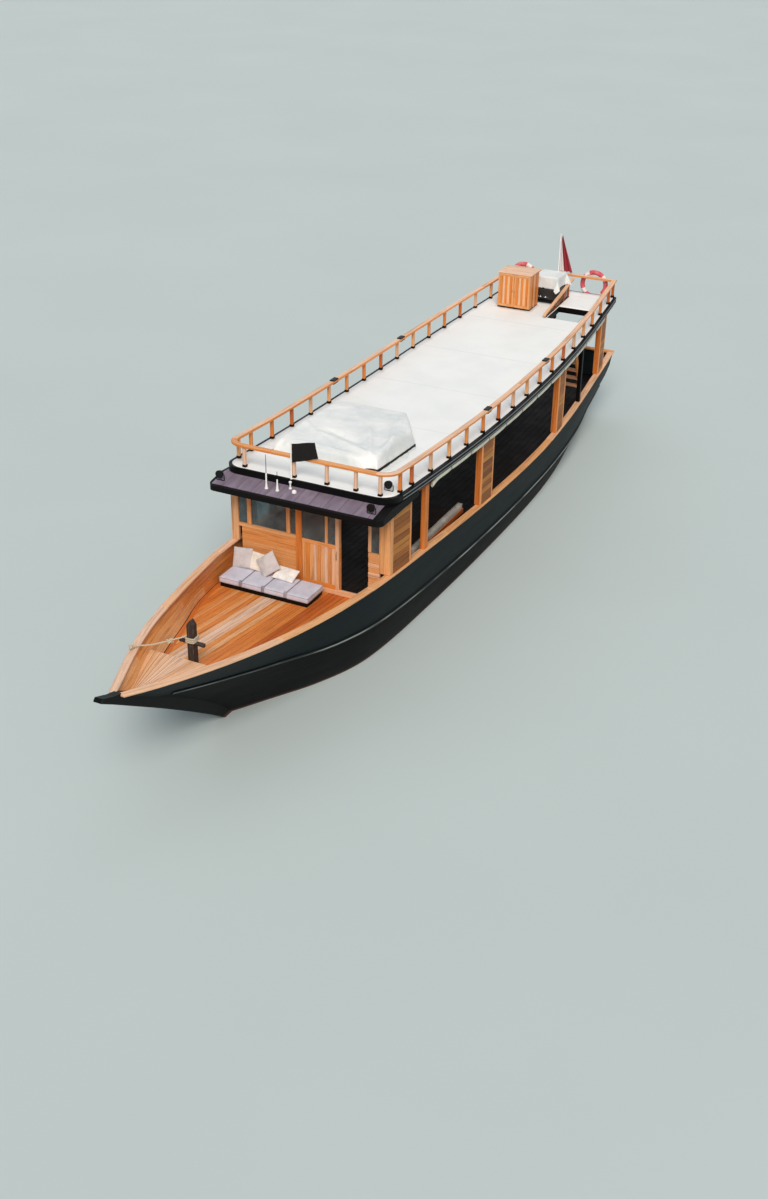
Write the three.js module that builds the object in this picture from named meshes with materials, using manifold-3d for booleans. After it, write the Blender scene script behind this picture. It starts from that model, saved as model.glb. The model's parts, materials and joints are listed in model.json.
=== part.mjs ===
// Wooden motor passenger boat in the phinisi manner: raked stem, open-sided house, railed sun deck.
// Millimetres. +X runs to the bow, +Y to port, +Z up; the origin is amidships, on the waterline.
import * as THREE from 'three';
import { mergeVertices } from 'three/addons/utils/BufferGeometryUtils.js';
import Module from 'manifold-3d';

const wasm = await Module();
wasm.setup();

// Driving dimensions
const GAP = 0.3;
const TRANSOM_X = -10560;
const TRANSOM_Z = 1600;
const TRANSOM_RAKE = 0.47;
const PLANK = 55;
const DECK_PLANK = 35;
const CAP_THICK = 45;
const CAP_OUT = 28;
const CAP_WIDTH = 150;
const WALL_X = 3600;
const WALL_THICK = 60;
const WALL_TOP = 2930;
const FOREPEAK_X = 7950;
const FOREPEAK_TIP = 9050;
const ROOF_FRONT = 3780;
const ROOF_AFT = -9960;
const ROOF_THICK = 130;
const ROOF_LOW_X = -2900;
const ROOF_LOW_Z = 2997;
const ROOF_OUT = 90;
const RAIL_HEIGHT = 400;
const RAIL_PITCH = 815;
const RAIL_POSTS = 16;
const PROP_X = -8650;
const SHAFT_Z = -800;
const RUDDER_X = -9200;
const BACKBONE_HALF = 80;

// Hull stations from stern to bow. Columns: x, half breadth at the cap, cap height, deck height,
// rabbet height, rub strake height, and the two powers that make the section full or sharp.
const STATIONS = [
  { x: -10700, half: 1262, cap: 1606, deck: 1010, keel: 90, strake: 790, full: 2.2, round: 1.5 },
  { x: -9500, half: 1385, cap: 1540, deck: 930, keel: -60, strake: 700, full: 2.3, round: 1.6 },
  { x: -8500, half: 1470, cap: 1482, deck: 870, keel: -230, strake: 635, full: 2.4, round: 1.7 },
  { x: -7500, half: 1560, cap: 1420, deck: 810, keel: -600, strake: 590, full: 2.5, round: 1.8 },
  { x: -6000, half: 1662, cap: 1335, deck: 740, keel: -1000, strake: 550, full: 2.8, round: 1.8 },
  { x: -4000, half: 1738, cap: 1278, deck: 690, keel: -1150, strake: 545, full: 3.1, round: 1.8 },
  { x: -1000, half: 1766, cap: 1378, deck: 740, keel: -1170, strake: 592, full: 3.2, round: 1.8 },
  { x: 2000, half: 1722, cap: 1550, deck: 880, keel: -1190, strake: 712, full: 3.1, round: 1.8 },
  { x: 4000, half: 1672, cap: 1690, deck: 1060, keel: -1180, strake: 870, full: 2.6, round: 1.6 },
  { x: 5200, half: 1525, cap: 1738, deck: 1190, keel: -960, strake: 980, full: 1.9, round: 1.25 },
  { x: 6200, half: 1340, cap: 1788, deck: 1310, keel: -520, strake: 1085, full: 1.2, round: 1.05 },
  { x: 7200, half: 1110, cap: 1865, deck: 1440, keel: 350, strake: 1220, full: 1.05, round: 1 },
  { x: 8200, half: 790, cap: 1948, deck: 1590, keel: 1050, strake: 1400, full: 1, round: 1 },
  { x: 9200, half: 380, cap: 2035, deck: 1780, keel: 1650, strake: 1640, full: 1, round: 1 },
  { x: 9850, half: 85, cap: 2115, deck: 2085, keel: 2000, strake: 1950, full: 1, round: 1 },
];
const HULL_AFT = STATIONS[0].x;
const HULL_FORE = STATIONS[STATIONS.length - 1].x;
const COLUMNS = ['half', 'cap', 'deck', 'keel', 'strake', 'full', 'round'];

// Finishes
const finish = (color, roughness, metalness = 0) =>
  new THREE.MeshStandardMaterial({ color, roughness, metalness });
const HULL_PAINT = finish(0x3c4a4c, 0.35);
const BOTTOM_PAINT = finish(0x2b2f30, 0.6);
const TEAK = finish(0xc88a55, 0.6);
const PALE_TEAK = finish(0xe3c2a0, 0.6);
const DARK_TIMBER = finish(0x4a3b33, 0.8);
const BLACK_PAINT = finish(0x1c1a1c, 0.5);
const VISOR_PAINT = finish(0x4b3f47, 0.5);
const WHITE_SHEET = finish(0xe9edef, 0.7);
const CUSHION = finish(0xc9c4c6, 0.9);
const GLASS = new THREE.MeshStandardMaterial({
  color: 0x9fb8bd, roughness: 0.05, transparent: true, opacity: 0.35,
});
const BRONZE = finish(0xa9793f, 0.35, 1);
const IRON = finish(0x3f5c50, 0.6, 0.4);
const BUOY_RED = finish(0xd23c2c, 0.6);
const WHITE_PAINT = finish(0xf0f0ee, 0.5);
const FLAG_RED = finish(0xc81e2a, 0.9);
const CREAM = finish(0xe8e2d6, 0.9);

// A smooth curve through one column of the station table
function faired(x, column) {
  const last = STATIONS.length - 1;
  const at = THREE.MathUtils.clamp(x, HULL_AFT, HULL_FORE);
  let i = 0;
  while (i < last - 1 && at > STATIONS[i + 1].x) i += 1;
  const value = (k) => STATIONS[THREE.MathUtils.clamp(k, 0, last)][column];
  const place = (k) => STATIONS[THREE.MathUtils.clamp(k, 0, last)].x;
  const span = place(i + 1) - place(i);
  const slope = (k) => (value(k + 1) - value(k - 1)) / (place(k + 1) - place(k - 1));
  const t = (at - place(i)) / span;
  const h = [2 * t ** 3 - 3 * t ** 2 + 1, t ** 3 - 2 * t ** 2 + t, 3 * t ** 2 - 2 * t ** 3, t ** 3 - t ** 2];
  return h[0] * value(i) + h[1] * span * slope(i) + h[2] * value(i + 1) + h[3] * span * slope(i + 1);
}

// Every long piece bends only at the frames of one common grid, so that neighbours follow each other
const FRAME = 600;
const frameBelow = (x) => Math.floor(x / FRAME) * FRAME;
function framed(x, height) {
  const low = frameBelow(x);
  return THREE.MathUtils.lerp(height(low), height(low + FRAME), (x - low) / FRAME);
}
function runs(from, to) {
  const inner = [];
  for (let x = frameBelow(from) + FRAME; x < to - 1; x += FRAME) if (x > from + 1) inner.push(x);
  return [from, ...inner, to];
}
const station = (x, column) => framed(x, (at) => faired(at, column));

const shapeAt = (x) => Object.fromEntries(COLUMNS.map((column) => [column, station(x, column)]));

// Half breadth of the planking at height z in one section
function breadth(s, z) {
  const t = THREE.MathUtils.clamp((z - s.keel) / (s.cap - s.keel), 0, 1);
  return s.half * (1 - (1 - t) ** s.full) ** (1 / s.round);
}

const ROOF_SHEER = { fore: 5.5e-6, aft: 4.4e-6 };
const roofTop = (x) => framed(x, (at) => {
  const from = at - ROOF_LOW_X;
  return ROOF_LOW_Z + (from > 0 ? ROOF_SHEER.fore : ROOF_SHEER.aft) * from * from;
});
const roofHalf = (x) => station(x, 'half') + ROOF_OUT - 15;

const steps = (from, to, count) =>
  Array.from({ length: count + 1 }, (_, i) => from + ((to - from) * i) / count);

// Solids
function solid(geometry) {
  const bare = geometry.clone();
  bare.deleteAttribute('normal');
  bare.deleteAttribute('uv');
  const merged = mergeVertices(bare, 1e-3);
  return new wasm.Manifold(new wasm.Mesh({
    numProp: 3,
    vertProperties: new Float32Array(merged.attributes.position.array),
    triVerts: new Uint32Array(merged.index.array),
  }));
}

function geometryOf(manifold) {
  const mesh = manifold.getMesh();
  const geometry = new THREE.BufferGeometry();
  geometry.setAttribute('position', new THREE.BufferAttribute(new Float32Array(mesh.vertProperties), 3));
  geometry.setIndex(new THREE.BufferAttribute(new Uint32Array(mesh.triVerts), 1));
  return geometry;
}

const union = (parts) => parts.reduce((sum, part) => sum.add(part));
const mirrored = (manifold) => manifold.mirror([0, 1, 0]);

// A box given by its lowest and highest corners
function box(x0, x1, y0, y1, z0, z1) {
  const geometry = new THREE.BoxGeometry(x1 - x0, y1 - y0, z1 - z0);
  geometry.translate((x0 + x1) / 2, (y0 + y1) / 2, (z0 + z1) / 2);
  return solid(geometry);
}

// A skin through closed sections of equal point count, run from low x to high x
function loft(xs, sectionAt) {
  const rings = xs.map((x) => sectionAt(x).map(([y, z]) => new THREE.Vector3(x, y, z)));
  const count = rings[0].length;
  const positions = rings.flat().flatMap((p) => [p.x, p.y, p.z]);
  const index = [];
  for (let r = 0; r < rings.length - 1; r += 1) {
    for (let k = 0; k < count; k += 1) {
      const a = r * count + k;
      const b = r * count + ((k + 1) % count);
      index.push(a, b, b + count, a, b + count, a + count);
    }
  }
  const lid = (ring, base, flip) => {
    const flat = ring.map((p) => new THREE.Vector2(p.y, p.z));
    const turn = THREE.ShapeUtils.isClockWise(flat);
    THREE.ShapeUtils.triangulateShape(flat, []).forEach(([a, b, c]) => {
      if (flip !== turn) index.push(base + a, base + c, base + b);
      else index.push(base + a, base + b, base + c);
    });
  };
  lid(rings[0], 0, true);
  lid(rings[rings.length - 1], (rings.length - 1) * count, false);
  const geometry = new THREE.BufferGeometry();
  geometry.setAttribute('position', new THREE.Float32BufferAttribute(positions, 3));
  geometry.setIndex(index);
  const made = solid(geometry);
  if (made.volume() > 0) return made;
  geometry.setIndex(index.map((_, i) => index[i - (i % 3) + 2 - (i % 3)]));
  return solid(geometry);
}

// An outline in the side view (x, z), as thick as the given y range
function sidePlate(points, y0, y1) {
  const shape = new THREE.Shape(points.map(([x, z]) => new THREE.Vector2(x, z)));
  const geometry = new THREE.ExtrudeGeometry(shape, { depth: y1 - y0, bevelEnabled: false });
  geometry.rotateX(Math.PI / 2);
  geometry.translate(0, y1, 0);
  return solid(geometry);
}

// An outline in the front view (y, z), as thick as the given x range
function frontPlate(points, x0, x1) {
  const shape = new THREE.Shape(points.map(([y, z]) => new THREE.Vector2(y, z)));
  const geometry = new THREE.ExtrudeGeometry(shape, { depth: x1 - x0, bevelEnabled: false });
  geometry.applyMatrix4(new THREE.Matrix4().set(0, 0, 1, x0, 1, 0, 0, 0, 0, 1, 0, 0, 0, 0, 0, 1));
  return solid(geometry);
}

// An outline in plan (x, y), as high as the given z range
function planPlate(shape, z0, z1, curveSegments = 6) {
  const geometry = new THREE.ExtrudeGeometry(shape, { depth: z1 - z0, bevelEnabled: false, curveSegments });
  geometry.translate(0, 0, z0);
  return solid(geometry);
}

// A round bar between two points
function bar(from, to, radius, sides = 10) {
  const a = new THREE.Vector3(...from);
  const b = new THREE.Vector3(...to);
  const geometry = new THREE.CylinderGeometry(radius, radius, a.distanceTo(b), sides);
  const turn = new THREE.Quaternion().setFromUnitVectors(
    new THREE.Vector3(0, 1, 0), b.clone().sub(a).normalize());
  geometry.applyQuaternion(turn);
  geometry.translate((a.x + b.x) / 2, (a.y + b.y) / 2, (a.z + b.z) / 2);
  return solid(geometry);
}

// A bore that a round bar of the given radius turns in
function bore(from, to, radius) {
  const sides = 24;
  return bar(from, to, (radius + GAP) / Math.cos(Math.PI / sides), sides);
}

const boat = new THREE.Group();
function add(name, manifold, material) {
  const mesh = new THREE.Mesh(geometryOf(manifold), material);
  mesh.name = name;
  boat.add(mesh);
}

// Hull body up to the underside of the deck planks, cut by the raked transom
const STRAKE = { deep: 70, proud: 38, from: -10350, to: 8600 };
const LEVEL_X = 7800;
const HOOD_ENDS_X = 8850;
const BILGE_POINTS = 7;
const SEAM = 1;
const bothSides = (half) => half.add(mirrored(half));
// The planks rest on beams that follow the deck's sheer and run level under the forepeak
const bedAt = (s) => Math.min(s.deck, station(LEVEL_X, 'deck')) - DECK_PLANK;
const aboveBed = (s) => Math.max(bedAt(s) + GAP, s.keel + 12);

function hullSection(extra) {
  return (x) => {
    const s = shapeAt(x);
    const bed = bedAt(s);
    const low = Math.min(Math.max(s.strake - STRAKE.deep / 2, s.keel + 15), bed - 20);
    const high = Math.min(Math.max(s.strake + STRAKE.deep / 2, low + 10), bed - 10);
    const bilge = Array.from({ length: BILGE_POINTS }, (_, k) =>
      s.keel + (low - s.keel) * ((k + 1) / (BILGE_POINTS + 1)) ** 1.4);
    const side = [...bilge, low, high, bed, ...extra(s, bed)].map((z) => [Math.max(breadth(s, z), 1), z]);
    const [, lid] = side[side.length - 1];
    return [[-SEAM, s.keel], ...side, [-SEAM, lid]];
  };
}

// Everything ahead of a plane parallel to the transom and set in from it
function aheadOfTransom(inset) {
  const reach = 4000;
  const at = (z) => TRANSOM_X + inset - (z - TRANSOM_Z) * TRANSOM_RAKE;
  const corners = [[at(-reach), -reach], [20000, -reach], [20000, reach], [at(reach), reach]];
  return sidePlate(corners, -reach, reach);
}

const capUnder = (s, bed) => Math.max(s.cap - CAP_THICK - GAP, bed + 10);
const hullRuns = runs(HULL_AFT, HOOD_ENDS_X);
const sternRuns = runs(HULL_AFT, -9200);
const envelope = bothSides(
  loft(sternRuns, hullSection((s, bed) => [(bed + capUnder(s, bed)) / 2, capUnder(s, bed)])));
const deckBed = bothSides(loft(hullRuns, hullSection(() => [])));

// Keel, forefoot and stem as one sawn timber line in the side view
const stemOuter = [[4300, -1360], [5300, -1160], [6250, -590], [6960, 30], [8430, 1040], [9963, 2020]];
const stemHead = [[10270, 2205], [10215, 2262], [9930, 2150]];
const SHOE_AFT = -9350;
const POST_AFT = -8300;
const backboneOutline = [
  [SHOE_AFT, -1360], ...stemOuter, ...stemHead,
  [9700, 2090], [8430, 1330], [7200, 500], [6200, -390], [5200, -830], [4000, -1050],
  [-4000, -1020], [-6000, -870], [-7500, -470], [POST_AFT, -180], [POST_AFT, -1260], [SHOE_AFT, -1260],
];
const PINTLE_R = 24;
const STOCK_R = 36;
const SHAFT_R = 30;
const backbone = sidePlate(backboneOutline, -BACKBONE_HALF, BACKBONE_HALF)
  .subtract(bore([POST_AFT - 50, 0, SHAFT_Z], [POST_AFT + 300, 0, SHAFT_Z], SHAFT_R))
  .subtract(bore([RUDDER_X, 0, -1320], [RUDDER_X, 0, -1200], PINTLE_R));
add('backbone', backbone, BOTTOM_PAINT);

const backboneRoom = sidePlate(backboneOutline, -BACKBONE_HALF - GAP, BACKBONE_HALF + GAP)
  .translate([0, 0, GAP]);
const backboneSpace = backboneRoom.add(
  sidePlate(backboneOutline, -BACKBONE_HALF - GAP, BACKBONE_HALF + GAP).translate([0, 0, -GAP]));

// Engine bed cut in the solid hull, open upwards under the sole
const ENGINE = { x0: -5100, x1: -3500, half: 330, low: -560, high: 420 };
const bed = box(ENGINE.x0 - 200, ENGINE.x1 + 200, -ENGINE.half - 150, ENGINE.half + 150, ENGINE.low, 2000);
const TRANSOM_PLANK = 50;
const hull = deckBed
  .intersect(aheadOfTransom(TRANSOM_PLANK + GAP))
  .subtract(backboneSpace)
  .subtract(bed)
  .subtract(bore([RUDDER_X, 0, -400], [RUDDER_X, 0, 480], STOCK_R));
add('hull_planking', hull, HULL_PAINT);
add('engine_block',
  box(ENGINE.x0, ENGINE.x1, -ENGINE.half, ENGINE.half, ENGINE.low + GAP, ENGINE.high), IRON);

const transom = envelope.intersect(aheadOfTransom(0)).subtract(aheadOfTransom(TRANSOM_PLANK));
add('transom', transom, HULL_PAINT);

// Bulwark planking above the deck edge, one run each side
const runsPast = (from, middle, to) => [...runs(from, middle), ...runs(middle, to).slice(1)];
const railXs = runsPast(HULL_AFT, HOOD_ENDS_X, HULL_FORE - 60);
const bulwark = loft(railXs, (x) => {
  const s = shapeAt(x);
  const low = aboveBed(s);
  const high = capUnder(s, low);
  const zs = [low, (low + high) / 2, high];
  const outer = zs.map((z) => [Math.max(breadth(s, z), 6), z]);
  const inner = outer.map(([y, z]) => [Math.max(y - PLANK, 2), z]).reverse();
  return [...outer, ...inner];
}).intersect(aheadOfTransom(TRANSOM_PLANK + GAP)).subtract(backboneSpace);
add('bulwark_port', bulwark, HULL_PAINT);
add('bulwark_starboard', mirrored(bulwark), HULL_PAINT);

// Cap rail: one band on both sides, joined at the stem and across the transom
const capBand = loft(railXs, (x) => {
  const s = shapeAt(x);
  const outer = s.half + CAP_OUT;
  const inner = Math.max(outer - CAP_WIDTH, -5);
  return [[outer, s.cap - CAP_THICK], [outer, s.cap], [inner, s.cap], [inner, s.cap - CAP_THICK]];
});
const sternCap = loft([TRANSOM_X - 40, TRANSOM_X + 120], (x) => {
  const s = shapeAt(x);
  return [[s.half, s.cap - CAP_THICK], [s.half, s.cap], [-s.half, s.cap], [-s.half, s.cap - CAP_THICK]];
});
const capRail = union([capBand, mirrored(capBand), sternCap])
  .intersect(aheadOfTransom(-40)).subtract(backboneSpace);
add('cap_rail', capRail, PALE_TEAK);

// Rub strakes along the topsides
const strake = loft(runs(STRAKE.from, STRAKE.to), (x) => {
  const s = shapeAt(x);
  const low = s.strake - STRAKE.deep / 2;
  const high = s.strake + STRAKE.deep / 2;
  return [
    [breadth(s, high) + GAP, high], [breadth(s, high) + STRAKE.proud, high - 12],
    [breadth(s, low) + STRAKE.proud, low + 12], [breadth(s, low) + GAP, low],
  ];
}).intersect(aheadOfTransom(TRANSOM_PLANK));
add('rub_strake_port', strake, HULL_PAINT);
add('rub_strake_starboard', mirrored(strake), HULL_PAINT);

// Deck planking fitted between the bulwarks
const bulwarkRoom = bulwark.add(bulwark.translate([0, -GAP, 0]));
function deckPlate(xs, high) {
  const wide = loft(xs, (x) => {
    const s = shapeAt(x);
    const low = aboveBed(s);
    const middle = (z) => Math.max(breadth(s, z) - PLANK / 2, 4);
    return [[middle(low), low], [middle(high(s)), high(s)], [-SEAM, high(s)], [-SEAM, low]];
  });
  return bothSides(wide.subtract(bulwarkRoom));
}
const deckTop = (s) => s.deck;
add('main_sole', deckPlate(runs(-10250, WALL_X - GAP), deckTop)
  .intersect(aheadOfTransom(TRANSOM_PLANK + 20)), TEAK);
add('foredeck', deckPlate(runs(WALL_X, FOREPEAK_X - GAP), deckTop), TEAK);
const forepeakTop = (s) => s.cap - 190;
const forepeakXs = runsPast(FOREPEAK_X, HOOD_ENDS_X, FOREPEAK_TIP);
const forepeak = deckPlate(forepeakXs, forepeakTop).subtract(backboneSpace);
add('forepeak_deck', forepeak, PALE_TEAK);

// Mooring bitt with a pointed head
const BITT = { x: 7760, y: 60, half: 85 };
const bittFoot = station(BITT.x + BITT.half, 'deck') + GAP;
const bittShape = [[-BITT.half, 0], [BITT.half, 0], [BITT.half, 735], [0, 885], [-BITT.half, 735]];
const bitt = frontPlate(bittShape, -BITT.half, BITT.half).translate([BITT.x, BITT.y, bittFoot])
  .add(bar([BITT.x, BITT.y - 240, bittFoot + 430], [BITT.x, BITT.y + 240, bittFoot + 430], 38));
add('mooring_bitt', bitt, DARK_TIMBER);

// Front of the house: a panel on each side of the doorway under one header, with window openings
const SILL = 2060;
const HEAD = 2800;
const DOOR = { y0: 650, y1: 1230, z0: 1120 };
const OPENINGS = [
  { y0: -1520, y1: -1340 },
  { name: 'glass_front_wide', y0: -1250, y1: -490 },
  { y0: -410, y1: -240 },
  { name: 'glass_behind_door', y0: -100, y1: 560 },
  { name: 'glass_front_narrow', y0: 1290, y1: 1450 },
];
const GLASS_THICK = 8;
const frontDeck = station(WALL_X, 'deck');
const WALL_LOW_HALF = 1470;
const WALL_HALF = 1690;
const wallStep = station(WALL_X + WALL_THICK, 'cap') + GAP;
const wallOutline = [
  [-WALL_LOW_HALF, frontDeck + 8], [WALL_LOW_HALF, frontDeck + 8], [WALL_LOW_HALF, wallStep],
  [WALL_HALF, wallStep], [WALL_HALF, WALL_TOP], [-WALL_HALF, WALL_TOP],
  [-WALL_HALF, wallStep], [-WALL_LOW_HALF, wallStep],
];
const wallX1 = WALL_X + WALL_THICK;
const WALL = { x0: WALL_X - 10, x1: wallX1 + 10, far: 3000 };
let frontWall = frontPlate(wallOutline, WALL_X, wallX1);
OPENINGS.forEach(({ name, y0, y1 }) => {
  frontWall = frontWall.subtract(box(WALL.x0, WALL.x1, y0, y1, SILL, HEAD));
  const middle = WALL_X + WALL_THICK / 2;
  if (name) add(name, box(middle - GLASS_THICK / 2, middle + GLASS_THICK / 2,
    y0 + GAP, y1 - GAP, SILL + GAP, HEAD - GAP), GLASS);
});
const panel = (y0, y1, z0, z1) => frontWall.intersect(box(WALL.x0, WALL.x1, y0, y1, z0, z1));

// Sliding door leaf, pushed open towards starboard, between the wall's sill and head tracks
const LEAF = { x0: wallX1 + 14, thick: 40, y0: -260, y1: 650, top: 2860 };
const TRACK = { x0: wallX1 - 5, x1: wallX1 + 66, y0: -280, y1: 1300, high: 1130 };
const track = (low, high) => box(TRACK.x0, TRACK.x1, TRACK.y0, TRACK.y1, low, high);
const sillFoot = station(TRACK.x1, 'deck') + GAP;
const doorSill = panel(DOOR.y0 - 1, DOOR.y1, 0, DOOR.z0).add(track(sillFoot, TRACK.high));
add('front_panel_starboard', panel(-WALL.far, DOOR.y0, 0, HEAD - GAP).add(doorSill), TEAK);
add('front_panel_port', panel(DOOR.y1 + GAP, WALL.far, 0, HEAD - GAP)
  .subtract(box(TRACK.x0 - GAP, TRACK.x1, 0, TRACK.y1 + GAP, 0, TRACK.high + GAP)), TEAK);
add('front_header', panel(-WALL.far, WALL.far, HEAD, WALL_TOP).add(track(LEAF.top + GAP, WALL_TOP)), TEAK);
const leafX1 = LEAF.x0 + LEAF.thick;
const LEAF_PANES = [{ y0: -130, y1: 360 }, { y0: 420, y1: 575 }];
let leaf = box(LEAF.x0, leafX1, LEAF.y0, LEAF.y1, TRACK.high + GAP, LEAF.top);
LEAF_PANES.forEach(({ y0, y1 }) => {
  leaf = leaf.subtract(box(LEAF.x0 - 5, leafX1 + 5, y0, y1, SILL, HEAD - 20));
});
add('sliding_door', leaf, TEAK);
const [widePane] = LEAF_PANES;
add('glass_door', box(LEAF.x0 + 16, leafX1 - 16,
  widePane.y0 + GAP, widePane.y1 - GAP, SILL + GAP, HEAD - 20 - GAP), GLASS);

// Side frames: a long beam under the sun deck with the panel, post and pillars that stand on the cap.
// Columns: aft x, fore x, thickness
const SIDE_PARTS = [
  { x0: 2790, x1: 3598, thick: 60 },
  { x0: 2050, x1: 2210, thick: 90 },
  { x0: -1110, x1: -460, thick: 130 },
  { x0: -5680, x1: -5170, thick: 130 },
  { x0: -7170, x1: -7080, thick: 90 },
  { x0: -9400, x1: -8880, thick: 130 },
];
const BEAM = { deep: 110, wide: 140 };
const roofUnder = (x) => roofTop(x) - ROOF_THICK;
const sidePart = ({ x0, x1, thick }) => loft(runs(x0, x1), (x) => {
  const outer = station(x, 'half') - 12;
  const low = station(x, 'cap') + GAP;
  const high = roofUnder(x) - BEAM.deep + 20;
  return [[outer, low], [outer, high], [outer - thick, high], [outer - thick, low]];
});
const beam = loft(runs(ROOF_AFT + 60, WALL_X - 2), (x) => {
  const outer = station(x, 'half') - 8;
  const high = roofUnder(x) - GAP;
  const low = high - BEAM.deep + GAP;
  return [[outer, low], [outer, high], [outer - BEAM.wide, high], [outer - BEAM.wide, low]];
});
const sideFrame = union([beam, ...SIDE_PARTS.map(sidePart)]);
add('side_frame_port', sideFrame, TEAK);
add('side_frame_starboard', mirrored(sideFrame), TEAK);

// Sun deck slab with its cross beams, a rounded front and a stair opening aft
const STAIR = { x0: -8700, x1: -7850, y0: 350, y1: 1120 };
function roofPlan(inset, front) {
  const shape = new THREE.Shape();
  const corner = 330 - inset;
  const xf = front - inset;
  const sides = runs(ROOF_AFT + inset, xf - corner).map((x) => [x, roofHalf(x) - inset]);
  sides.forEach(([x, y], i) => (i ? shape.lineTo(x, y) : shape.moveTo(x, y)));
  const [cx, cy] = sides[sides.length - 1];
  shape.absarc(cx, cy - corner, corner, Math.PI / 2, 0, true);
  shape.lineTo(xf, -(cy - corner));
  shape.absarc(cx, -(cy - corner), corner, 0, -Math.PI / 2, true);
  [...sides].reverse().forEach(([x, y]) => shape.lineTo(x, -y));
  return shape;
}
const slice = (top, bottom) => [[2200, bottom], [2200, top], [-2200, top], [-2200, bottom]];
function sheered(x0, x1, top, bottom) {
  return loft(runs(x0, x1), (x) => slice(top(x), bottom(x)));
}
const stairHole = box(STAIR.x0, STAIR.x1, STAIR.y0, STAIR.y1, 2000, 4500);
const BEAM_HALF = 45;
const crossBeams = steps(-9300, 3100, 15).map((x) => {
  const half = station(x, 'half') - 160;
  return box(x - BEAM_HALF, x + BEAM_HALF, -half, half, roofUnder(x) - 80, roofUnder(x) + 30);
});
const roofSlab = sheered(ROOF_AFT, ROOF_FRONT, roofTop, roofUnder)
  .intersect(planPlate(roofPlan(0, ROOF_FRONT), 2000, 4000));
add('roof_deck', union([roofSlab, ...crossBeams]).subtract(stairHole), BLACK_PAINT);

// Visor ahead of the sun deck, over the front wall
const VISOR = { front: 4290, aft: 2700, half: 1790, corner: 140, low: WALL_TOP, lip: 3035, inner: 1722 };
const visorCorner = { x: VISOR.front - VISOR.corner, y: VISOR.half - VISOR.corner };
const visorShape = new THREE.Shape();
visorShape.moveTo(VISOR.aft, VISOR.half);
visorShape.lineTo(visorCorner.x, VISOR.half);
visorShape.absarc(visorCorner.x, visorCorner.y, VISOR.corner, Math.PI / 2, 0, true);
visorShape.absarc(visorCorner.x, -visorCorner.y, VISOR.corner, 0, -Math.PI / 2, true);
visorShape.lineTo(VISOR.aft, -VISOR.half);
const visorTop = (x) => (x < ROOF_FRONT ? roofUnder(x) - GAP
  : THREE.MathUtils.mapLinear(x, ROOF_FRONT, VISOR.front, roofUnder(ROOF_FRONT) - GAP, VISOR.lip));
const visorRoom = box(0, WALL_X + 2, -VISOR.inner, VISOR.inner, 2000, 4000);
const visor = loft([...runs(VISOR.aft, ROOF_FRONT), VISOR.front], (x) => slice(visorTop(x), VISOR.low + GAP))
  .intersect(planPlate(visorShape, 2000, 4000)).subtract(visorRoom);
add('visor', visor, VISOR_PAINT);

// Sun deck rail: a flat handrail on posts all round, made in four lengths
const POST = 60;
const HANDRAIL = { wide: 115, thick: 50 };
const RAIL_AFT = -9900;
const RAIL_FRONT = 3670;
const RAIL_CORNER = 300;
const railHalf = (x) => station(x, 'half') - 12;
const handrailLow = (x) => roofTop(x) + RAIL_HEIGHT;
function railPost(x, y) {
  const foot = roofTop(x) - 20;
  return box(x - POST / 2, x + POST / 2, y - POST / 2, y + POST / 2, foot, handrailLow(x) + 10);
}
const CORNER_POST_X = 3310;
const sidePostXs = [CORNER_POST_X, ...Array.from({ length: RAIL_POSTS }, (_, i) => 2840 - RAIL_PITCH * i)];
const FRONT_POST_YS = [-1340, -290, 390, 980, 1470];
const AFT_POST_YS = [-1325, -700, -60, 1325];
const railPosts = [
  ...sidePostXs.flatMap((x) => [railPost(x, railHalf(x)), railPost(x, -railHalf(x))]),
  ...FRONT_POST_YS.map((y) => railPost(RAIL_FRONT, y)),
  ...AFT_POST_YS.map((y) => railPost(RAIL_AFT, y)),
];
function railBand(outset) {
  const shape = new THREE.Shape();
  const corner = RAIL_CORNER + outset;
  const sides = runs(RAIL_AFT - outset, RAIL_FRONT - RAIL_CORNER).map((x) => [x, railHalf(x) + outset]);
  sides.forEach(([x, y], i) => (i ? shape.lineTo(x, y) : shape.moveTo(x, y)));
  const [cx, cy] = sides[sides.length - 1];
  shape.absarc(cx, cy - corner, corner, Math.PI / 2, 0, true);
  shape.absarc(cx, corner - cy, corner, 0, -Math.PI / 2, true);
  [...sides].reverse().forEach(([x, y]) => shape.lineTo(x, -y));
  return planPlate(shape, 2000, 5000);
}
const handrailSlab = sheered(RAIL_AFT - 100, RAIL_FRONT + 100,
  (x) => handrailLow(x) + HANDRAIL.thick, handrailLow);
const railHalfWide = HANDRAIL.wide / 2;
const handrail = handrailSlab.intersect(railBand(railHalfWide)).subtract(railBand(-railHalfWide));
const deckSpace = sheered(ROOF_AFT - 500, ROOF_FRONT + 500,
  (x) => roofTop(x) + GAP, (x) => roofTop(x) - 400);
const deckRail = union([handrail, ...railPosts]).subtract(deckSpace);
const FAR = 20000;
const RAIL_JOINT = { aft: -9700, fore: 3100 };
const RAIL_LENGTHS = [
  { name: 'deck_rail_fore', x0: RAIL_JOINT.fore + GAP, x1: FAR, y0: -FAR, y1: FAR },
  { name: 'deck_rail_port', x0: RAIL_JOINT.aft + GAP, x1: RAIL_JOINT.fore, y0: 0, y1: FAR },
  { name: 'deck_rail_starboard', x0: RAIL_JOINT.aft + GAP, x1: RAIL_JOINT.fore, y0: -FAR, y1: 0 },
  { name: 'deck_rail_aft', x0: -FAR, x1: RAIL_JOINT.aft, y0: -FAR, y1: FAR },
];
RAIL_LENGTHS.forEach(({ name, x0, x1, y0, y1 }) => {
  add(name, deckRail.intersect(box(x0, x1, y0, y1, 0, FAR)), PALE_TEAK);
});

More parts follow.
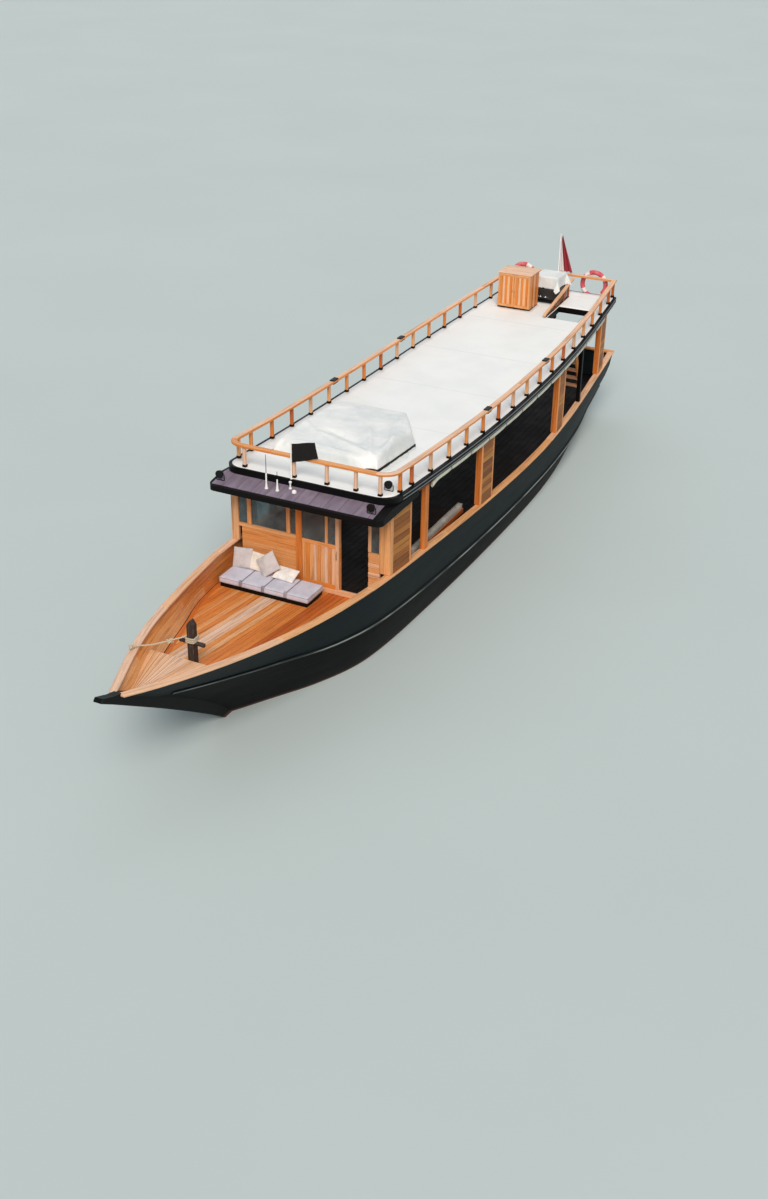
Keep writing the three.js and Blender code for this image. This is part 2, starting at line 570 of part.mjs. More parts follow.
// Guard of the stair opening: a sloping rail on short posts
const guardY = STAIR.y0 - 70;
const GUARD = { aft: -9820, fore: -7800, lastPost: -9500, firstPost: -7870, half: 22 };
const guardTop = (x) => THREE.MathUtils.mapLinear(
  x, GUARD.fore, GUARD.aft, roofTop(GUARD.fore) + 90, handrailLow(GUARD.aft) - 10);
const guardRail = loft([GUARD.aft, GUARD.fore], (x) => {
  const top = guardTop(x);
  return [[guardY - 35, top - 55], [guardY - 35, top], [guardY + 35, top], [guardY + 35, top - 55]];
});
const guardPosts = steps(GUARD.lastPost, GUARD.firstPost, 5).map((x) =>
  box(x - GUARD.half, x + GUARD.half, guardY - GUARD.half, guardY + GUARD.half,
    roofTop(x) - 40, guardTop(x) - 20));
add('stair_guard', union([guardRail, ...guardPosts]).subtract(deckSpace), TEAK);

// Companion ladder from the main sole to the fore edge of the opening: two stringers and treads
const LADDER = { x0: -9000, x1: STAIR.x1 - GAP, y0: 460, y1: 1010, stringer: 40, deep: 160, treads: 8 };
const ladderFoot = station(LADDER.x0, 'deck') + GAP;
const ladderHead = roofTop(LADDER.x1) - 40;
const stringer = (y0) => sidePlate([
  [LADDER.x0, ladderFoot], [LADDER.x0 + LADDER.deep, ladderFoot],
  [LADDER.x1, ladderHead], [LADDER.x1 - LADDER.deep, ladderHead],
], y0, y0 + LADDER.stringer);
const treads = Array.from({ length: LADDER.treads }, (_, i) => {
  const f = (i + 1) / (LADDER.treads + 1);
  const x = THREE.MathUtils.lerp(LADDER.x0 + LADDER.deep / 2, LADDER.x1 - LADDER.deep / 2, f);
  const z = THREE.MathUtils.lerp(ladderFoot, ladderHead, f);
  return box(x - 100, x + 100, LADDER.y0 + 10, LADDER.y1 - 10, z - 15, z + 15);
});
const stringers = [stringer(LADDER.y0), stringer(LADDER.y1 - LADDER.stringer)];
add('companion_ladder', union([...stringers, ...treads]), TEAK);

// Locker on the sun deck with two doors, on a plinth cut to the sheer of the deck
const LOCKER = { x0: -8680, x1: -8100, y0: -1070, y1: -230, high: 870, board: 25, plinth: 60 };
const lockerFoot = roofTop(LOCKER.x0) + GAP;
const lockerTop = lockerFoot + LOCKER.high;
const lockerBody = box(LOCKER.x0, LOCKER.x1, LOCKER.y0, LOCKER.y1, lockerFoot - LOCKER.plinth, lockerTop)
  .subtract(box(LOCKER.x0 + LOCKER.board, LOCKER.x1 + 10, LOCKER.y0 + LOCKER.board,
    LOCKER.y1 - LOCKER.board, lockerFoot + 60, lockerTop - 40))
  .subtract(deckSpace);
add('locker_body', lockerBody, TEAK);
const LOCKER_DOOR = { thick: 22, gap: 6, knuckle: 9 };
const lockerDoorX = LOCKER.x1 + LOCKER_DOOR.gap;
const lockerHingeX = LOCKER.x1 + LOCKER_DOOR.knuckle + GAP;
const lockerMiddle = (LOCKER.y0 + LOCKER.y1) / 2;
const LOCKER_DOORS = [
  { name: 'locker_door_starboard', y0: LOCKER.y0 + 4, y1: lockerMiddle - 3, hinge: LOCKER.y0 + 4 },
  { name: 'locker_door_port', y0: lockerMiddle + 3, y1: LOCKER.y1 - 4, hinge: LOCKER.y1 - 4 },
];
LOCKER_DOORS.forEach(({ name, y0, y1, hinge }) => {
  const door = box(lockerDoorX, lockerDoorX + LOCKER_DOOR.thick, y0, y1, lockerFoot + 20, lockerTop - 10);
  const knuckles = [lockerFoot + 120, lockerTop - 200].map((z) =>
    bar([lockerHingeX, hinge, z], [lockerHingeX, hinge, z + 90], LOCKER_DOOR.knuckle, 8));
  add(name, union([door, ...knuckles]), TEAK);
});

// Covered stowage beside the stair, on a black frame cut to the sheer of the deck
const STOW = { x0: -9450, x1: -8830, y0: -400, y1: 215, frame: 330, top: 640, out: 18 };
const stowFoot = roofTop(STOW.x0) + GAP;
add('stowage_frame', box(STOW.x0, STOW.x1, STOW.y0, STOW.y1, stowFoot - 60, stowFoot + STOW.frame)
  .subtract(deckSpace), BLACK_PAINT);
add('stowage_cover', box(STOW.x0 - STOW.out, STOW.x1 + STOW.out, STOW.y0 - STOW.out, STOW.y1 + STOW.out,
  stowFoot + STOW.frame + GAP, stowFoot + STOW.top), WHITE_SHEET);

// White sheet laid all over the sun deck inside the rail, cut out round what stands there
const SHEET_THICK = 6;
const SHEET_ROOM = 12;
const SHEET_FRONT = 3740;
const SHEET_INSET = 125;
const cutOut = ({ x0, x1, y0, y1 }) =>
  box(x0 - SHEET_ROOM, x1 + SHEET_ROOM, y0 - SHEET_ROOM, y1 + SHEET_ROOM, 2000, 5000);
const guardFeet = {
  x0: GUARD.lastPost - GUARD.half,
  x1: GUARD.firstPost + GUARD.half,
  y0: guardY - GUARD.half,
  y1: guardY + GUARD.half,
};
const standing = [STAIR, LOCKER, STOW, guardFeet];
const sheet = sheered(ROOF_AFT, ROOF_FRONT, (x) => roofTop(x) + SHEET_THICK, (x) => roofTop(x) + GAP)
  .intersect(planPlate(roofPlan(SHEET_INSET, SHEET_FRONT), 2000, 4000));
add('deck_covering', standing.reduce((rest, place) => rest.subtract(cutOut(place)), sheet), WHITE_SHEET);

// Day bed against the front wall
const BED = { x0: 3930, x1: 4560, y0: -1470, y1: 450, base: 90, mattress: 120, toe: 80 };
const bedFoot = station(BED.x1 - BED.toe, 'deck');
const bedBase = bedFoot + BED.base;
add('bed_base', box(BED.x0, BED.x1 - BED.toe, BED.y0 + 40, BED.y1 - 60, bedFoot + GAP, bedBase), BLACK_PAINT);
const bedTop = bedBase + GAP + BED.mattress;
add('bed_mattress', box(BED.x0, BED.x1, BED.y0, BED.y1, bedBase + GAP, bedTop), CUSHION);
const PILLOWS = [
  { name: 'pillow_1', y: -1240, wide: 400, high: 330, material: CUSHION },
  { name: 'pillow_2', y: -840, wide: 380, high: 300, material: CREAM },
  { name: 'pillow_3', y: -440, wide: 390, high: 320, material: CUSHION },
  { name: 'pillow_4', y: -40, wide: 370, high: 230, material: WHITE_SHEET },
];
PILLOWS.forEach(({ name, y, wide, high, material }) => {
  add(name, box(3960, 4090, y - wide / 2, y + wide / 2, bedTop + GAP, bedTop + high), material);
});

// Cushions under a white cover on the sun deck
const BUNDLE = { x0: -50, x1: 2700, y0: -1350, y1: 930, high: 330, slope: 90 };
const bundle = loft(runs(BUNDLE.x0, BUNDLE.x1), (x) => {
  const low = roofTop(x) + SHEET_THICK + GAP;
  const along = (x - BUNDLE.x0) / (BUNDLE.x1 - BUNDLE.x0);
  const high = low + BUNDLE.high * Math.min(0.8 + 1.2 * along, 1, 1.4 - 0.65 * along);
  const [port, starboard] = [BUNDLE.y1 - BUNDLE.slope, BUNDLE.y0 + BUNDLE.slope];
  return [[BUNDLE.y1, low], [port, high], [starboard, high], [BUNDLE.y0, low]];
});
add('covered_cushions', bundle, WHITE_SHEET);

// Life rings hung on the aft rail
function ring(x, y, z, radius, thick, round = 8, segments = 20) {
  const profile = Array.from({ length: round + 1 }, (_, i) => {
    const a = (2 * Math.PI * i) / round;
    return new THREE.Vector2(radius - thick + thick * Math.cos(a), thick * Math.sin(a));
  });
  const geometry = new THREE.LatheGeometry(profile, segments);
  geometry.rotateZ(Math.PI / 2);
  geometry.translate(x, y, z);
  return solid(geometry);
}
const RING = { radius: 365, thick: 58 };
const behindRoof = ROOF_AFT - RING.thick - GAP;
add('life_ring_port', ring(behindRoof, 780, 3440, RING.radius, RING.thick), BUOY_RED);
add('life_ring_starboard', ring(behindRoof, -1130, 3400, RING.radius, RING.thick), BUOY_RED);

// Flags on their staffs: the ensign hangs limp from the aft rail, the pennant flies ahead of the
// fore rail. Each cloth is an outline of (y, z) points from the head of its hoist.
const STAFF_R = 14;
const CLOTH_THICK = 12;
const ensignFoot = handrailLow(RAIL_AFT - STAFF_R) + HANDRAIL.thick + GAP;
const PENNANT_X = RAIL_FRONT + 85;
const FLAGS = [
  { name: 'ensign', x: RAIL_AFT, y: -158, foot: ensignFoot, top: 4640, cloth: FLAG_RED,
    outline: [[0, 4620], [50, 4620], [360, 3700], [0, 3690]] },
  { name: 'pennant', x: PENNANT_X, y: -302, foot: roofTop(PENNANT_X + STAFF_R) + GAP, top: 3965,
    cloth: BLACK_PAINT, outline: [[0, 3940], [490, 4060], [545, 3750], [0, 3570]] },
];
FLAGS.forEach(({ name, x, y, foot, top, cloth, outline }) => {
  const hoist = y + STAFF_R + GAP;
  const shape = new THREE.Shape(outline.map(([out, z]) => new THREE.Vector2(hoist + out, z)));
  const flag = new THREE.ExtrudeGeometry(shape, { depth: CLOTH_THICK, bevelEnabled: false });
  flag.applyMatrix4(new THREE.Matrix4().set(0, 0, 1, x - CLOTH_THICK / 2, 1, 0, 0, 0, 0, 1, 0, 0, 0, 0, 0, 1));
  add(`${name}_staff`, bar([x, y, foot], [x, y, top], STAFF_R), WHITE_PAINT);
  add(name, solid(flag), cloth);
});

// Deck lamps on the visor
const LAMPS = [
  { name: 'lamp_starboard', x: 4080, y: -1560 },
  { name: 'lamp_port', x: 4080, y: 1500 },
];
LAMPS.forEach(({ name, x, y }) => {
  const foot = visorTop(x - 20) + GAP;
  add(name, box(x - 45, x + 45, y - 75, y + 75, foot + 50, foot + 200)
    .add(box(x - 20, x + 20, y - 30, y + 30, foot, foot + 60)), BLACK_PAINT);
});

// Rolled side curtains under the eaves
const curtain = loft(runs(-8900, 2040), (x) => {
  const y = station(x, 'half') + 36;
  const z = roofUnder(x) - 60 - GAP;
  return Array.from({ length: 8 }, (_, k) => {
    const a = (2 * Math.PI * k) / 8;
    return [y + 36 * Math.cos(a), z + 60 * Math.sin(a)];
  });
});
add('curtain_roll_port', curtain, CREAM);
add('curtain_roll_starboard', mirrored(curtain), CREAM);

// Settee along the port side inside the house, with a cushion against its back
const SETTEE = { x0: -380, x1: 2040, y0: 800, y1: 1420, high: 330, cushion: 206, cushionDeep: 180 };
const setteeFoot = station(SETTEE.x1, 'deck') + GAP;
const setteeBase = box(SETTEE.x0, SETTEE.x1, SETTEE.y0, SETTEE.y1, setteeFoot, setteeFoot + SETTEE.high);
const setteeCushion = box(SETTEE.x0, SETTEE.x1, SETTEE.y1 - SETTEE.cushionDeep, SETTEE.y1,
  setteeFoot + SETTEE.high + GAP, setteeFoot + SETTEE.high + SETTEE.cushion);
add('settee_port', setteeBase, TEAK);
add('settee_cushion_port', setteeCushion, CREAM);

// Helm: console and spoked wheel on a short shaft
const HELM = { x: 2900, y: -850, z: 1830, radius: 330, shaft: 24 };
const helmFoot = station(HELM.x + 520, 'deck') + GAP;
const consoleSolid = box(HELM.x + 120, HELM.x + 520, HELM.y - 380, HELM.y + 380, helmFoot, HELM.z + 130);
add('helm_console', consoleSolid.subtract(
  bore([HELM.x + 60, HELM.y, HELM.z], [HELM.x + 180, HELM.y, HELM.z], HELM.shaft)), TEAK);
const spokes = Array.from({ length: 3 }, (_, i) => {
  const a = (Math.PI * i) / 3;
  const dy = (HELM.radius + 90) * Math.cos(a);
  const dz = (HELM.radius + 90) * Math.sin(a);
  return bar([HELM.x, HELM.y - dy, HELM.z - dz], [HELM.x, HELM.y + dy, HELM.z + dz], 14, 6);
});
add('helm_wheel', union([
  ring(HELM.x, HELM.y, HELM.z, HELM.radius, 24, 6, 18), ...spokes,
  bar([HELM.x - 50, HELM.y, HELM.z], [HELM.x + 170, HELM.y, HELM.z], HELM.shaft, 12),
  bar([HELM.x - 45, HELM.y, HELM.z], [HELM.x + 45, HELM.y, HELM.z], 55, 12),
]), DARK_TIMBER);

// Propeller with its shaft end, and the rudder with its stock and pintle
const PROP = { blades: 3, pitch: 34, thick: 18, wide: 240, long: 340, middle: 205 };
const bladeShape = new THREE.Shape();
bladeShape.absellipse(0, PROP.middle, PROP.wide / 2, PROP.long / 2, 0, Math.PI * 2);
const blade = planPlate(bladeShape, -PROP.thick / 2, PROP.thick / 2, 8)
  .rotate([90, 0, 0]).rotate([0, 0, 90 - PROP.pitch]);
const blades = steps(0, 360 - 360 / PROP.blades, PROP.blades - 1).map((a) => blade.rotate([a, 0, 0]));
const propeller = union([
  ...blades,
  bar([-90, 0, 0], [90, 0, 0], 72, 16),
  bar([0, 0, 0], [POST_AFT - PROP_X + 220, 0, 0], SHAFT_R, 16),
]).translate([PROP_X, 0, SHAFT_Z]);
add('propeller', propeller, BRONZE);
const rudderBlade = sidePlate([
  [RUDDER_X + 90, -1225], [RUDDER_X + 110, -330], [RUDDER_X - 430, -180], [RUDDER_X - 560, -1225],
], -28, 28);
add('rudder', union([
  rudderBlade,
  bar([RUDDER_X, 0, -1240], [RUDDER_X, 0, 420], STOCK_R, 16),
  bar([RUDDER_X, 0, -1300], [RUDDER_X, 0, -1200], PINTLE_R, 16),
]), BOTTOM_PAINT);

export default boat;
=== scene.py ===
import json
import math
import random

import bmesh
import bpy
import numpy as np
from mathutils import Matrix, Vector
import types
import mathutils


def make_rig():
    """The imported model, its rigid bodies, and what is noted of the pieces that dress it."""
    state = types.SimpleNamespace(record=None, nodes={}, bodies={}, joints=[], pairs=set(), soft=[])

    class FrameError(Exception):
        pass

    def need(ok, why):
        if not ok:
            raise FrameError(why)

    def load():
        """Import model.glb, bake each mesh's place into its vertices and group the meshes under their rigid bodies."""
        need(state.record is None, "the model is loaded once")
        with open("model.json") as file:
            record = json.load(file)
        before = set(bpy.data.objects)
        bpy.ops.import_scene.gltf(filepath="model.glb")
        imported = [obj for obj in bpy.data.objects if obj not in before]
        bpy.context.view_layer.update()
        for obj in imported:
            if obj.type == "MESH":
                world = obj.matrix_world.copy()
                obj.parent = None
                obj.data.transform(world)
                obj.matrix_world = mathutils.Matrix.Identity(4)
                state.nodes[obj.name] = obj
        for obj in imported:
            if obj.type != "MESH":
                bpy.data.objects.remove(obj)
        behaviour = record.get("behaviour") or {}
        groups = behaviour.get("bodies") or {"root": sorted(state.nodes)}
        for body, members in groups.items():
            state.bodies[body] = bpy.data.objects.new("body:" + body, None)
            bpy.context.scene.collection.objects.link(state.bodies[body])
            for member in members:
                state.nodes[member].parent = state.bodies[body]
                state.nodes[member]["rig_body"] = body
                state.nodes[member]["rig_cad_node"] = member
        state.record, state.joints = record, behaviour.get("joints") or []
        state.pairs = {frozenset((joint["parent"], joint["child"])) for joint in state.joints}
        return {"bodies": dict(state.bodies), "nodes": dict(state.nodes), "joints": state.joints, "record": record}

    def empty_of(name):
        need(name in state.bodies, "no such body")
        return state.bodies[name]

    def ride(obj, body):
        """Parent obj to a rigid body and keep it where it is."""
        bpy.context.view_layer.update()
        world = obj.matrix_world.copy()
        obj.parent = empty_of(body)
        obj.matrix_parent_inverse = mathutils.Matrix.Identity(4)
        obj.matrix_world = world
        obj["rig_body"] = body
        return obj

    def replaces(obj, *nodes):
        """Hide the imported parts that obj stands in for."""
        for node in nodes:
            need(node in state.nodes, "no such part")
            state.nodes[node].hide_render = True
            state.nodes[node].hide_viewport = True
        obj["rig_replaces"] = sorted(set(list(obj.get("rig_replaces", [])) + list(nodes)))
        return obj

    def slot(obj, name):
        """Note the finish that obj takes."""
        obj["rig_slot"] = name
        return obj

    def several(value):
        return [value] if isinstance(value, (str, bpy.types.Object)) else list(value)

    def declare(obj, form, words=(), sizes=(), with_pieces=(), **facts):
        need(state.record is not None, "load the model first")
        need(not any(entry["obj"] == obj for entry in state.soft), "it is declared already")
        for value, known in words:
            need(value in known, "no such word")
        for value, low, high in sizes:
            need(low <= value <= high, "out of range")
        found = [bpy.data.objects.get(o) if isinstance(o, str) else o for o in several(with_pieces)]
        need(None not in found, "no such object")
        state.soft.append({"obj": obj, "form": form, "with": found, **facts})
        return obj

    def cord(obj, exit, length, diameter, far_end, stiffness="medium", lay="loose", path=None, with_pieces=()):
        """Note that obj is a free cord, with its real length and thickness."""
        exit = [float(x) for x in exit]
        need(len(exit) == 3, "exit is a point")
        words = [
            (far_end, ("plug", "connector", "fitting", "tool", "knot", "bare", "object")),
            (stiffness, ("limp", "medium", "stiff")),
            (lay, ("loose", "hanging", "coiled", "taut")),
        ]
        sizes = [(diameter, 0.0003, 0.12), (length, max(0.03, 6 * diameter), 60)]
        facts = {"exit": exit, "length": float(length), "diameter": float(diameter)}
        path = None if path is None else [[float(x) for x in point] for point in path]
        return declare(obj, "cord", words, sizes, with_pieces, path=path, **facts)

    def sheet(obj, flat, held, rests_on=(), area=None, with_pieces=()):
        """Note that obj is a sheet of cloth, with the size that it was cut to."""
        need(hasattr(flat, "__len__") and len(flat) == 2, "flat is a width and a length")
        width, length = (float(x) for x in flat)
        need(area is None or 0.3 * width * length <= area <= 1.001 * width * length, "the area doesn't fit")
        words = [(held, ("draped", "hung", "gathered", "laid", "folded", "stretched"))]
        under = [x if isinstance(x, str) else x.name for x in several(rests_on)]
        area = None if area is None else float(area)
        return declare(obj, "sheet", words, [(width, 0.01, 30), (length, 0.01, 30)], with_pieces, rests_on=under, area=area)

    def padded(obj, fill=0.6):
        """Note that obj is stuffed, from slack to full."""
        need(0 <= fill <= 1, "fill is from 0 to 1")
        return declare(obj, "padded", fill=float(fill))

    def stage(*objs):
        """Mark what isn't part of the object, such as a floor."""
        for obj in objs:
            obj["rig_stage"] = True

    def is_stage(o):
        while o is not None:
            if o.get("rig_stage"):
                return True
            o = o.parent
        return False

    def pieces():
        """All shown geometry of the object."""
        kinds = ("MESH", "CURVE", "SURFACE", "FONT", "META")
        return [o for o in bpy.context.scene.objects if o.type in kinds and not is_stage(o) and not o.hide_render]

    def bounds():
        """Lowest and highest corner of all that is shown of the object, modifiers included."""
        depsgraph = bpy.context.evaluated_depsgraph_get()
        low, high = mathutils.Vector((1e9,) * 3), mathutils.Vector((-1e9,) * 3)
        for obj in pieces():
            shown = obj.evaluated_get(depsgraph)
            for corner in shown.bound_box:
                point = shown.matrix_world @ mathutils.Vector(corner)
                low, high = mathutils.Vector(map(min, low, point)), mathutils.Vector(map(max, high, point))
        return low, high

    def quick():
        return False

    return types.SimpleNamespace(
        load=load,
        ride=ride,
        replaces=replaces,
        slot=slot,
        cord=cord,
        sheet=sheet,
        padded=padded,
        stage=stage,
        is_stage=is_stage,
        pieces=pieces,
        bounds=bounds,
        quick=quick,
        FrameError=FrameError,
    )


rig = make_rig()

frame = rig.load()
cad_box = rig.bounds()

# Camera: a long view from high off the port bow, as from a low-flying aircraft.
# Metres in the boat's frame; heading, dip and roll in degrees; the lens suits a 36 mm long side.
CAMERA_AT = (24.812, 11.780, 14.063)
HEADING, DIP, ROLL = -154.231, 28.798, 0.819
LENS = 43.355


def looking(heading, dip, roll):
    """The rotation of a camera that looks along a heading, dips below the horizon and rolls."""
    h, d, r = (math.radians(a) for a in (heading, dip, roll))
    ahead = Vector((math.cos(d) * math.cos(h), math.cos(d) * math.sin(h), -math.sin(d)))
    right = ahead.cross(Vector((0, 0, 1))).normalized()
    up = right.cross(ahead)
    axes = (math.cos(r) * right + math.sin(r) * up, math.cos(r) * up - math.sin(r) * right, -ahead)
    return Matrix(axes).transposed().to_quaternion()


def linked(name, data):
    """A new object in the scene."""
    made = bpy.data.objects.new(name, data)
    bpy.context.scene.collection.objects.link(made)
    return made


def built(name, verts, faces, *finishes, coords=None):
    """A mesh from its points and faces, with its materials, and with UVs where they are given."""
    mesh = bpy.data.meshes.new(name)
    mesh.from_pydata(verts, [], faces)
    if coords:
        mesh.uv_layers.new(name="UVMap").data.foreach_set("uv", [c for pair in coords for c in pair])
    for finish in finishes:
        mesh.materials.append(finish)
    return mesh


lens = bpy.data.cameras.new("camera")
lens.lens, lens.sensor_width, lens.clip_end = LENS, 36, 1000
camera = linked("camera", lens)
camera.location = CAMERA_AT
camera.rotation_mode = "QUATERNION"
camera.rotation_quaternion = looking(HEADING, DIP, ROLL)
bpy.context.scene.camera = camera

# Studio: a pale matt floor at the waterline, an even pale surround and broad high soft lights.
# The floor is wide enough to fill the view to its top edge.
FLOOR_HALF = 400
SKY_HEX, FLOOR_HEX = "e4ebee", "b9c6c8"


def tint(code):
    """An sRGB hex colour as linear RGBA."""
    parts = [int(code[i:i + 2], 16) / 255 for i in (0, 2, 4)]
    return [p / 12.92 if p <= 0.04045 else ((p + 0.055) / 1.055) ** 2.4 for p in parts] + [1]


def node(tree, kind, feeds=None, **settings):
    """Adds a node with its settings, and sets or links the inputs named in feeds."""
    made = tree.nodes.new(kind)
    for key, value in settings.items():
        setattr(made, key, value)
    for socket, feed in (feeds or {}).items():
        if isinstance(feed, bpy.types.NodeSocket):
            tree.links.new(feed, made.inputs[socket])
        else:
            made.inputs[socket].default_value = feed
    return made


def material(name, roughness=0.5, metallic=0.0, colour=None, **shader_values):
    """A new material with its shader; returns the material, its tree and the shader."""
    made = bpy.data.materials.new(name)
    made.use_nodes = True
    shader = made.node_tree.nodes["Principled BSDF"]
    shader.inputs["Roughness"].default_value = roughness
    shader.inputs["Metallic"].default_value = metallic
    if colour:
        shader.inputs["Base Color"].default_value = tint(colour)
        made.diffuse_color = tint(colour)
    for socket, value in shader_values.items():
        shader.inputs[socket.replace("_", " ")].default_value = value
    return made, made.node_tree, shader


def ramp(tree, factor, stops):
    """A colour ramp through (position, hex) stops."""
    made = node(tree, "ShaderNodeValToRGB", {"Fac": factor})
    band = made.color_ramp
    while len(band.elements) < len(stops):
        band.elements.new(0.5)
    for element, (place, code) in zip(band.elements, stops):
        element.position, element.color = place, tint(code)
    return made.outputs["Color"]


def bump(tree, shader, height, distance, strength=1.0):
    """Raises a surface by a height field, in metres."""
    made = node(tree, "ShaderNodeBump", {"Height": height, "Distance": distance, "Strength": strength})
    tree.links.new(made.outputs["Normal"], shader.inputs["Normal"])


def own_place(tree):
    """Where a point lies in its piece's own frame, in metres."""
    return node(tree, "ShaderNodeTexCoord").outputs["Object"]


def unwrapped(tree):
    """Where a point lies on its piece's own skin: U along it, V round it."""
    return node(tree, "ShaderNodeUVMap", uv_map="UVMap").outputs["UV"]


def split(tree, vector):
    return node(tree, "ShaderNodeSeparateXYZ", {"Vector": vector}).outputs


def calc(tree, kind, *values):
    """One arithmetic step on one to three values."""
    return node(tree, "ShaderNodeMath", dict(enumerate(values)), operation=kind).outputs[0]


def rescale(tree, value, **limits):
    """A value brought from one range to another, which are 0 to 1 unless from_min and so on say more."""
    feeds = {key.replace("_", " ").title(): limit for key, limit in limits.items()}
    return node(tree, "ShaderNodeMapRange", {"Value": value, **feeds}).outputs[0]


def two_tone(tree, share, under, over, **settings):
    """A share of one colour laid over another."""
    return node(tree, "ShaderNodeMix", {0: share, 6: under, 7: over}, data_type="RGBA", **settings).outputs[2]


def pattern(tree, where, scale, detail, stretch=None, **more):
    """A noise field, stretched by three factors, and shifted for each W where one is given."""
    if stretch:
        where = node(tree, "ShaderNodeMapping", {"Vector": where, "Scale": stretch}).outputs["Vector"]
    dimensions = "4D" if "W" in more else "3D"
    return node(tree, "ShaderNodeTexNoise", {"Vector": where, "Scale": scale, "Detail": detail, **more},
                noise_dimensions=dimensions).outputs["Fac"]


def paint(tree, shader, colour, roughness=None):
    tree.links.new(colour, shader.inputs["Base Color"])
    if roughness:
        tree.links.new(roughness, shader.inputs["Roughness"])


def plain_finish(name, scale, detail, relief=None, stops=None, stretch=None, grain=0.5, **shader_values):
    """A finish with one noise field: it picks the colour from the stops, and raises the surface."""
    made, tree, shader = material(name, **shader_values)
    field = pattern(tree, own_place(tree), scale, detail, stretch, Roughness=grain)
    if stops:
        paint(tree, shader, ramp(tree, field, stops))
    if relief:
        bump(tree, shader, field, *relief)
    return made


# Studio paper: very matt, with a faint mottling so that it isn't a dead flat tone
floor_paper = plain_finish("studio_paper", 0.15, 3.0, stops=((0.3, FLOOR_HEX), (0.7, "bccacc")),
                           roughness=0.95)

corners = [(-FLOOR_HALF, -FLOOR_HALF, 0), (FLOOR_HALF, -FLOOR_HALF, 0),
           (FLOOR_HALF, FLOOR_HALF, 0), (-FLOOR_HALF, FLOOR_HALF, 0)]
floor = linked("floor", built("floor", corners, [(0, 1, 2, 3)], floor_paper))
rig.stage(floor)

world = bpy.data.worlds.new("studio")
world.use_nodes = True
surround = world.node_tree.nodes["Background"]
surround.inputs["Color"].default_value = tint(SKY_HEX)
surround.inputs["Strength"].default_value = 0.42
bpy.context.scene.world = world

# Columns: name, the side it shines from, angle across in degrees, strength, hex
for name, place, across, strength, code in (
        ("key_light", (19, 9, 21), 30, 2.85, "fff4e8"),
        ("stern_light", (-24, -16, 20), 60, 0.5, "e8f1ff")):
    lamp = bpy.data.lights.new(name, "SUN")
    lamp.angle, lamp.energy, lamp.color = math.radians(across), strength, tint(code)[:3]
    lit = linked(name, lamp)
    lit.location = place
    lit.rotation_mode = "QUATERNION"
    lit.rotation_quaternion = (-Vector(place)).to_track_quat("-Z", "Y")
bpy.context.scene.view_settings.view_transform = "Standard"

# Mooring rope: laid natural rope of 28 mm, three turns round the bitt, then across to the
# starboard cap rail, where it is hitched. It lies tight, so only its short tail hangs free.
BITT = dict(x=7.760, y=0.060, half=0.064, foot=1.535)
ROPE_R = 0.014
ROPE_TURNS, ROPE_LAY, ROPE_FROM = 3, 0.034, 1.99
ROPE_CAP = Vector((8.36, -0.655, 1.985))


def put(name, mesh, body="root"):
    """Shows a mesh as a piece that rides on a body."""
    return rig.ride(linked(name, mesh), body)


def tube(name, path, radius, sides, finish, caps=True):
    """A round bar along a path of points. U runs along it in metres, V once round it."""
    points = [Vector(p) for p in path]
    rings, uvs, length = [], [], 0.0
    side = None
    for i, p in enumerate(points):
        ahead = (points[min(i + 1, len(points) - 1)] - points[max(i - 1, 0)]).normalized()
        if side is None:
            side = ahead.orthogonal().normalized()
        side = (side - ahead * side.dot(ahead)).normalized()
        up = ahead.cross(side)
        r = radius[i] if hasattr(radius, "__len__") else radius
        rings.append([p + r * (math.cos(a) * side + math.sin(a) * up)
                      for a in (2 * math.pi * k / sides for k in range(sides))])
        uvs.append(length)
        if i < len(points) - 1:
            length += (points[i + 1] - p).length
    verts = [v for ring in rings for v in ring]
    faces, coords = [], []
    for i in range(len(rings) - 1):
        for k in range(sides):
            n = (k + 1) % sides
            faces.append((i * sides + k, i * sides + n, (i + 1) * sides + n, (i + 1) * sides + k))
            coords += [(uvs[i], k / sides), (uvs[i], (k + 1) / sides),
                       (uvs[i + 1], (k + 1) / sides), (uvs[i + 1], k / sides)]
    if caps:
        faces += [tuple(range(sides))[::-1], tuple(range((len(rings) - 1) * sides, len(rings) * sides))]
        coords += [(0, 0)] * (2 * sides)
    mesh = built(name, verts, faces, finish, coords=coords)
    mesh.shade_smooth()
    mesh.set_sharp_from_angle(angle=math.radians(50))
    return mesh


def laid_rope(name, light, dark, lay):
    """Three-strand rope: strands wind round it once each lay, darker between them."""
    made, tree, shader = material(name, roughness=0.85)
    skin = split(tree, unwrapped(tree))
    turns = calc(tree, "ADD", skin["Y"], calc(tree, "MULTIPLY", skin["X"], 1 / lay))
    crown = calc(tree, "SINE", calc(tree, "MULTIPLY", turns, 3 * 2 * math.pi))
    fuzz = pattern(tree, own_place(tree), 300.0, 2.0)
    fibres = calc(tree, "MULTIPLY_ADD", fuzz, 0.3, rescale(tree, crown, from_min=-1.0))
    paint(tree, shader, ramp(tree, fibres, ((0.15, dark), (0.7, light))))
    bump(tree, shader, fibres, 0.004)
    return made


# Manila rope: pale straw strands, grey-brown in the grooves between them; one lay is about 90 mm
manila = laid_rope("laid_manila", "dccdb6", "8f7f69", 0.09)


def bar(name, path, radius, sides, finish, slot, body="root", caps=True):
    """A round bar shown as a piece of its own."""
    shown = put(name, tube(name, path, radius, sides, finish, caps), body)
    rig.slot(shown, slot)
    return shown


def round_angles(count):
    """Angles once round a circle, the last one back at the first."""
    return [2 * math.pi * k / count for k in range(count + 1)]


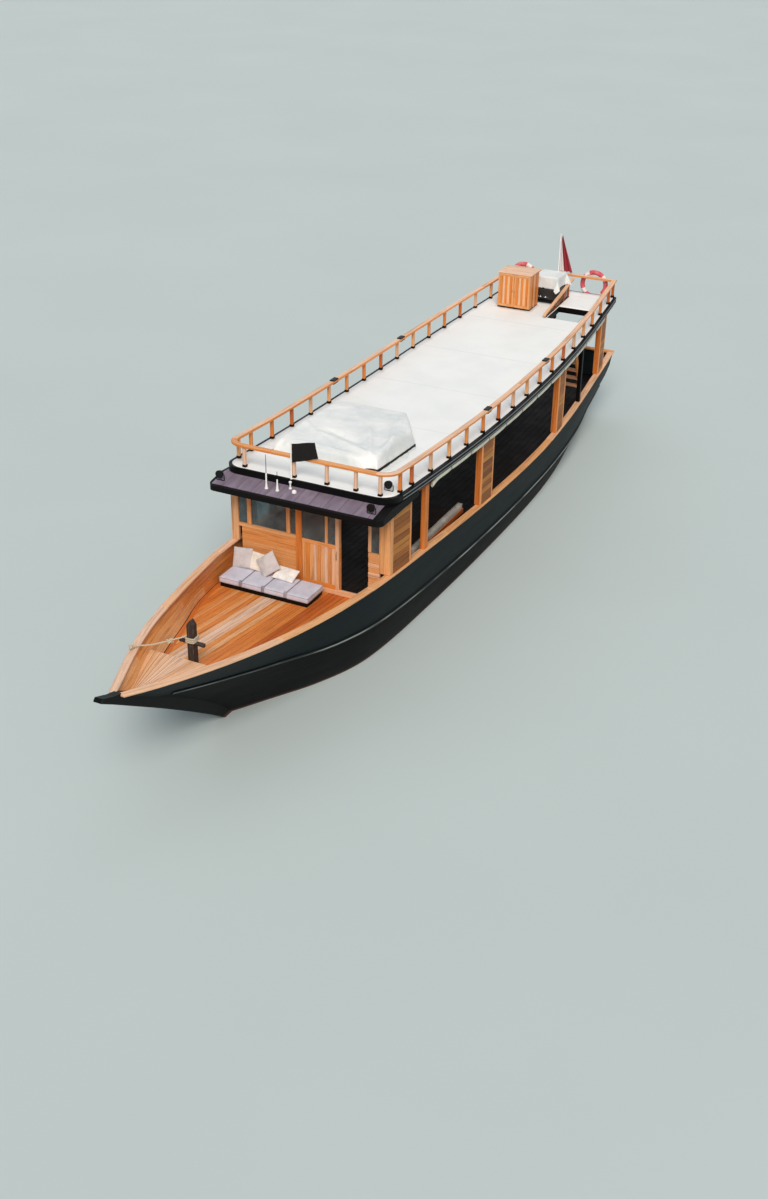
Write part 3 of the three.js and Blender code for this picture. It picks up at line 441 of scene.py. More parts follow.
def smooth_path(points, step):
    """A Catmull-Rom curve through points, about one step apart."""
    pts = [Vector(p) for p in points]
    pts = [2 * pts[0] - pts[1], *pts, 2 * pts[-1] - pts[-2]]
    out = []
    for a, b, c, d in zip(pts, pts[1:], pts[2:], pts[3:]):
        count = max(1, round((c - b).length / step))
        for k in range(count):
            t = k / count
            out.append(0.5 * (2 * b + (c - a) * t + (2 * a - 5 * b + 4 * c - d) * t * t
                              + (3 * b - a - 3 * c + d) * t ** 3))
    return out + [pts[-2]]


def path_length(path):
    return sum((b - a).length for a, b in zip(path, path[1:]))


def knot(name, centre, size, radius, finish):
    """A rope's overhand knot: a trefoil drawn tight."""
    path = []
    for a in round_angles(48):
        bend = (math.sin(a) + 2 * math.sin(2 * a), math.cos(a) - 2 * math.cos(2 * a), -math.sin(3 * a))
        path.append(Vector(centre) + size * Vector(bend) / 3)
    return tube(name, path, radius, 8, finish)


hold = BITT["half"] + ROPE_R + 0.002
rope_path = []
turn_steps = 16
for i in range(ROPE_TURNS * turn_steps + 1):
    a = -0.5 * math.pi + 2 * math.pi * i / turn_steps
    flat = hold / max(abs(math.cos(a)), abs(math.sin(a)))
    rx, ry = (min(flat, hold + 0.024) * f for f in (math.cos(a), math.sin(a)))
    rope_path.append(Vector((BITT["x"] + rx, BITT["y"] + ry, ROPE_FROM + ROPE_LAY * i / turn_steps)))
leaves = rope_path[-1]
sags = [leaves.lerp(ROPE_CAP, t) + Vector((0, 0, 0.02 - 0.05 * math.sin(math.pi * t))) for t in (0.4, 0.7)]
reach = [leaves + Vector((0.08, -0.012, 0.0)), *sags, ROPE_CAP + Vector((-0.02, 0.03, 0.035)),
         ROPE_CAP + Vector((0.05, -0.035, 0.035))]
TURNS_END = len(rope_path)
rope_path += smooth_path([leaves, *reach], 0.05)[1:]
rope = put("mooring_rope", tube("mooring_rope", rope_path, ROPE_R, 10, manila))
knots = [put(name, knot(name, centre, size, ROPE_R, manila)) for name, centre, size in (
    ("rope_hitch_bitt", rope_path[TURNS_END + 6] + Vector((0, 0, -0.01)), 0.055),
    ("rope_hitch_cap", rope_path[-1] + Vector((0, 0, 0.004)), 0.05))]
for piece in (rope, *knots):
    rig.slot(piece, "rope")
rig.cord(rope, exit=rope_path[0], length=path_length(rope_path), diameter=2 * ROPE_R, far_end="knot",
        stiffness="medium", lay="taut", path=rope_path, with_pieces=knots)

# Hull: carvel planks on sawn frames, drawn from the same stations as the part's own lines.
# The shell runs from the keel rabbet up to the cap, and turns inward under the deck beams.
# Columns: x, half breadth at the cap, cap, deck, rabbet and strake heights, fullness, roundness
STATIONS = (
    (-10.700, 1.262, 1.606, 1.010, 0.090, 0.790, 2.2, 1.50),
    (-9.500, 1.385, 1.540, 0.930, -0.060, 0.700, 2.3, 1.60),
    (-8.500, 1.470, 1.482, 0.870, -0.230, 0.635, 2.4, 1.70),
    (-7.500, 1.560, 1.420, 0.810, -0.600, 0.590, 2.5, 1.80),
    (-6.000, 1.662, 1.335, 0.740, -1.000, 0.550, 2.8, 1.80),
    (-4.000, 1.738, 1.278, 0.690, -1.150, 0.545, 3.1, 1.80),
    (-1.000, 1.766, 1.378, 0.740, -1.170, 0.592, 3.2, 1.80),
    (2.000, 1.722, 1.550, 0.880, -1.190, 0.712, 3.1, 1.80),
    (4.000, 1.672, 1.690, 1.060, -1.180, 0.870, 2.6, 1.60),
    (5.200, 1.525, 1.738, 1.190, -0.960, 0.980, 1.9, 1.25),
    (6.200, 1.340, 1.788, 1.310, -0.520, 1.085, 1.2, 1.05),
    (7.200, 1.110, 1.865, 1.440, 0.350, 1.220, 1.05, 1.00),
    (8.200, 0.790, 1.948, 1.590, 1.050, 1.400, 1.0, 1.00),
    (9.200, 0.380, 2.035, 1.780, 1.650, 1.640, 1.0, 1.00),
    (9.850, 0.085, 2.115, 2.085, 2.000, 1.950, 1.0, 1.00),
)
HALF, CAP, DECK, RABBET, STRAKE, FULL, ROUND = range(1, 8)
TRANSOM_X, TRANSOM_Z, RAKE = -10.560, 1.600, 0.47
BOW_END = 9.790
PLANK, DECK_PLANK, CAP_THICK = 0.055, 0.035, 0.045


def line_at(x, column):
    """The faired value of one column of the stations at x."""
    last = len(STATIONS) - 1
    at = min(max(x, STATIONS[0][0]), STATIONS[last][0])
    i = 0
    while i < last - 1 and at > STATIONS[i + 1][0]:
        i += 1

    def row(k):
        return STATIONS[min(max(k, 0), last)]
    span = row(i + 1)[0] - row(i)[0]
    slopes = [(row(k + 1)[column] - row(k - 1)[column]) / (row(k + 1)[0] - row(k - 1)[0]) for k in (i, i + 1)]
    t = (at - row(i)[0]) / span
    return ((2 * t ** 3 - 3 * t ** 2 + 1) * row(i)[column] + (t ** 3 - 2 * t ** 2 + t) * span * slopes[0]
            + (3 * t ** 2 - 2 * t ** 3) * row(i + 1)[column] + (t ** 3 - t ** 2) * span * slopes[1])


def breadth(x, z):
    """Half breadth of the planking's outside at a place along the boat and a height."""
    low, cap = line_at(x, RABBET), line_at(x, CAP)
    t = min(max((z - low) / (cap - low), 0), 1)
    return line_at(x, HALF) * (1 - (1 - t) ** line_at(x, FULL)) ** (1 / line_at(x, ROUND))


def spread(start, end, step):
    """Evenly spaced numbers from start to end, about one step apart."""
    count = max(1, round(abs(end - start) / step))
    return [start + (end - start) * i / count for i in range(count + 1)]


def loft(name, rings, finishes, finish_of=None, closed=True, flat_over=32):
    """A skin through rings of equal length, with lids. U is the length run, V the girth, in metres."""
    count = len(rings[0])
    verts = [Vector(p) for ring in rings for p in ring]
    girths = [[0.0] for _ in rings]
    for ring, girth in zip(rings, girths):
        for a, b in zip(ring, [*ring[1:], ring[0]]):
            girth.append(girth[-1] + (Vector(b) - Vector(a)).length)
    runs = [0.0]
    for a, b in zip(rings, rings[1:]):
        runs.append(runs[-1] + max((Vector(q) - Vector(p)).length for p, q in zip(a, b)))
    faces, coords, which = [], [], []
    for r in range(len(rings) - 1):
        for k in range(count if closed else count - 1):
            n = (k + 1) % count
            faces.append((r * count + k, r * count + n, (r + 1) * count + n, (r + 1) * count + k))
            coords += [(runs[r], girths[r][k]), (runs[r], girths[r][k + 1]),
                       (runs[r + 1], girths[r + 1][k + 1]), (runs[r + 1], girths[r + 1][k])]
            which.append(finish_of(r, k) if finish_of else 0)
    if closed:
        for base, flip in ((0, True), ((len(rings) - 1) * count, False)):
            lid = tuple(range(base, base + count))
            faces.append(lid[::-1] if flip else lid)
            coords += [(verts[i].y, verts[i].z) for i in faces[-1]]
            which.append(0)
    mesh = built(name, verts, faces, *finishes, coords=coords)
    mesh.polygons.foreach_set("material_index", which)
    tidy(mesh)
    mesh.shade_smooth()
    mesh.set_sharp_from_angle(angle=math.radians(flat_over))
    return mesh


def tidy(mesh):
    """Merges doubled points, drops empty faces and turns every face outward."""
    work = bmesh.new()
    work.from_mesh(mesh)
    bmesh.ops.remove_doubles(work, verts=work.verts, dist=1e-5)
    bmesh.ops.dissolve_degenerate(work, edges=work.edges, dist=1e-6)
    bmesh.ops.recalc_face_normals(work, faces=work.faces)
    work.to_mesh(mesh)
    work.free()


def hull_paint(name, code, worn, roughness, planks, seams="girth"):
    """Satin enamel brushed on planks: seams show as fine lines, with scuffs and salt streaks."""
    made, tree, shader = material(name, roughness=roughness, Specular_IOR_Level=0.12)
    where = own_place(tree)
    across = split(tree, unwrapped(tree))["Y"] if seams == "girth" else split(tree, where)["Z"]
    groove = rescale(tree, calc(tree, "PINGPONG", across, planks), from_max=0.006)
    streaks = pattern(tree, where, 1.0, 6.0, stretch=(0.9, 0.9, 5.0), Roughness=0.7)
    scuffs = pattern(tree, where, 7.0, 8.0, Roughness=0.75)
    seamed = two_tone(tree, groove, tint("0a0e0f"), ramp(tree, streaks, ((0.3, code), (0.75, worn))))
    marked = two_tone(tree, rescale(tree, scuffs, from_min=0.68, from_max=0.74, to_max=0.25), seamed,
                      tint("8f9a98"))
    paint(tree, shader, marked, rescale(tree, streaks, to_min=roughness - 0.08, to_max=roughness + 0.18))
    bump(tree, shader, calc(tree, "MULTIPLY_ADD", streaks, 0.35, groove), 0.003, 0.6)
    return made


# Marine enamel: a blue-grey band above the rub strake, near black below it as painted shade under the hull's turn,
# both over 160 mm planks
topside_enamel = hull_paint("topside_enamel", "0d1619", "172226", 0.50, 0.16)
lower_enamel = hull_paint("lower_enamel", "020304", "060808", 0.55, 0.16)

# Maroon copper paint: matt, chalky and mottled, with a weedy edge near the waterline
antifouling = plain_finish("maroon_antifouling", 2.5, 7.0, (0.004, 0.5), grain=0.7, roughness=0.85,
                           stops=((0.3, "3a1f1f"), (0.6, "552c2a"), (0.8, "4c4038")))
WATERLINE_TOP = 0.06


def hull_ring(x, aft_blend):
    """One closed section of the shell, port gunwale to starboard gunwale and back under the deck."""
    low, cap, deck, strake = (line_at(x, c) for c in (RABBET, CAP, DECK, STRAKE))
    top = cap - CAP_THICK - 0.0003
    mid = min(max(strake, low + 0.02), top - 0.02)
    line = min(max(WATERLINE_TOP, low + 0.01), mid - 0.005)
    heights = [low + (line - low) * (k / 9) ** 1.35 for k in range(9)]
    heights += [line + (mid - line) * k / 6 for k in range(6)]
    heights += [mid + (top - mid) * k / 7 for k in range(8)]

    def at(z, inset):
        shift = aft_blend * -(z - TRANSOM_Z) * RAKE
        return x + shift, max(breadth(x + shift, z) - inset, 0.002), z
    outside = [at(z, 0) for z in heights]
    bed = deck - DECK_PLANK - 0.002
    inside = [at(top, 0.018), at(max((top + bed) / 2, low + 0.01), 0.018), at(max(bed, low + 0.008), 0.018)]
    half = outside + inside
    mirror = [(a, -b, c) for a, b, c in half]
    return half[::-1] + mirror


# The sections stand closer in the stern, where they lean with the transom, and in the bow
STERN_X, BOW_X, HULL_FORE = -9.3, 3.6, 9.70
hull_xs = [*spread(TRANSOM_X + 0.052, STERN_X, 0.12), *spread(STERN_X, BOW_X, 0.3)[1:],
           *spread(BOW_X, HULL_FORE, 0.14)[1:]]
hull_rings = []
for x in hull_xs:
    blend = min(max((STERN_X - x) / (STERN_X - TRANSOM_X), 0), 1) ** 1.5
    hull_rings.append(hull_ring(x, blend))
SIDE_POINTS = len(hull_rings[0]) // 2
WATER_ROW, STRAKE_ROW = 9, 15


def hull_finish(_, k):
    """Maroon under the waterline, near black up to the strake as painted shade under the hull's turn, blue-grey above
    it.
    """
    row = SIDE_POINTS - 1 - k if k < SIDE_POINTS else k - SIDE_POINTS + 1
    row = min(row, SIDE_POINTS - 1) - 0.5
    if row > 21.9 or row < 0:
        return 1
    return 2 if row < WATER_ROW else 1 if row < STRAKE_ROW else 0


hull_skin = loft("hull_shell", hull_rings, (topside_enamel, lower_enamel, antifouling), hull_finish)
hull = put("hull_shell", hull_skin)
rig.replaces(hull, "hull_planking", "bulwark_port", "bulwark_starboard")
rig.slot(hull, "hull_paint")

# Stem, keel and stern post: one line of sawn timber in the side view, 160 mm thick, its fore edge
# faired by adze. It takes the planks in its rabbet; black above the water, antifouling below.
STEM_OUTER = ((4.3, -1.36), (5.3, -1.16), (6.25, -0.59), (6.96, 0.03), (8.43, 1.04), (9.963, 2.02))
STEM_HEAD = ((10.27, 2.205), (10.215, 2.262), (9.93, 2.15), (9.70, 2.09))
STEM_INNER = ((8.43, 1.33), (7.2, 0.5), (6.2, -0.39), (5.2, -0.83), (4.0, -1.05), (-4.0, -1.02),
              (-6.0, -0.87), (-7.5, -0.47))
STERN_POST = ((-8.3, -0.18), (-8.3, -1.26), (-9.35, -1.26), (-9.35, -1.36))
BACKBONE_HALF = 0.08


def bevelled(piece, width, segments=2):
    """Rounds a piece's sharp edges, and keeps the rounding live."""
    soften = piece.modifiers.new("edges", "BEVEL")
    soften.width, soften.segments = width, segments
    soften.limit_method, soften.angle_limit = "ANGLE", math.radians(35)
    soften.use_clamp_overlap = True
    return piece


def side_plate(name, outline, half, finishes, finish_of):
    """An outline in the side view (x, z) made twice half thick, and cut along the waterline."""
    count = len(outline)
    verts = [(x, y, z) for y in (-half, half) for x, z in outline]
    faces = [tuple(range(count)), tuple(range(count, 2 * count))[::-1]]
    faces += [(k, (k + 1) % count, count + (k + 1) % count, count + k) for k in range(count)]
    mesh = built(name, verts, faces, *finishes)
    work = bmesh.new()
    work.from_mesh(mesh)
    bmesh.ops.recalc_face_normals(work, faces=work.faces)
    cut = [*work.verts, *work.edges, *work.faces]
    bmesh.ops.bisect_plane(work, geom=cut, plane_co=(0, 0, WATERLINE_TOP), plane_no=(0, 0, 1))
    for face in work.faces:
        face.material_index = finish_of(face.calc_center_median())
    work.to_mesh(mesh)
    work.free()
    return mesh


def smooth_line(points):
    """The same smooth curve in the side view."""
    return [(p.x, p.z) for p in smooth_path([(x, 0, z) for x, z in points], 0.12)]


stem_paint = hull_paint("stem_enamel", "07090a", "121516", 0.42, 40.0, seams="height")
stem_line = [*smooth_line(STEM_OUTER), *STEM_HEAD, *smooth_line(STEM_INNER), *STERN_POST]
stem = put("stem_and_keel", side_plate("stem_and_keel", stem_line, BACKBONE_HALF, (stem_paint, antifouling),
                                       lambda c: 1 if c.z < WATERLINE_TOP else 0))
bevelled(stem, 0.012)
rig.replaces(stem, "backbone")
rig.slot(stem, "hull_paint")


def refinish(name, finish):
    """Gives a CAD node that already has the right shape its real finish."""
    shown = bpy.data.objects[name].data.materials
    shown.clear()
    shown.append(finish)


# Transom: planks fastened flat across the raked stern, in the same enamel as the topsides.
transom_enamel = hull_paint("transom_enamel", "0d1619", "172226", 0.50, 0.16, seams="height")
refinish("transom", transom_enamel)

# Rub strakes: a half-round hardwood batten along each side, painted black. Pale broken streaks along its crown are
# wood rubbed through by the quay and a painted highlight along it.
# Bolted through every second frame.
STRAKE_DEEP, STRAKE_PROUD, STRAKE_AFT, STRAKE_FORE = 0.07, 0.038, -10.085, 8.6
STRAKE_ARC = 5
SIDES = ((1, "port"), (-1, "starboard"))


def worn_enamel_with_painted_highlight():
    """Black enamel with pale broken streaks along the crown of a batten: wood worn through, and a painted highlight.
    """
    made, tree, shader = material("rubbed_black_enamel", roughness=0.5)
    skin = unwrapped(tree)
    girth = split(tree, skin)["Y"]
    breaks = pattern(tree, skin, 1.0, 5.0, stretch=(0.8, 14.0, 1.0))
    crown = calc(tree, "MULTIPLY", rescale(tree, girth, from_min=0.028, from_max=0.046),
                 rescale(tree, girth, from_min=0.062, from_max=0.050))
    bare = calc(tree, "MULTIPLY", crown, rescale(tree, breaks, from_min=0.40, from_max=0.55))
    paint(tree, shader, two_tone(tree, bare, tint("101416"), tint("a9b0ac")))
    bump(tree, shader, breaks, 0.002, 0.5)
    return made


def strake_ring(x, side):
    """A half-round section whose flat back lies on the planks."""
    mid = line_at(x, STRAKE)
    ring = []
    for k in range(STRAKE_ARC + 1):
        a = math.pi * (k / STRAKE_ARC - 0.5)
        z = mid - STRAKE_DEEP / 2 * math.sin(a)
        ring.append((x, side * (breadth(x, z) + 0.002 + (STRAKE_PROUD - 0.002) * math.cos(a) ** 0.6), z))
    return ring


worn_and_highlit = worn_enamel_with_painted_highlight()
for side, name in SIDES:
    rings = [strake_ring(x, side) for x in spread(STRAKE_AFT, STRAKE_FORE, 0.3)]
    strake = f"rub_strake_{name}"
    batten = put(f"{strake}_batten", loft(f"{strake}_batten", rings, (worn_and_highlit,), flat_over=50))
    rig.replaces(batten, strake)
    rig.slot(batten, "hull_paint")

# Cap rail: boards 150 mm wide laid flat on the frame heads, butted about every 3 m and rounded on
# top. Oiled, and sun-bleached pink towards the bow.
CAP_OUT, CAP_WIDE = 0.028, 0.15
BOARD_GAP = 0.003


def flat_section(x, y0, y1, low, high):
    """A board's four corners in a section across the boat."""
    return [(x, y0, low), (x, y1, low), (x, y1, high), (x, y0, high)]


class Boards:
    """The boards of one piece. Each has its own run of sections, tone, and UVs along its length."""

    def __init__(self, name, finish, seed):
        self.name, self.finish, self.chance = name, finish, random.Random(seed)
        self.verts, self.faces, self.coords, self.tones = [], [], [], []

    def add(self, rings, tone):
        """Adds a board through its sections, with one tone or with a tone for each of its sides."""
        base, count = len(self.verts), len(rings[0])
        sides = tone if isinstance(tone, tuple) else (tone,) * count
        self.verts += [Vector(p) for ring in rings for p in ring]
        along = 0.0
        start = self.chance.uniform(0, 9)
        girth = [0.0]
        for a, b in zip(rings[0], [*rings[0][1:], rings[0][0]]):
            girth.append(girth[-1] + (Vector(b) - Vector(a)).length)
        for r in range(len(rings) - 1):
            ahead = along + (Vector(rings[r + 1][0]) - Vector(rings[r][0])).length
            for k in range(count):
                n = (k + 1) % count
                self.faces.append([base + r * count + k, base + r * count + n,
                                   base + (r + 1) * count + n, base + (r + 1) * count + k])
                self.coords += [(start + along, girth[k]), (start + along, girth[k + 1]),
                                (start + ahead, girth[k + 1]), (start + ahead, girth[k])]
                self.tones.append(sides[k])
            along = ahead
        last = base + (len(rings) - 1) * count
        for lid in (range(base + count - 1, base - 1, -1), range(last, last + count)):
            self.faces.append(list(lid))
            self.coords += [(start, 0.02 * k) for k in range(count)]
            self.tones.append(sides[0])

    def box(self, low, high, along, tone):
        """Adds a straight board between two corners, with its length along axis 0, 1 or 2."""
        a, b = (along + 1) % 3, (along + 2) % 3
        rings = []
        for end in (low[along], high[along]):
            ring = []
            for p, q in ((low[a], low[b]), (high[a], low[b]), (high[a], high[b]), (low[a], high[b])):
                corner = [0.0, 0.0, 0.0]
                corner[along], corner[a], corner[b] = end, p, q
                ring.append(corner)
            rings.append(ring)
        self.add(rings, tone)

    def mesh(self):
        made = built(self.name, self.verts, self.faces, self.finish, coords=self.coords)
        made.attributes.new("tone", "FLOAT", "FACE").data.foreach_set("value", self.tones)
        work = bmesh.new()
        work.from_mesh(made)
        bmesh.ops.recalc_face_normals(work, faces=work.faces)
        work.to_mesh(made)
        work.free()
        return made

    def piece(self, *nodes, slot="teak", body="root", edge=0.004):
        """Shows the boards as one piece that stands for the CAD nodes."""
        shown = bevelled(put(self.name, self.mesh(), body), edge, 1)
        if nodes:
            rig.replaces(shown, *nodes)
        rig.slot(shown, slot)
        return shown


def timber(name, stops, roughness, coat, weather="9b8f84", weathered=0.25):
    """Hardwood boards: a tone for each board, long grain, open pores, and greyed, scuffed patches."""
    made, tree, shader = material(name, roughness=roughness, Coat_Weight=coat, Coat_Roughness=0.3,
                                  Specular_IOR_Level=0.15)
    skin = unwrapped(tree)
    tone = node(tree, "ShaderNodeAttribute", attribute_name="tone").outputs["Fac"]
    board = calc(tree, "MULTIPLY", tone, 61.0)
    figure = pattern(tree, skin, 1.0, 4.0, stretch=(1.1, 26.0, 1.0), Roughness=0.6, Distortion=0.6, W=board)
    pores = pattern(tree, skin, 1.0, 2.0, stretch=(14.0, 320.0, 1.0), W=board)
    scuffs = pattern(tree, own_place(tree), 3.2, 7.0, Roughness=0.72)
    shade = ramp(tree, figure, ((0.28, "bdb4ac"), (0.5, "f1eeeb"), (0.72, "ffffff")))
    dots = ramp(tree, pores, ((0.35, "b8b0a8"), (0.6, "ffffff")))
    grained = two_tone(tree, 1.0, ramp(tree, tone, stops), shade, blend_type="MULTIPLY")
    pored = two_tone(tree, 0.35, grained, dots, blend_type="MULTIPLY")
    greyed = rescale(tree, scuffs, from_min=0.5, from_max=0.78, to_max=weathered)
    worn = rescale(tree, scuffs, from_min=0.35, from_max=0.75, to_min=roughness - 0.08,
                   to_max=roughness + 0.2)
    paint(tree, shader, two_tone(tree, greyed, pored, tint(weather)), worn)
    bump(tree, shader, calc(tree, "MULTIPLY_ADD", pores, 0.4, figure), 0.0012, 0.6)
    return made


# Oiled hardwood: pale pinkish boards at tone 0, through honey and orange, to red-brown at tone 1
TONES = ((0.0, "fbdac4"), (0.25, "f7bb84"), (0.5, "f29a4c"), (0.75, "d87434"), (1.0, "9e4a24"))
oiled = timber("oiled_hardwood", TONES, 0.52, 0.05, weathered=0.08)


def lengths(start, end, usual, chance):
    """Cuts a run into board lengths around the usual one."""
    cuts, at = [start], start
    while end - at > 1.5 * usual:
        at += usual * chance.uniform(0.8, 1.2)
        cuts.append(at)
    return list(zip(cuts, [*cuts[1:], end]))


cap = Boards("cap_rail_boards", oiled, seed=3)
for side in (1, -1):
    for a, b in lengths(TRANSOM_X + 0.02, BOW_END, 3.0, cap.chance):
        sections = []
        for x in spread(a, b - BOARD_GAP, 0.3):
            top, outer = line_at(x, CAP), line_at(x, HALF) + CAP_OUT
            inner = max(outer - CAP_WIDE, 0.003)
            sections.append([(x, side * outer, top - CAP_THICK), (x, side * outer, top),
                             (x, side * inner, top), (x, side * inner, top - CAP_THICK)])
        bleached = 0.10 if side < 0 or a > 6.5 else 0.20
        cap.add(sections, bleached + cap.chance.uniform(-0.06, 0.08))
stern_half, stern_cap = line_at(TRANSOM_X, HALF) + CAP_OUT, line_at(TRANSOM_X, CAP)
cap.box((TRANSOM_X - 0.02, -stern_half, stern_cap - CAP_THICK + 0.002),
        (TRANSOM_X + 0.13, stern_half, stern_cap + 0.002), 1, 0.4)
cap.piece("cap_rail", slot="pale_timber", edge=0.009)

# Bulwark lining: varnished boards along the inside of the frames, from the deck up to the cap.
LINING, LINING_AFT, LINING_FORE = 0.035, -10.15, 9.62
LINING_ROWS = 3
varnished = timber("varnished_hardwood", TONES, 0.42, 0.07, weathered=0.05)
lining = Boards("bulwark_lining", varnished, seed=11)
for side in (1, -1):
    for row in range(LINING_ROWS):
        for a, b in lengths(LINING_AFT, LINING_FORE, 2.7, lining.chance):
            sections = []
            for x in spread(a, b - BOARD_GAP, 0.3):
                low, high = line_at(x, DECK) + 0.004, line_at(x, CAP) - CAP_THICK - 0.002
                z0 = low + (high - low) * row / LINING_ROWS + 0.003
                z1 = low + (high - low) * (row + 1) / LINING_ROWS - 0.003
                ys = [breadth(x, z) - PLANK for z in (z0, z1)]
                sections.append([(x, side * max(ys[0], 0.02), z0), (x, side * max(ys[1], 0.02), z1),
                                 (x, side * (ys[1] + LINING), z1), (x, side * (ys[0] + LINING), z0)])
            lining.add(sections, 0.34 + lining.chance.uniform(-0.16, 0.14))
lining.piece(slot="teak", edge=0.003)

# Decks: planks laid fore and aft on the beams with dark caulked seams. The foredeck's boards come
# from several logs, so they run from bleached pink amidships to red-brown, and end under a thin
# margin board; the bow's are a fan.
WALL_X = 3.6
SEAM_WIDE, MARGIN = 0.007, 0.085
FOREDECK_FORE, FOREDECK_SIDE, FOREDECK_PLANK, FOREDECK_PLANKS = 7.94, -1.65, 0.11, 30
SOLE_AFT, SOLE_SIDE, SOLE_PLANK, SOLE_PLANKS = -10.12, -1.82, 0.14, 26
# Columns: the y that a group of foredeck boards ends at, its tone
DECK_TONES = ((-1.25, 0.60), (-0.92, 0.56), (-0.62, 0.44), (-0.32, 0.10), (-0.10, 0.36), (0.34, 0.66),
              (0.62, 0.74), (0.95, 0.60), (1.2, 0.44), (2.0, 0.40))


def deck_edge(x, z):
    return breadth(x, z) - PLANK - 0.004


def plank_run(boards, y0, y1, a, b, tone):
    """One deck plank between two places, shaved where it meets the bulwark."""
    sections = []
    for x in spread(a, b - BOARD_GAP, 0.25):
        z = line_at(x, DECK)
        edge = deck_edge(x, z)
        p, q = (min(max(y, -edge), edge) for y in (y0, y1))
        if q - p > 0.006:
            sections.append(flat_section(x, p, q, z - DECK_PLANK, z))
        elif sections:
            break
    if len(sections) > 1:
        boards.add(sections, tone)


foredeck = Boards("foredeck_planks", oiled, seed=21)
for k in range(FOREDECK_PLANKS):
    y0 = FOREDECK_SIDE + FOREDECK_PLANK * k
    tone = next(t for end, t in DECK_TONES if y0 < end)
    for a, b in lengths(WALL_X + 0.005, FOREDECK_FORE, 3.4, foredeck.chance):
        plank_run(foredeck, y0, y0 + FOREDECK_PLANK - SEAM_WIDE, a, b,
                  tone + foredeck.chance.uniform(-0.16, 0.12))
for side in (1, -1):
    for a, b in lengths(WALL_X + 0.005, FOREDECK_FORE, 3.0, foredeck.chance):
        sections = []
        for x in spread(a, b - BOARD_GAP, 0.15):
            edge, z = deck_edge(x, line_at(x, DECK)), line_at(x, DECK)
            sections.append(flat_section(x, side * (edge - MARGIN), side * edge, z - 0.004, z + 0.005))
        foredeck.add(sections, 0.66 + foredeck.chance.uniform(-0.1, 0.1))
foredeck.piece("foredeck", edge=0.002)

# Under the sun deck the boards are unoiled and grey-brown; their near black is painted shade from the sun deck over
# them
PAINTED_SHADE_TONES = ((0.0, "32241a"), (0.5, "211811"), (1.0, "140e0a"))
painted_shade_timber = timber("dark_worn_hardwood", PAINTED_SHADE_TONES, 0.65, 0.05, weather="241e19", weathered=0.2)
sole = Boards("sole_planks", painted_shade_timber, seed=22)
for k in range(SOLE_PLANKS):
    y0 = SOLE_SIDE + SOLE_PLANK * k
    for a, b in lengths(SOLE_AFT, WALL_X - 0.005, 3.8, sole.chance):
        plank_run(sole, y0, y0 + SOLE_PLANK - SEAM_WIDE, a, b, 0.74 + sole.chance.uniform(-0.12, 0.12))
sole.piece("main_sole", edge=0.002)

FOREPEAK_AFT, FOREPEAK_FORE, FOREPEAK_BOARDS, FOREPEAK_DROP = 7.95, 9.68, 12, 0.19
forepeak = Boards("forepeak_planks", oiled, seed=23)
for k in range(FOREPEAK_BOARDS):
    sections = []
    for x in spread(FOREPEAK_AFT, FOREPEAK_FORE, 0.15):
        z = line_at(x, CAP) - FOREPEAK_DROP
        edge = max(deck_edge(x, z), 0.03)
        p, q = (edge * (2 * f / FOREPEAK_BOARDS - 1) for f in (k, k + 1))
        seam = min(SEAM_WIDE / 2, (q - p) / 6)
        sections.append(flat_section(x, p + seam, q - seam, z - DECK_PLANK, z))
    forepeak.add(sections, 0.12 + forepeak.chance.uniform(-0.08, 0.12))
step_top = line_at(FOREPEAK_AFT, CAP) - FOREPEAK_DROP - DECK_PLANK - 0.003
step_foot = line_at(FOREPEAK_AFT, DECK) + 0.003
step_half = deck_edge(FOREPEAK_AFT, step_foot)
forepeak.box((FOREPEAK_AFT + 0.004, -step_half, step_foot), (FOREPEAK_AFT + 0.03, step_half, step_top), 1,
             0.35)
forepeak.piece("forepeak_deck", slot="pale_timber", edge=0.002)

# Mooring bitt: a squared log through the deck with a pointed head and a cross-bar, its paint long
# gone and the wood black with wet and rope grease.
BITT_HEAD, BITT_TIP = 0.775, 0.865
BITT_BAR_Z, BITT_BAR_REACH, BITT_BAR_R = 0.43, 0.24, 0.038

# Old bare hardwood: nearly black where wet, silver on its high grain, split along its length
log = plain_finish("weathered_log", 1.0, 6.0, (0.006,), stretch=(60.0, 60.0, 4.0), grain=0.7,
                   roughness=0.82, stops=((0.3, "17120f"), (0.55, "3c3029"), (0.8, "84776a")))
half = BITT["half"]
post = [(-half, 0), (half, 0), (half, BITT_HEAD), (0, BITT_TIP), (-half, BITT_HEAD)]
verts = [(BITT["x"] + x, BITT["y"] + y, BITT["foot"] + z) for x in (-half, half) for y, z in post]
faces = [(0, 1, 2, 3, 4), (9, 8, 7, 6, 5)] + [(k, (k + 1) % 5, 5 + (k + 1) % 5, 5 + k) for k in range(5)]
bitt_mesh = built("bitt_post", verts, faces, log)
tidy(bitt_mesh)
bitt = bevelled(put("bitt_post", bitt_mesh), 0.012)
bar_z = BITT["foot"] + BITT_BAR_Z
bitt_bar = put("bitt_bar", tube("bitt_bar", [(BITT["x"], BITT["y"] + t * BITT_BAR_REACH, bar_z)
               for t in (-1, -0.97, 0, 0.97, 1)], [0.03, BITT_BAR_R, BITT_BAR_R, BITT_BAR_R, 0.03], 16, log))
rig.replaces(bitt, "mooring_bitt")
for piece in (bitt, bitt_bar):
    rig.slot(piece, "dark_timber")

# Front of the house: teak boards on a light frame under one header. Wide boards run across below
# the windows to starboard; small ones step up beside the doorway to port.
WALL_FACE = 3.66
WALL_TOP, HEAD, SILL = 2.93, 2.80, 2.06
WALL_HALF, WALL_LOW_HALF, WALL_FOOT = 1.69, 1.47, 1.04
DOOR_Y0, DOOR_Y1 = 0.65, 1.23
TRACK_X1, TRACK_Y0, TRACK_Y1, TRACK_TOP = 3.726, -0.28, 1.30, 1.13
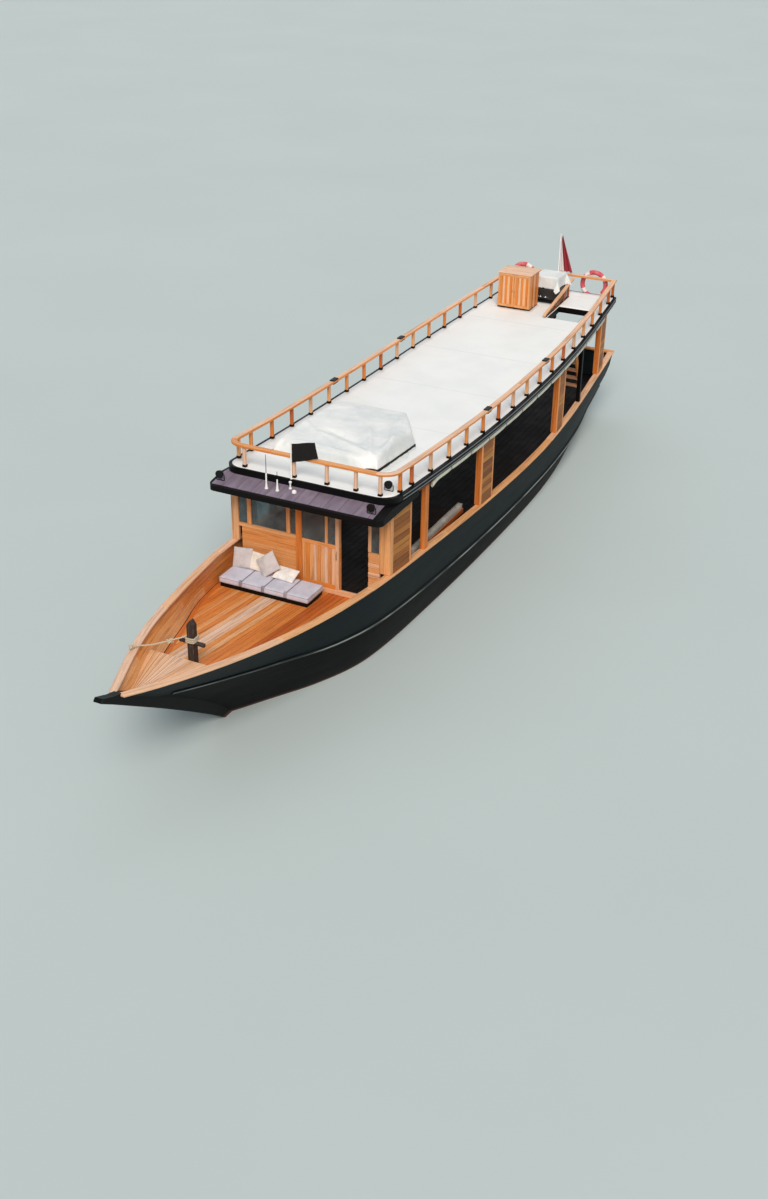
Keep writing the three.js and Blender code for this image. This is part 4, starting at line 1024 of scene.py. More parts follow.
# Columns: y from, y to, and how many boards share that width
PANES = ((-1.52, -1.34), (-1.25, -0.49), (-0.41, -0.24), (-0.10, 0.56), (1.29, 1.45))
WALL_BOARD = 0.128

wall = Boards("front_wall_boards", varnished, seed=31)


def level_boards(boards, y0, y1, z0, z1, x0, x1, high, tone, spread_by=0.08, proud=0.0):
    """Boards laid across, one above the other, between two heights."""
    rows = max(1, round((z1 - z0) / high))
    for row in range(rows):
        low, top = (z0 + (z1 - z0) * f / rows for f in (row, row + 1))
        step = proud * (row % 2)
        boards.box((x0, y0, low + 0.002), (x1 + step, y1, top - 0.003), 1,
                   tone + boards.chance.uniform(-spread_by, spread_by))


wall_step = line_at(WALL_FACE, CAP) + 0.004
level_boards(wall, -WALL_LOW_HALF, DOOR_Y0 - 0.003, WALL_FOOT, 1.985, 3.612, 3.652, WALL_BOARD, 0.40)
wall.box((3.600, -WALL_LOW_HALF, WALL_FOOT), (3.610, DOOR_Y0, SILL - 0.01), 1, 0.7)
wall.box((3.600, -1.53, 1.988), (WALL_FACE + 0.010, DOOR_Y0, SILL - 0.002), 1, 0.28)
wall.box((3.600, -WALL_HALF, HEAD), (WALL_FACE, WALL_HALF, WALL_TOP - 0.002), 1, 0.45)
uprights = [(-WALL_HALF, -1.53, 0.22), (DOOR_Y1, 1.29, 0.2), (1.455, WALL_HALF, 0.3)]
uprights += [(a, b, 0.35) for (_, a), (b, _) in zip(PANES[:3], PANES[1:4])]
uprights.append((PANES[3][1], DOOR_Y0, 0.3))
for y0, y1, tone in uprights:
    foot = wall_step if abs(y0) > 1.4 or abs(y1) > 1.6 else SILL
    wall.box((3.602, y0 + 0.001, foot), (WALL_FACE + 0.004, y1 - 0.001, HEAD - 0.002), 2, tone)
level_boards(wall, DOOR_Y1 + 0.002, WALL_LOW_HALF - 0.003, WALL_FOOT, SILL - 0.01, 3.606, 3.650, 0.105,
             0.25, 0.12, proud=0.012)
wall.box((3.655, TRACK_Y0, 1.036), (TRACK_X1, TRACK_Y1, TRACK_TOP), 1, 0.18)
wall.box((3.655, TRACK_Y0, 2.862), (TRACK_X1, TRACK_Y1, WALL_TOP - 0.003), 1, 0.6)
wall.piece("front_panel_starboard", "front_panel_port", "front_header")

# Sliding door leaf: stiles and rails round a glazed top and a panel of upright boards, ripped from
# two timbers so that pale and red ones alternate. It hangs from the header's track.
LEAF_X0, LEAF_X1, LEAF_Y0, LEAF_Y1, LEAF_Z0, LEAF_Z1 = 3.674, 3.714, -0.26, 0.65, 1.1303, 2.86
LEAF_PANES = ((-0.13, 0.36), (0.42, 0.575))
LEAF_HEAD = 2.78
LEAF_TONES = (0.36, 0.50, 0.32, 0.10, 0.44, 0.26, 0.06, 0.40, 0.14)

leaf = Boards("door_leaf_boards", varnished, seed=32)
for y0, y1, tone in ((LEAF_Y0, LEAF_PANES[0][0], 0.6), (LEAF_PANES[1][1], LEAF_Y1, 0.16)):
    leaf.box((LEAF_X0, y0, LEAF_Z0), (LEAF_X1, y1, LEAF_Z1), 2, tone)
leaf.box((LEAF_X0, LEAF_PANES[0][1], SILL), (LEAF_X1, LEAF_PANES[1][0], LEAF_HEAD), 2, 0.3)
inner = (LEAF_PANES[0][0] + 0.001, LEAF_PANES[1][1] - 0.001)
for z0, z1, tone in ((LEAF_Z0, 1.22, 0.55), (1.985, SILL, 0.4), (LEAF_HEAD, LEAF_Z1, 0.5)):
    leaf.box((LEAF_X0, inner[0], z0), (LEAF_X1, inner[1], z1), 1, tone)
wide = (inner[1] - inner[0]) / len(LEAF_TONES)
for k, tone in enumerate(LEAF_TONES):
    y0, y1 = inner[0] + k * wide + 0.002, inner[0] + (k + 1) * wide - 0.002
    leaf.box((LEAF_X0 + 0.008, y0, 1.222), (LEAF_X1 - 0.006, y1, 1.983), 2, tone)
leaf.piece("sliding_door", body="door_leaf")

# Door pull: a brushed steel bow screwed to the leading stile.
PULL_Y, PULL_Z0, PULL_Z1 = 0.612, 1.78, 1.94
steel = plain_finish("brushed_stainless", 1.0, 3.0, (0.0005, 0.4), stretch=(400.0, 400.0, 12.0),
                     roughness=0.3, metallic=1.0, colour="b9bcbf")
bow = [(LEAF_X1 - 0.002, PULL_Y, PULL_Z0), (LEAF_X1 + 0.03, PULL_Y, PULL_Z0 + 0.01),
       (LEAF_X1 + 0.036, PULL_Y, (PULL_Z0 + PULL_Z1) / 2), (LEAF_X1 + 0.03, PULL_Y, PULL_Z1 - 0.01),
       (LEAF_X1 - 0.002, PULL_Y, PULL_Z1)]
bar("door_pull", smooth_path(bow, 0.012), 0.007, 10, steel, "fitting_steel", "door_leaf")

# Window glass: 8 mm float glass bedded in the frames, grey-blue against the inside, which lies in shade.
# The grey-blue, in patches, is a painted reflection of the sky.
float_glass, tree, shader = material("float_glass", roughness=0.04, Transmission_Weight=0.62, IOR=1.45)
sky_patches = pattern(tree, own_place(tree), 5.0, 5.0)
paint(tree, shader, ramp(tree, sky_patches, ((0.4, "62777f"), (0.7, "86999f"))),
      rescale(tree, sky_patches, from_min=0.5, to_min=0.03, to_max=0.18))
for name in ("glass_front_wide", "glass_behind_door", "glass_front_narrow", "glass_door"):
    refinish(name, float_glass)


def slab(name, low, high, finish):
    """A plain block between two corners."""
    verts = [(x, y, z) for x in (low[0], high[0]) for y in (low[1], high[1]) for z in (low[2], high[2])]
    sides = [(0, 1, 3, 2), (4, 6, 7, 5), (0, 4, 5, 1), (2, 3, 7, 6), (0, 2, 6, 4), (1, 5, 7, 3)]
    mesh = built(name, verts, sides, finish)
    tidy(mesh)
    return mesh


# Columns: piece, body, x of its middle, y from, y to, z to
for name, body, x, y0, y1, z1 in (
        ("pane_corner", "root", 3.630, -1.52, -1.34, HEAD), ("pane_slit", "root", 3.630, -0.41, -0.24, HEAD),
        ("pane_leaf_slit", "door_leaf", 3.694, LEAF_PANES[1][0], LEAF_PANES[1][1], LEAF_HEAD)):
    pane = put(name, slab(name, (x - 0.004, y0 + 0.001, SILL + 0.001), (x + 0.004, y1 - 0.001, z1 - 0.001),
                          float_glass), body)
    bevelled(pane, 0.0015, 1)
    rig.slot(pane, "glass")

# Sides of the house: posts and boarded pillars that stand on the cap rail and carry a beam under
# the sun deck. Each pillar has two stiles, lapped boards outside and a plain board facing forward.
ROOF_LOW_X, ROOF_LOW_Z, ROOF_THICK = -2.9, 2.997, 0.13
ROOF_FORE, ROOF_AFT, ROOF_OUT = 3.78, -9.96, 0.075
SHEER_FORE, SHEER_AFT = 5.5e-3, 4.4e-3
BEAM_DEEP, BEAM_WIDE = 0.11, 0.14
LAP_HIGH, LAP_PROUD, STILE = 0.118, 0.013, 0.07
# Columns: aft x, fore x, thickness
PILLARS = ((2.790, 3.598, 0.060), (-1.110, -0.460, 0.130), (-5.680, -5.170, 0.130), (-9.400, -8.880, 0.130))
POST_X = (2.050, 2.210, 0.090)
POLE_X = (-7.170, -7.080, 0.090)


def roof_top(x):
    return ROOF_LOW_Z + (SHEER_FORE if x > ROOF_LOW_X else SHEER_AFT) * (x - ROOF_LOW_X) ** 2


def eaves(x):
    """The underside of the sun deck."""
    return roof_top(x) - ROOF_THICK


def side_board(boards, side, x0, x1, low, high, out, thick, tone, upright=True):
    """A board in the side wall. Its outer face stands in or out from the hull's half breadth."""
    sections = []
    if upright:
        mid = (x0 + x1) / 2
        z0, z1 = low(mid), high(mid)
        for z in spread(z0, z1, 0.9):
            rim = line_at(mid, HALF) + out
            sections.append([(x0, side * rim, z), (x1, side * rim, z), (x1, side * (rim - thick), z),
                             (x0, side * (rim - thick), z)])
    else:
        for x in spread(x0, x1, 0.45):
            rim = line_at(x, HALF) + out
            sections.append([(x, side * rim, low(x)), (x, side * (rim - 0.008), high(x)),
                             (x, side * (rim - thick), high(x)), (x, side * (rim - thick), low(x))])
    boards.add(sections, tone)


def pillar_top(x):
    return eaves(x) - BEAM_DEEP - 0.001


def pillar_foot(x):
    return line_at(x, CAP) + 0.002


# Lapped pillar boards: golden hardwood, its stops darkened as painted shade of the light grazing the house sides.
golden_timber_and_painted_shade = timber("golden_varnished_hardwood", ((0.0, "dd9c4a"), (0.5, "b26c28"), (1.0, "7e4716")), 0.42, 0.07)
for side, name in SIDES:
    frames = Boards(f"side_frame_{name}_boards", varnished, seed=41)
    laps = Boards(f"pillar_laps_{name}", golden_timber_and_painted_shade, seed=42)
    for a, b in lengths(ROOF_AFT + 0.06, 3.595, 3.2, frames.chance):
        side_board(frames, side, a, b - BOARD_GAP, lambda x: eaves(x) - BEAM_DEEP, lambda x: eaves(x) - 0.002,
                   -0.008, BEAM_WIDE, 0.95, upright=False)
    for x0, x1, thick in PILLARS:
        rows = round((pillar_top(x0) - pillar_foot(x0)) / LAP_HIGH)
        for a, b, tone in ((x0, x0 + STILE, 0.42), (x1 - STILE, x1, 0.34)):
            side_board(frames, side, a, b, pillar_foot, pillar_top, -0.012, thick, tone)
        for row in range(rows):
            def low(x, f=row / rows):
                return pillar_foot(x) + (pillar_top(x) - pillar_foot(x)) * f

            def high(x, f=(row + 1) / rows):
                return pillar_foot(x) + (pillar_top(x) - pillar_foot(x)) * f - 0.011
            tone = 0.55 + frames.chance.uniform(-0.40, 0.40)
            side_board(laps, side, x0 + STILE + 0.001, x1 - STILE - 0.001, low, high, -0.018 + LAP_PROUD,
                       0.018, tone, upright=False)
        # Backing board behind the laps, in the darkest tone: painted shade in the gaps between the laps.
        side_board(frames, side, x0 + STILE + 0.001, x1 - STILE - 0.001, pillar_foot, pillar_top, -0.026,
                   thick - 0.050, 0.98)
        for end, sign in ((x0, -1), (x1, 1)):
            rim = line_at(end, HALF) - 0.020
            ys = sorted((side * rim, side * (rim - thick + 0.02)))
            xs = sorted((end - sign * 0.012, end + sign * 0.006))
            if end < 3.59:
                frames.box((xs[0], ys[0], pillar_foot(end)), (xs[1], ys[1], pillar_top(end)), 2, 0.66)
    side_board(frames, side, POST_X[0], POST_X[1], pillar_foot, pillar_top, -0.012, POST_X[2], 0.62)
    laps.piece(edge=0.003)
    frames.piece(f"side_frame_{name}", edge=0.003)

# Stern poles: plain squared posts in black paint, halfway along the aft opening.
black_paint = hull_paint("black_gloss_on_timber", "060607", "100f10", 0.40, 40.0, seams="height")
for side, name in SIDES:
    pole = Boards(f"stern_pole_{name}", black_paint, seed=5)
    side_board(pole, side, POLE_X[0], POLE_X[1], pillar_foot, pillar_top, -0.012, POLE_X[2], 0.5)
    pole.piece(slot="black_paint")

# Sun deck: planked slab on cross beams, painted black over its edge. Two light alloy half-rounds
# run along each side of the edge as drip and rubbing strips.
sun_deck_paint = hull_paint("sun_deck_paint", "070708", "121113", 0.45, 40.0, seams="height")
refinish("roof_deck", sun_deck_paint)
STRIP_R, STRIP_AFT, STRIP_FORE = 0.010, -9.85, 3.36
alloy = plain_finish("dull_aluminium", 30.0, 4.0, (0.0006, 0.5), roughness=0.45, metallic=1.0,
                     colour="a9adb0")
for side, name in SIDES:
    for below, level in ((0.028, "upper"), (0.098, "lower")):
        run = [(x, side * (line_at(x, HALF) + ROOF_OUT + 0.003), roof_top(x) - below)
               for x in spread(STRIP_AFT, STRIP_FORE, 0.3)]
        bar(f"edge_strip_{name}_{level}", run, STRIP_R, 8, alloy, "fitting_steel")

# Deck covering: heat-welded widths of white coated fabric laid over the whole sun deck, cut out
# round what stands there. It lies in very shallow waves, dusty in its hollows.
COVER_AFT, COVER_FORE, COVER_INSET, COVER_CORNER, COVER_LIFT = -9.915, 3.75, 0.065, 0.30, 0.006
COVER_FIXED = 1.2
WELD_PITCH = 1.2
# Columns: x from, x to, y from, y to, for the stair hatch, locker, stowage and guard stanchions
CUT_OUTS = ((-8.712, -7.838, 0.338, 1.132), (-8.692, -8.088, -1.082, -0.218),
            (-9.462, -8.818, -0.412, 0.227), (-9.534, -7.836, 0.246, 0.314))


def coated_fabric(name, light, grey, weld_pitch=0.0, crumple=0.0):
    """White PVC-coated polyester: satin, faintly woven, with dust in its hollows, welds and creases."""
    made, tree, shader = material(name, roughness=0.55, Sheen_Weight=0.1)
    where = own_place(tree)
    dust = node(tree, "ShaderNodeTexNoise", {"Vector": where, "Scale": 1.3, "Detail": 6.0, "Roughness": 0.6})
    colour = ramp(tree, dust.outputs["Fac"], ((0.35, grey), (0.6, light)))
    height = calc(tree, "MULTIPLY_ADD", pattern(tree, where, 260.0, 1.0), 0.2, dust.outputs["Fac"])
    if weld_pitch:
        lap = calc(tree, "PINGPONG", split(tree, where)["X"], weld_pitch)
        colour = two_tone(tree, rescale(tree, lap, from_max=0.02), tint("d8dee1"), colour)
    paint(tree, shader, colour)
    if crumple:
        bent = node(tree, "ShaderNodeMix", {0: 0.12, 4: where, 5: dust.outputs["Color"]}, data_type="VECTOR")
        cells = node(tree, "ShaderNodeTexVoronoi", {"Vector": bent.outputs[1], "Scale": 4.5}, feature="F1",
                     distance="EUCLIDEAN")
        height = calc(tree, "MULTIPLY_ADD", cells.outputs["Distance"], crumple, height)
    bump(tree, shader, height, 0.002, 0.4)
    return made


def sheet_mesh(name, rows, finish, keep=None):
    """A sheet through rows of points, and its area. keep says of a face's middle whether it is cloth."""
    count = len(rows[0])
    verts = [Vector(p) for row in rows for p in row]
    faces = [(r * count + k, r * count + k + 1, (r + 1) * count + k + 1, (r + 1) * count + k)
             for r in range(len(rows) - 1) for k in range(count - 1)]
    if keep:
        faces = [face for face in faces if keep(sum((verts[i] for i in face), Vector()) / 4)]
    coords = [(c % count / (count - 1), c // count / (len(rows) - 1)) for face in faces for c in face]
    mesh = built(name, verts, faces, finish, coords=coords)
    mesh.shade_smooth()
    return mesh, sum(face.area for face in mesh.polygons)


def thicken(piece, thick):
    wall = piece.modifiers.new("thickness", "SOLIDIFY")
    wall.thickness, wall.offset = thick, 0.0
    return piece


def ripple(x, y):
    """Shallow waves of a cloth that lies on boards, in metres."""
    waves = math.sin(2.1 * x + 0.7 * y), math.sin(5.3 * x - 3.1 * y), math.sin(9.7 * y + 1.9 * x)
    return 0.002 * (waves[0] + 0.6 * waves[1] + 0.4 * waves[2])


def with_lines(places, extra, room):
    """Adds grid lines, and drops the ones that come too close to them."""
    return sorted([*extra, *(p for p in places if min(abs(p - e) for e in extra) > room)])


def cover_row(x):
    """Points across the deck: the middle ones stand at fixed widths, the outer ones follow its edge."""
    reach = line_at(x, HALF) + ROOF_OUT - COVER_INSET
    past = max(x - (COVER_FORE - COVER_CORNER), 0) / COVER_CORNER
    reach -= COVER_CORNER * (1 - math.sqrt(max(1 - past * past, 0)))
    outer = [COVER_FIXED + (reach - COVER_FIXED) * k / 3 for k in range(1, 4)]
    ys = [*[-y for y in reversed(outer)], *cover_ys, *outer]
    return [(x, y, roof_top(x) + COVER_LIFT + ripple(x, y)) for y in ys]


def uncut(middle):
    return not any(x0 < middle.x < x1 and y0 < middle.y < y1 for x0, x1, y0, y1 in CUT_OUTS)


cover_cloth = coated_fabric("pvc_coated_polyester", "edf1f3", "e7ecee", WELD_PITCH)
cut_xs, cut_ys = ([p for cut in CUT_OUTS for p in cut[k:k + 2]] for k in (0, 2))
cover_ys = with_lines(spread(-COVER_FIXED, COVER_FIXED, 0.12), cut_ys, 0.03)
cover_xs = with_lines(spread(COVER_AFT, COVER_FORE - COVER_CORNER, 0.12), cut_xs, 0.03)
cover_xs += [COVER_FORE - COVER_CORNER * (1 - math.sin(math.radians(a))) for a in (15, 30, 45, 60, 75, 86)]
rows = [cover_row(x) for x in cover_xs]
cover_mesh, cover_area = sheet_mesh("deck_cover", rows, cover_cloth, uncut)
cover = thicken(put("deck_cover", cover_mesh), 0.003)
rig.replaces(cover, "deck_covering")
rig.slot(cover, "white_sheet")
cover_width = max(row[-1][1] - row[0][1] for row in rows)
cover_length = path_length([Vector(row[len(row) // 2]) for row in rows])
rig.sheet(cover, flat=(cover_width * 1.002, cover_length * 1.002), held="laid", rests_on=["roof_deck"],
         area=cover_area)

# Visor: a thin boarded shelf over the front windows, plum on top and black round its edge. The
# black laps over the top, further on the port side than in front.
VISOR_BOARD = 0.15
PLUM_FRONT, PLUM_STARBOARD, PLUM_PORT = 4.225, -1.735, 1.60


def visor_paint():
    """Two brushed paints: faded plum where the face looks up, black on the edge; faint board seams."""
    made, tree, shader = material("plum_and_black_paint", roughness=0.6, Specular_IOR_Level=0.15)
    where = own_place(tree)
    spot = split(tree, where)
    up = split(tree, node(tree, "ShaderNodeNewGeometry").outputs["Normal"])["Z"]
    plum_part = calc(tree, "GREATER_THAN", up, 0.5)
    for axis, limit, kind in (("X", PLUM_FRONT, "LESS_THAN"), ("Y", PLUM_PORT, "LESS_THAN"),
                              ("Y", PLUM_STARBOARD, "GREATER_THAN")):
        plum_part = calc(tree, "MULTIPLY", plum_part, calc(tree, kind, spot[axis], limit))
    groove = rescale(tree, calc(tree, "PINGPONG", spot["Y"], VISOR_BOARD), from_max=0.007)
    faded = pattern(tree, where, 1.0, 6.0, stretch=(1.2, 5.0, 1.0), Roughness=0.65)
    plum = ramp(tree, faded, ((0.3, "6a5f6f"), (0.55, "84788a"), (0.8, "9e94a3")))
    lined = two_tone(tree, groove, tint("3a323c"), plum)
    paint(tree, shader, two_tone(tree, plum_part, tint("09080a"), lined))
    bump(tree, shader, groove, 0.002, 0.5)
    return made


refinish("visor", visor_paint())

# Aerials: white glass-fibre bases with black whips, and two low domes, screwed to the visor.
VISOR_FRONT, VISOR_LIP, VISOR_AFT_TOP = 4.29, 3.035, 3.112


def visor_top(x):
    """The height of the visor's upper face, which falls towards its front edge."""
    return VISOR_AFT_TOP + (x - ROOF_FORE) / (VISOR_FRONT - ROOF_FORE) * (VISOR_LIP - VISOR_AFT_TOP)


def turned(name, centre, profile, finish):
    """A body of revolution about a vertical line, through (radius, height) pairs."""
    turns = round_angles(24)[:-1]
    rings = [[(centre[0] + r * math.cos(a), centre[1] + r * math.sin(a), centre[2] + z) for a in turns]
             for r, z in profile]
    return loft(name, rings, (finish,), flat_over=40)


gelcoat = plain_finish("white_gelcoat", 60.0, 4.0, (0.0004, 0.3), roughness=0.28, colour="eef0ef",
                       Coat_Weight=0.3)
WHIP_FOOT = ((0.036, 0.0), (0.036, 0.012), (0.024, 0.03), (0.020, 0.09), (0.015, 0.12))
STUB = ((0.03, 0.0), (0.03, 0.02), (0.015, 0.03), (0.015, 0.11), (0.028, 0.12), (0.028, 0.145),
        (0.012, 0.155))
DOME = ((0.045, 0.0), (0.045, 0.02), (0.038, 0.042), (0.02, 0.055), (0.004, 0.058))
# Columns: name, x, y, profile of (radius, height), the whip's length
AERIALS = (("aerial_tall", 4.014, -0.683, (*WHIP_FOOT, (0.013, 0.30), (0.006, 0.31)), 0.36),
           ("aerial_short", 4.009, -0.456, (*WHIP_FOOT, (0.012, 0.22), (0.006, 0.23)), 0.15),
           ("aerial_stub", 3.868, -0.263, STUB, 0), ("aerial_dome", 3.962, -0.131, DOME, 0))
for name, x, y, profile, whip_long in AERIALS:
    foot = visor_top(x) - 0.002
    aerial = put(name, turned(name, (x, y, foot), profile, gelcoat))
    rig.slot(aerial, "white_paint")
    if whip_long:
        top = foot + profile[-1][1]
        bar(f"{name}_whip", [(x, y, top - 0.01), (x, y, top + whip_long)], [0.007, 0.005], 8, black_paint,
            "black_paint")

# Deck lamps: black die-cast cans on a stirrup, one at each visor corner and one on the sun deck's
# port corner. They look forward, with the lens sunk deep in the rim.
lamp_black = plain_finish("die_cast_black", 220.0, 2.0, (0.0006, 0.5), roughness=0.5, colour="09090b",
                          Specular_IOR_Level=0.3)
lens_glass, lens_tree, lens_shader = material("ribbed_lamp_lens", roughness=0.1, colour="4a5054")
ribs = node(lens_tree, "ShaderNodeTexWave", {"Scale": 20.0, "Vector": own_place(lens_tree)},
            bands_direction="Y")
bump(lens_tree, lens_shader, ribs.outputs["Fac"], 0.002, 0.6)
LAMP_R, LAMP_DEEP, LAMP_UP = 0.078, 0.09, 0.130
# Columns: distance from the can's back, radius; the last three run back inside the rim
CAN = ((0, 0.03), (0.004, 0.05), (0.02, 0.062), (0.07, LAMP_R), (0.089, LAMP_R), (0.0899, 0.066),
       (0.07, 0.06), (0.0699, 0.001))

# Columns: name, node it stands for, x, y, foot
for name, stands_for, x, y, foot in (
        ("floodlight_starboard", "lamp_starboard", 4.08, -1.63, visor_top(4.06)),
        ("floodlight_port", "lamp_port", 4.08, 1.50, visor_top(4.06)),
        ("floodlight_sun_deck", None, 3.36, 1.49, roof_top(3.36) + 0.012)):
    middle = Vector((x, y, foot + LAMP_UP))
    back = x - LAMP_DEEP / 2
    can_path, can_radii = [(back + along, y, middle.z) for along, _ in CAN], [r for _, r in CAN]
    can = bar(name, can_path, can_radii, 28, lamp_black, "lamp_black")
    glass_x = back + 0.0705
    bar(f"{name}_lens", [(glass_x, y, middle.z), (glass_x + 0.004, y, middle.z)], [0.0595, 0.057], 28,
        lens_glass, "lamp_lens")
    arm = LAMP_R + 0.004
    stirrup = [(x, y - arm, middle.z), (x, y - arm, foot + 0.012), (x, y - 0.02, foot + 0.008),
               (x, y + 0.02, foot + 0.008), (x, y + arm, foot + 0.012), (x, y + arm, middle.z)]
    bar(f"{name}_stirrup", smooth_path(stirrup, 0.02), 0.008, 8, lamp_black, "lamp_black")
    if stands_for:
        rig.replaces(can, stands_for)

# Sun deck rail: a flat handrail on squared posts all round the deck, each post seated in a black
# shoe at the deck's edge. The sun has bleached the handrail's top; its sides are still orange.
RAIL_HIGH, HANDRAIL_WIDE, HANDRAIL_THICK = 0.40, 0.115, 0.05
RAIL_AFT_X, RAIL_FORE_X, RAIL_CORNER, RAIL_IN = -9.90, 3.67, 0.30, 0.012
CORNER_POST, POST_FIRST, POST_PITCH, POST_COUNT, POST_WIDE = 3.31, 2.84, 0.815, 16, 0.060
FRONT_POSTS, STERN_POSTS = (-1.34, -0.29, 0.39, 0.98, 1.47), (-1.325, -0.70, -0.06, 1.325)
SHOE_HIGH, SHOE_WIDE = 0.06, 0.078
HANDRAIL_TONES, FRONT_TONES = (0.42, 0.04, 0.42, 0.55), (0.50, 0.32, 0.45, 0.55)
POST_TONES, FRONT_POST_TONE = (0.62, 0.28, 0.80, 0.45, 0.12), 0.06


def rail_half(x):
    return line_at(x, HALF) - RAIL_IN


def rail_under(x):
    return roof_top(x) + RAIL_HIGH


rail_run = [(x, rail_half(x)) for x in spread(RAIL_AFT_X, RAIL_FORE_X - RAIL_CORNER, 0.3)]
corner_x, corner_y = RAIL_FORE_X - RAIL_CORNER, rail_half(RAIL_FORE_X - RAIL_CORNER) - RAIL_CORNER
rail_run += [(corner_x + RAIL_CORNER * math.sin(a), corner_y + RAIL_CORNER * math.cos(a))
             for a in (math.radians(d) for d in range(10, 91, 10))]
front_run = [(RAIL_FORE_X, y) for y in spread(corner_y, -corner_y, 0.3)]
rail_run = [*rail_run, *front_run[1:-1], *[(x, -y) for x, y in reversed(rail_run)]]

handrail = Boards("handrail_boards", varnished, seed=51)
start = 0
while start < len(rail_run) - 1:
    stop = min(start + handrail.chance.choice((7, 8, 9, 10)), len(rail_run) - 1)
    if len(rail_run) - 1 - stop < 4:
        stop = len(rail_run) - 1
    sections = []
    for i in range(start, stop + 1):
        x, y = rail_run[i]
        a, b = rail_run[max(i - 1, 0)], rail_run[min(i + 1, len(rail_run) - 1)]
        ahead = Vector((b[0] - a[0], b[1] - a[1])).normalized()
        out = Vector((-ahead.y, ahead.x)) * HANDRAIL_WIDE / 2
        shy = ahead * (BOARD_GAP if i == stop else 0)
        low, high = rail_under(x), rail_under(x) + HANDRAIL_THICK
        (px, py), (qx, qy) = ((x + s * out.x - shy.x, y + s * out.y - shy.y) for s in (1, -1))
        sections.append([(px, py, low), (px, py, high), (qx, qy, high), (qx, qy, low)])
    more = handrail.chance.uniform(0, 0.1)
    at_front = rail_run[(start + stop) // 2][0] > RAIL_FORE_X - 0.1
    handrail.add(sections, tuple(tone + more for tone in (FRONT_TONES if at_front else HANDRAIL_TONES)))
    start = stop
stern_y = rail_half(RAIL_AFT_X) + HANDRAIL_WIDE / 2
stern_x = [RAIL_AFT_X + s * HANDRAIL_WIDE / 2 for s in (-1, 1)]
stern_z = rail_under(RAIL_AFT_X) + 0.001
stern_top = stern_z + HANDRAIL_THICK
handrail.add([[(stern_x[0], y, stern_z), (stern_x[0], y, stern_top), (stern_x[1], y, stern_top),
               (stern_x[1], y, stern_z)] for y in (-stern_y, stern_y)], HANDRAIL_TONES)
handrail.piece("deck_rail_fore", "deck_rail_port", "deck_rail_starboard", "deck_rail_aft", slot="pale_timber",
               edge=0.008)

side_xs = [CORNER_POST, *(POST_FIRST - POST_PITCH * i for i in range(POST_COUNT))]
post_spots = [(x, side * rail_half(x)) for x in side_xs for side in (1, -1)]
post_spots += [(RAIL_FORE_X, y) for y in FRONT_POSTS] + [(RAIL_AFT_X, y) for y in STERN_POSTS]


def repeated(name, spots, one, finish):
    """Places one small mesh at each spot with a Geometry Nodes tree, and keeps the plain result."""
    carrier = linked(f"{name}_spots", built(f"{name}_spots", [tuple(p) for p in spots], []))
    single = linked(f"{name}_single", one)
    tree = bpy.data.node_groups.new(name, "GeometryNodeTree")
    tree.interface.new_socket("Geometry", in_out="INPUT", socket_type="NodeSocketGeometry")
    tree.interface.new_socket("Geometry", in_out="OUTPUT", socket_type="NodeSocketGeometry")
    size_socket = tree.interface.new_socket("Size", in_out="INPUT", socket_type="NodeSocketFloat")
    uneven_socket = tree.interface.new_socket("Uneven", in_out="INPUT", socket_type="NodeSocketFloat")
    inlet, outlet = node(tree, "NodeGroupInput"), node(tree, "NodeGroupOutput")
    source = node(tree, "GeometryNodeObjectInfo", {"Object": single, "As Instance": True})
    chance = node(tree, "FunctionNodeRandomValue", {"Seed": 7}, data_type="FLOAT_VECTOR")
    for limit, kind in (("Min", "SUBTRACT"), ("Max", "ADD")):
        end = calc(tree, kind, inlet.outputs["Size"], inlet.outputs["Uneven"])
        tree.links.new(end, chance.inputs[limit])
    placed = node(tree, "GeometryNodeInstanceOnPoints", {
        "Points": inlet.outputs["Geometry"], "Instance": source.outputs["Geometry"],
        "Scale": chance.outputs["Value"]})
    real = node(tree, "GeometryNodeRealizeInstances", {"Geometry": placed.outputs["Instances"]})
    dressed = node(tree, "GeometryNodeSetMaterial", {
        "Geometry": real.outputs["Geometry"], "Material": finish})
    tree.links.new(dressed.outputs["Geometry"], outlet.inputs["Geometry"])
    spread_out = carrier.modifiers.new("spread", "NODES")
    spread_out.node_group = tree
    spread_out[size_socket.identifier] = 1.0
    spread_out[uneven_socket.identifier] = 0.0
    bpy.context.view_layer.update()
    seen = carrier.evaluated_get(bpy.context.evaluated_depsgraph_get())
    made = bpy.data.meshes.new_from_object(seen)
    made.name = name
    for used in (carrier, single):
        bpy.data.objects.remove(used)
    return put(name, made)


def upright(name, wide, high, edge, tone):
    """A squared length of timber standing on its foot, bevelled, with its UVs along it."""
    stick = Boards(name, varnished, seed=1)
    stick.box((-wide / 2, -wide / 2, 0), (wide / 2, wide / 2, high), 2, tone)
    mesh = stick.mesh()
    work = bmesh.new()
    work.from_mesh(mesh)
    bmesh.ops.bevel(work, geom=list(work.edges), offset=edge, segments=1, affect="EDGES")
    work.to_mesh(mesh)
    work.free()
    return mesh


posts = repeated("rail_posts", [(x, y, roof_top(x) - 0.002) for x, y in post_spots],
                 upright("rail_post", POST_WIDE, RAIL_HIGH + 0.006, 0.004, 0.66), varnished)
faces_each = len(posts.data.polygons) // len(post_spots)
for i, shade in enumerate(posts.data.attributes["tone"].data):
    post = i // faces_each
    at_front = post_spots[post][0] == RAIL_FORE_X
    shade.value = FRONT_POST_TONE if at_front else POST_TONES[post % len(POST_TONES)]
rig.slot(posts, "pale_timber")
shoes = repeated("rail_post_shoes", [(x, y, roof_top(x) - 0.003) for x, y in post_spots],
                 upright("rail_post_shoe", SHOE_WIDE, SHOE_HIGH, 0.006, 0.5), sun_deck_paint)
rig.slot(shoes, "black_paint")

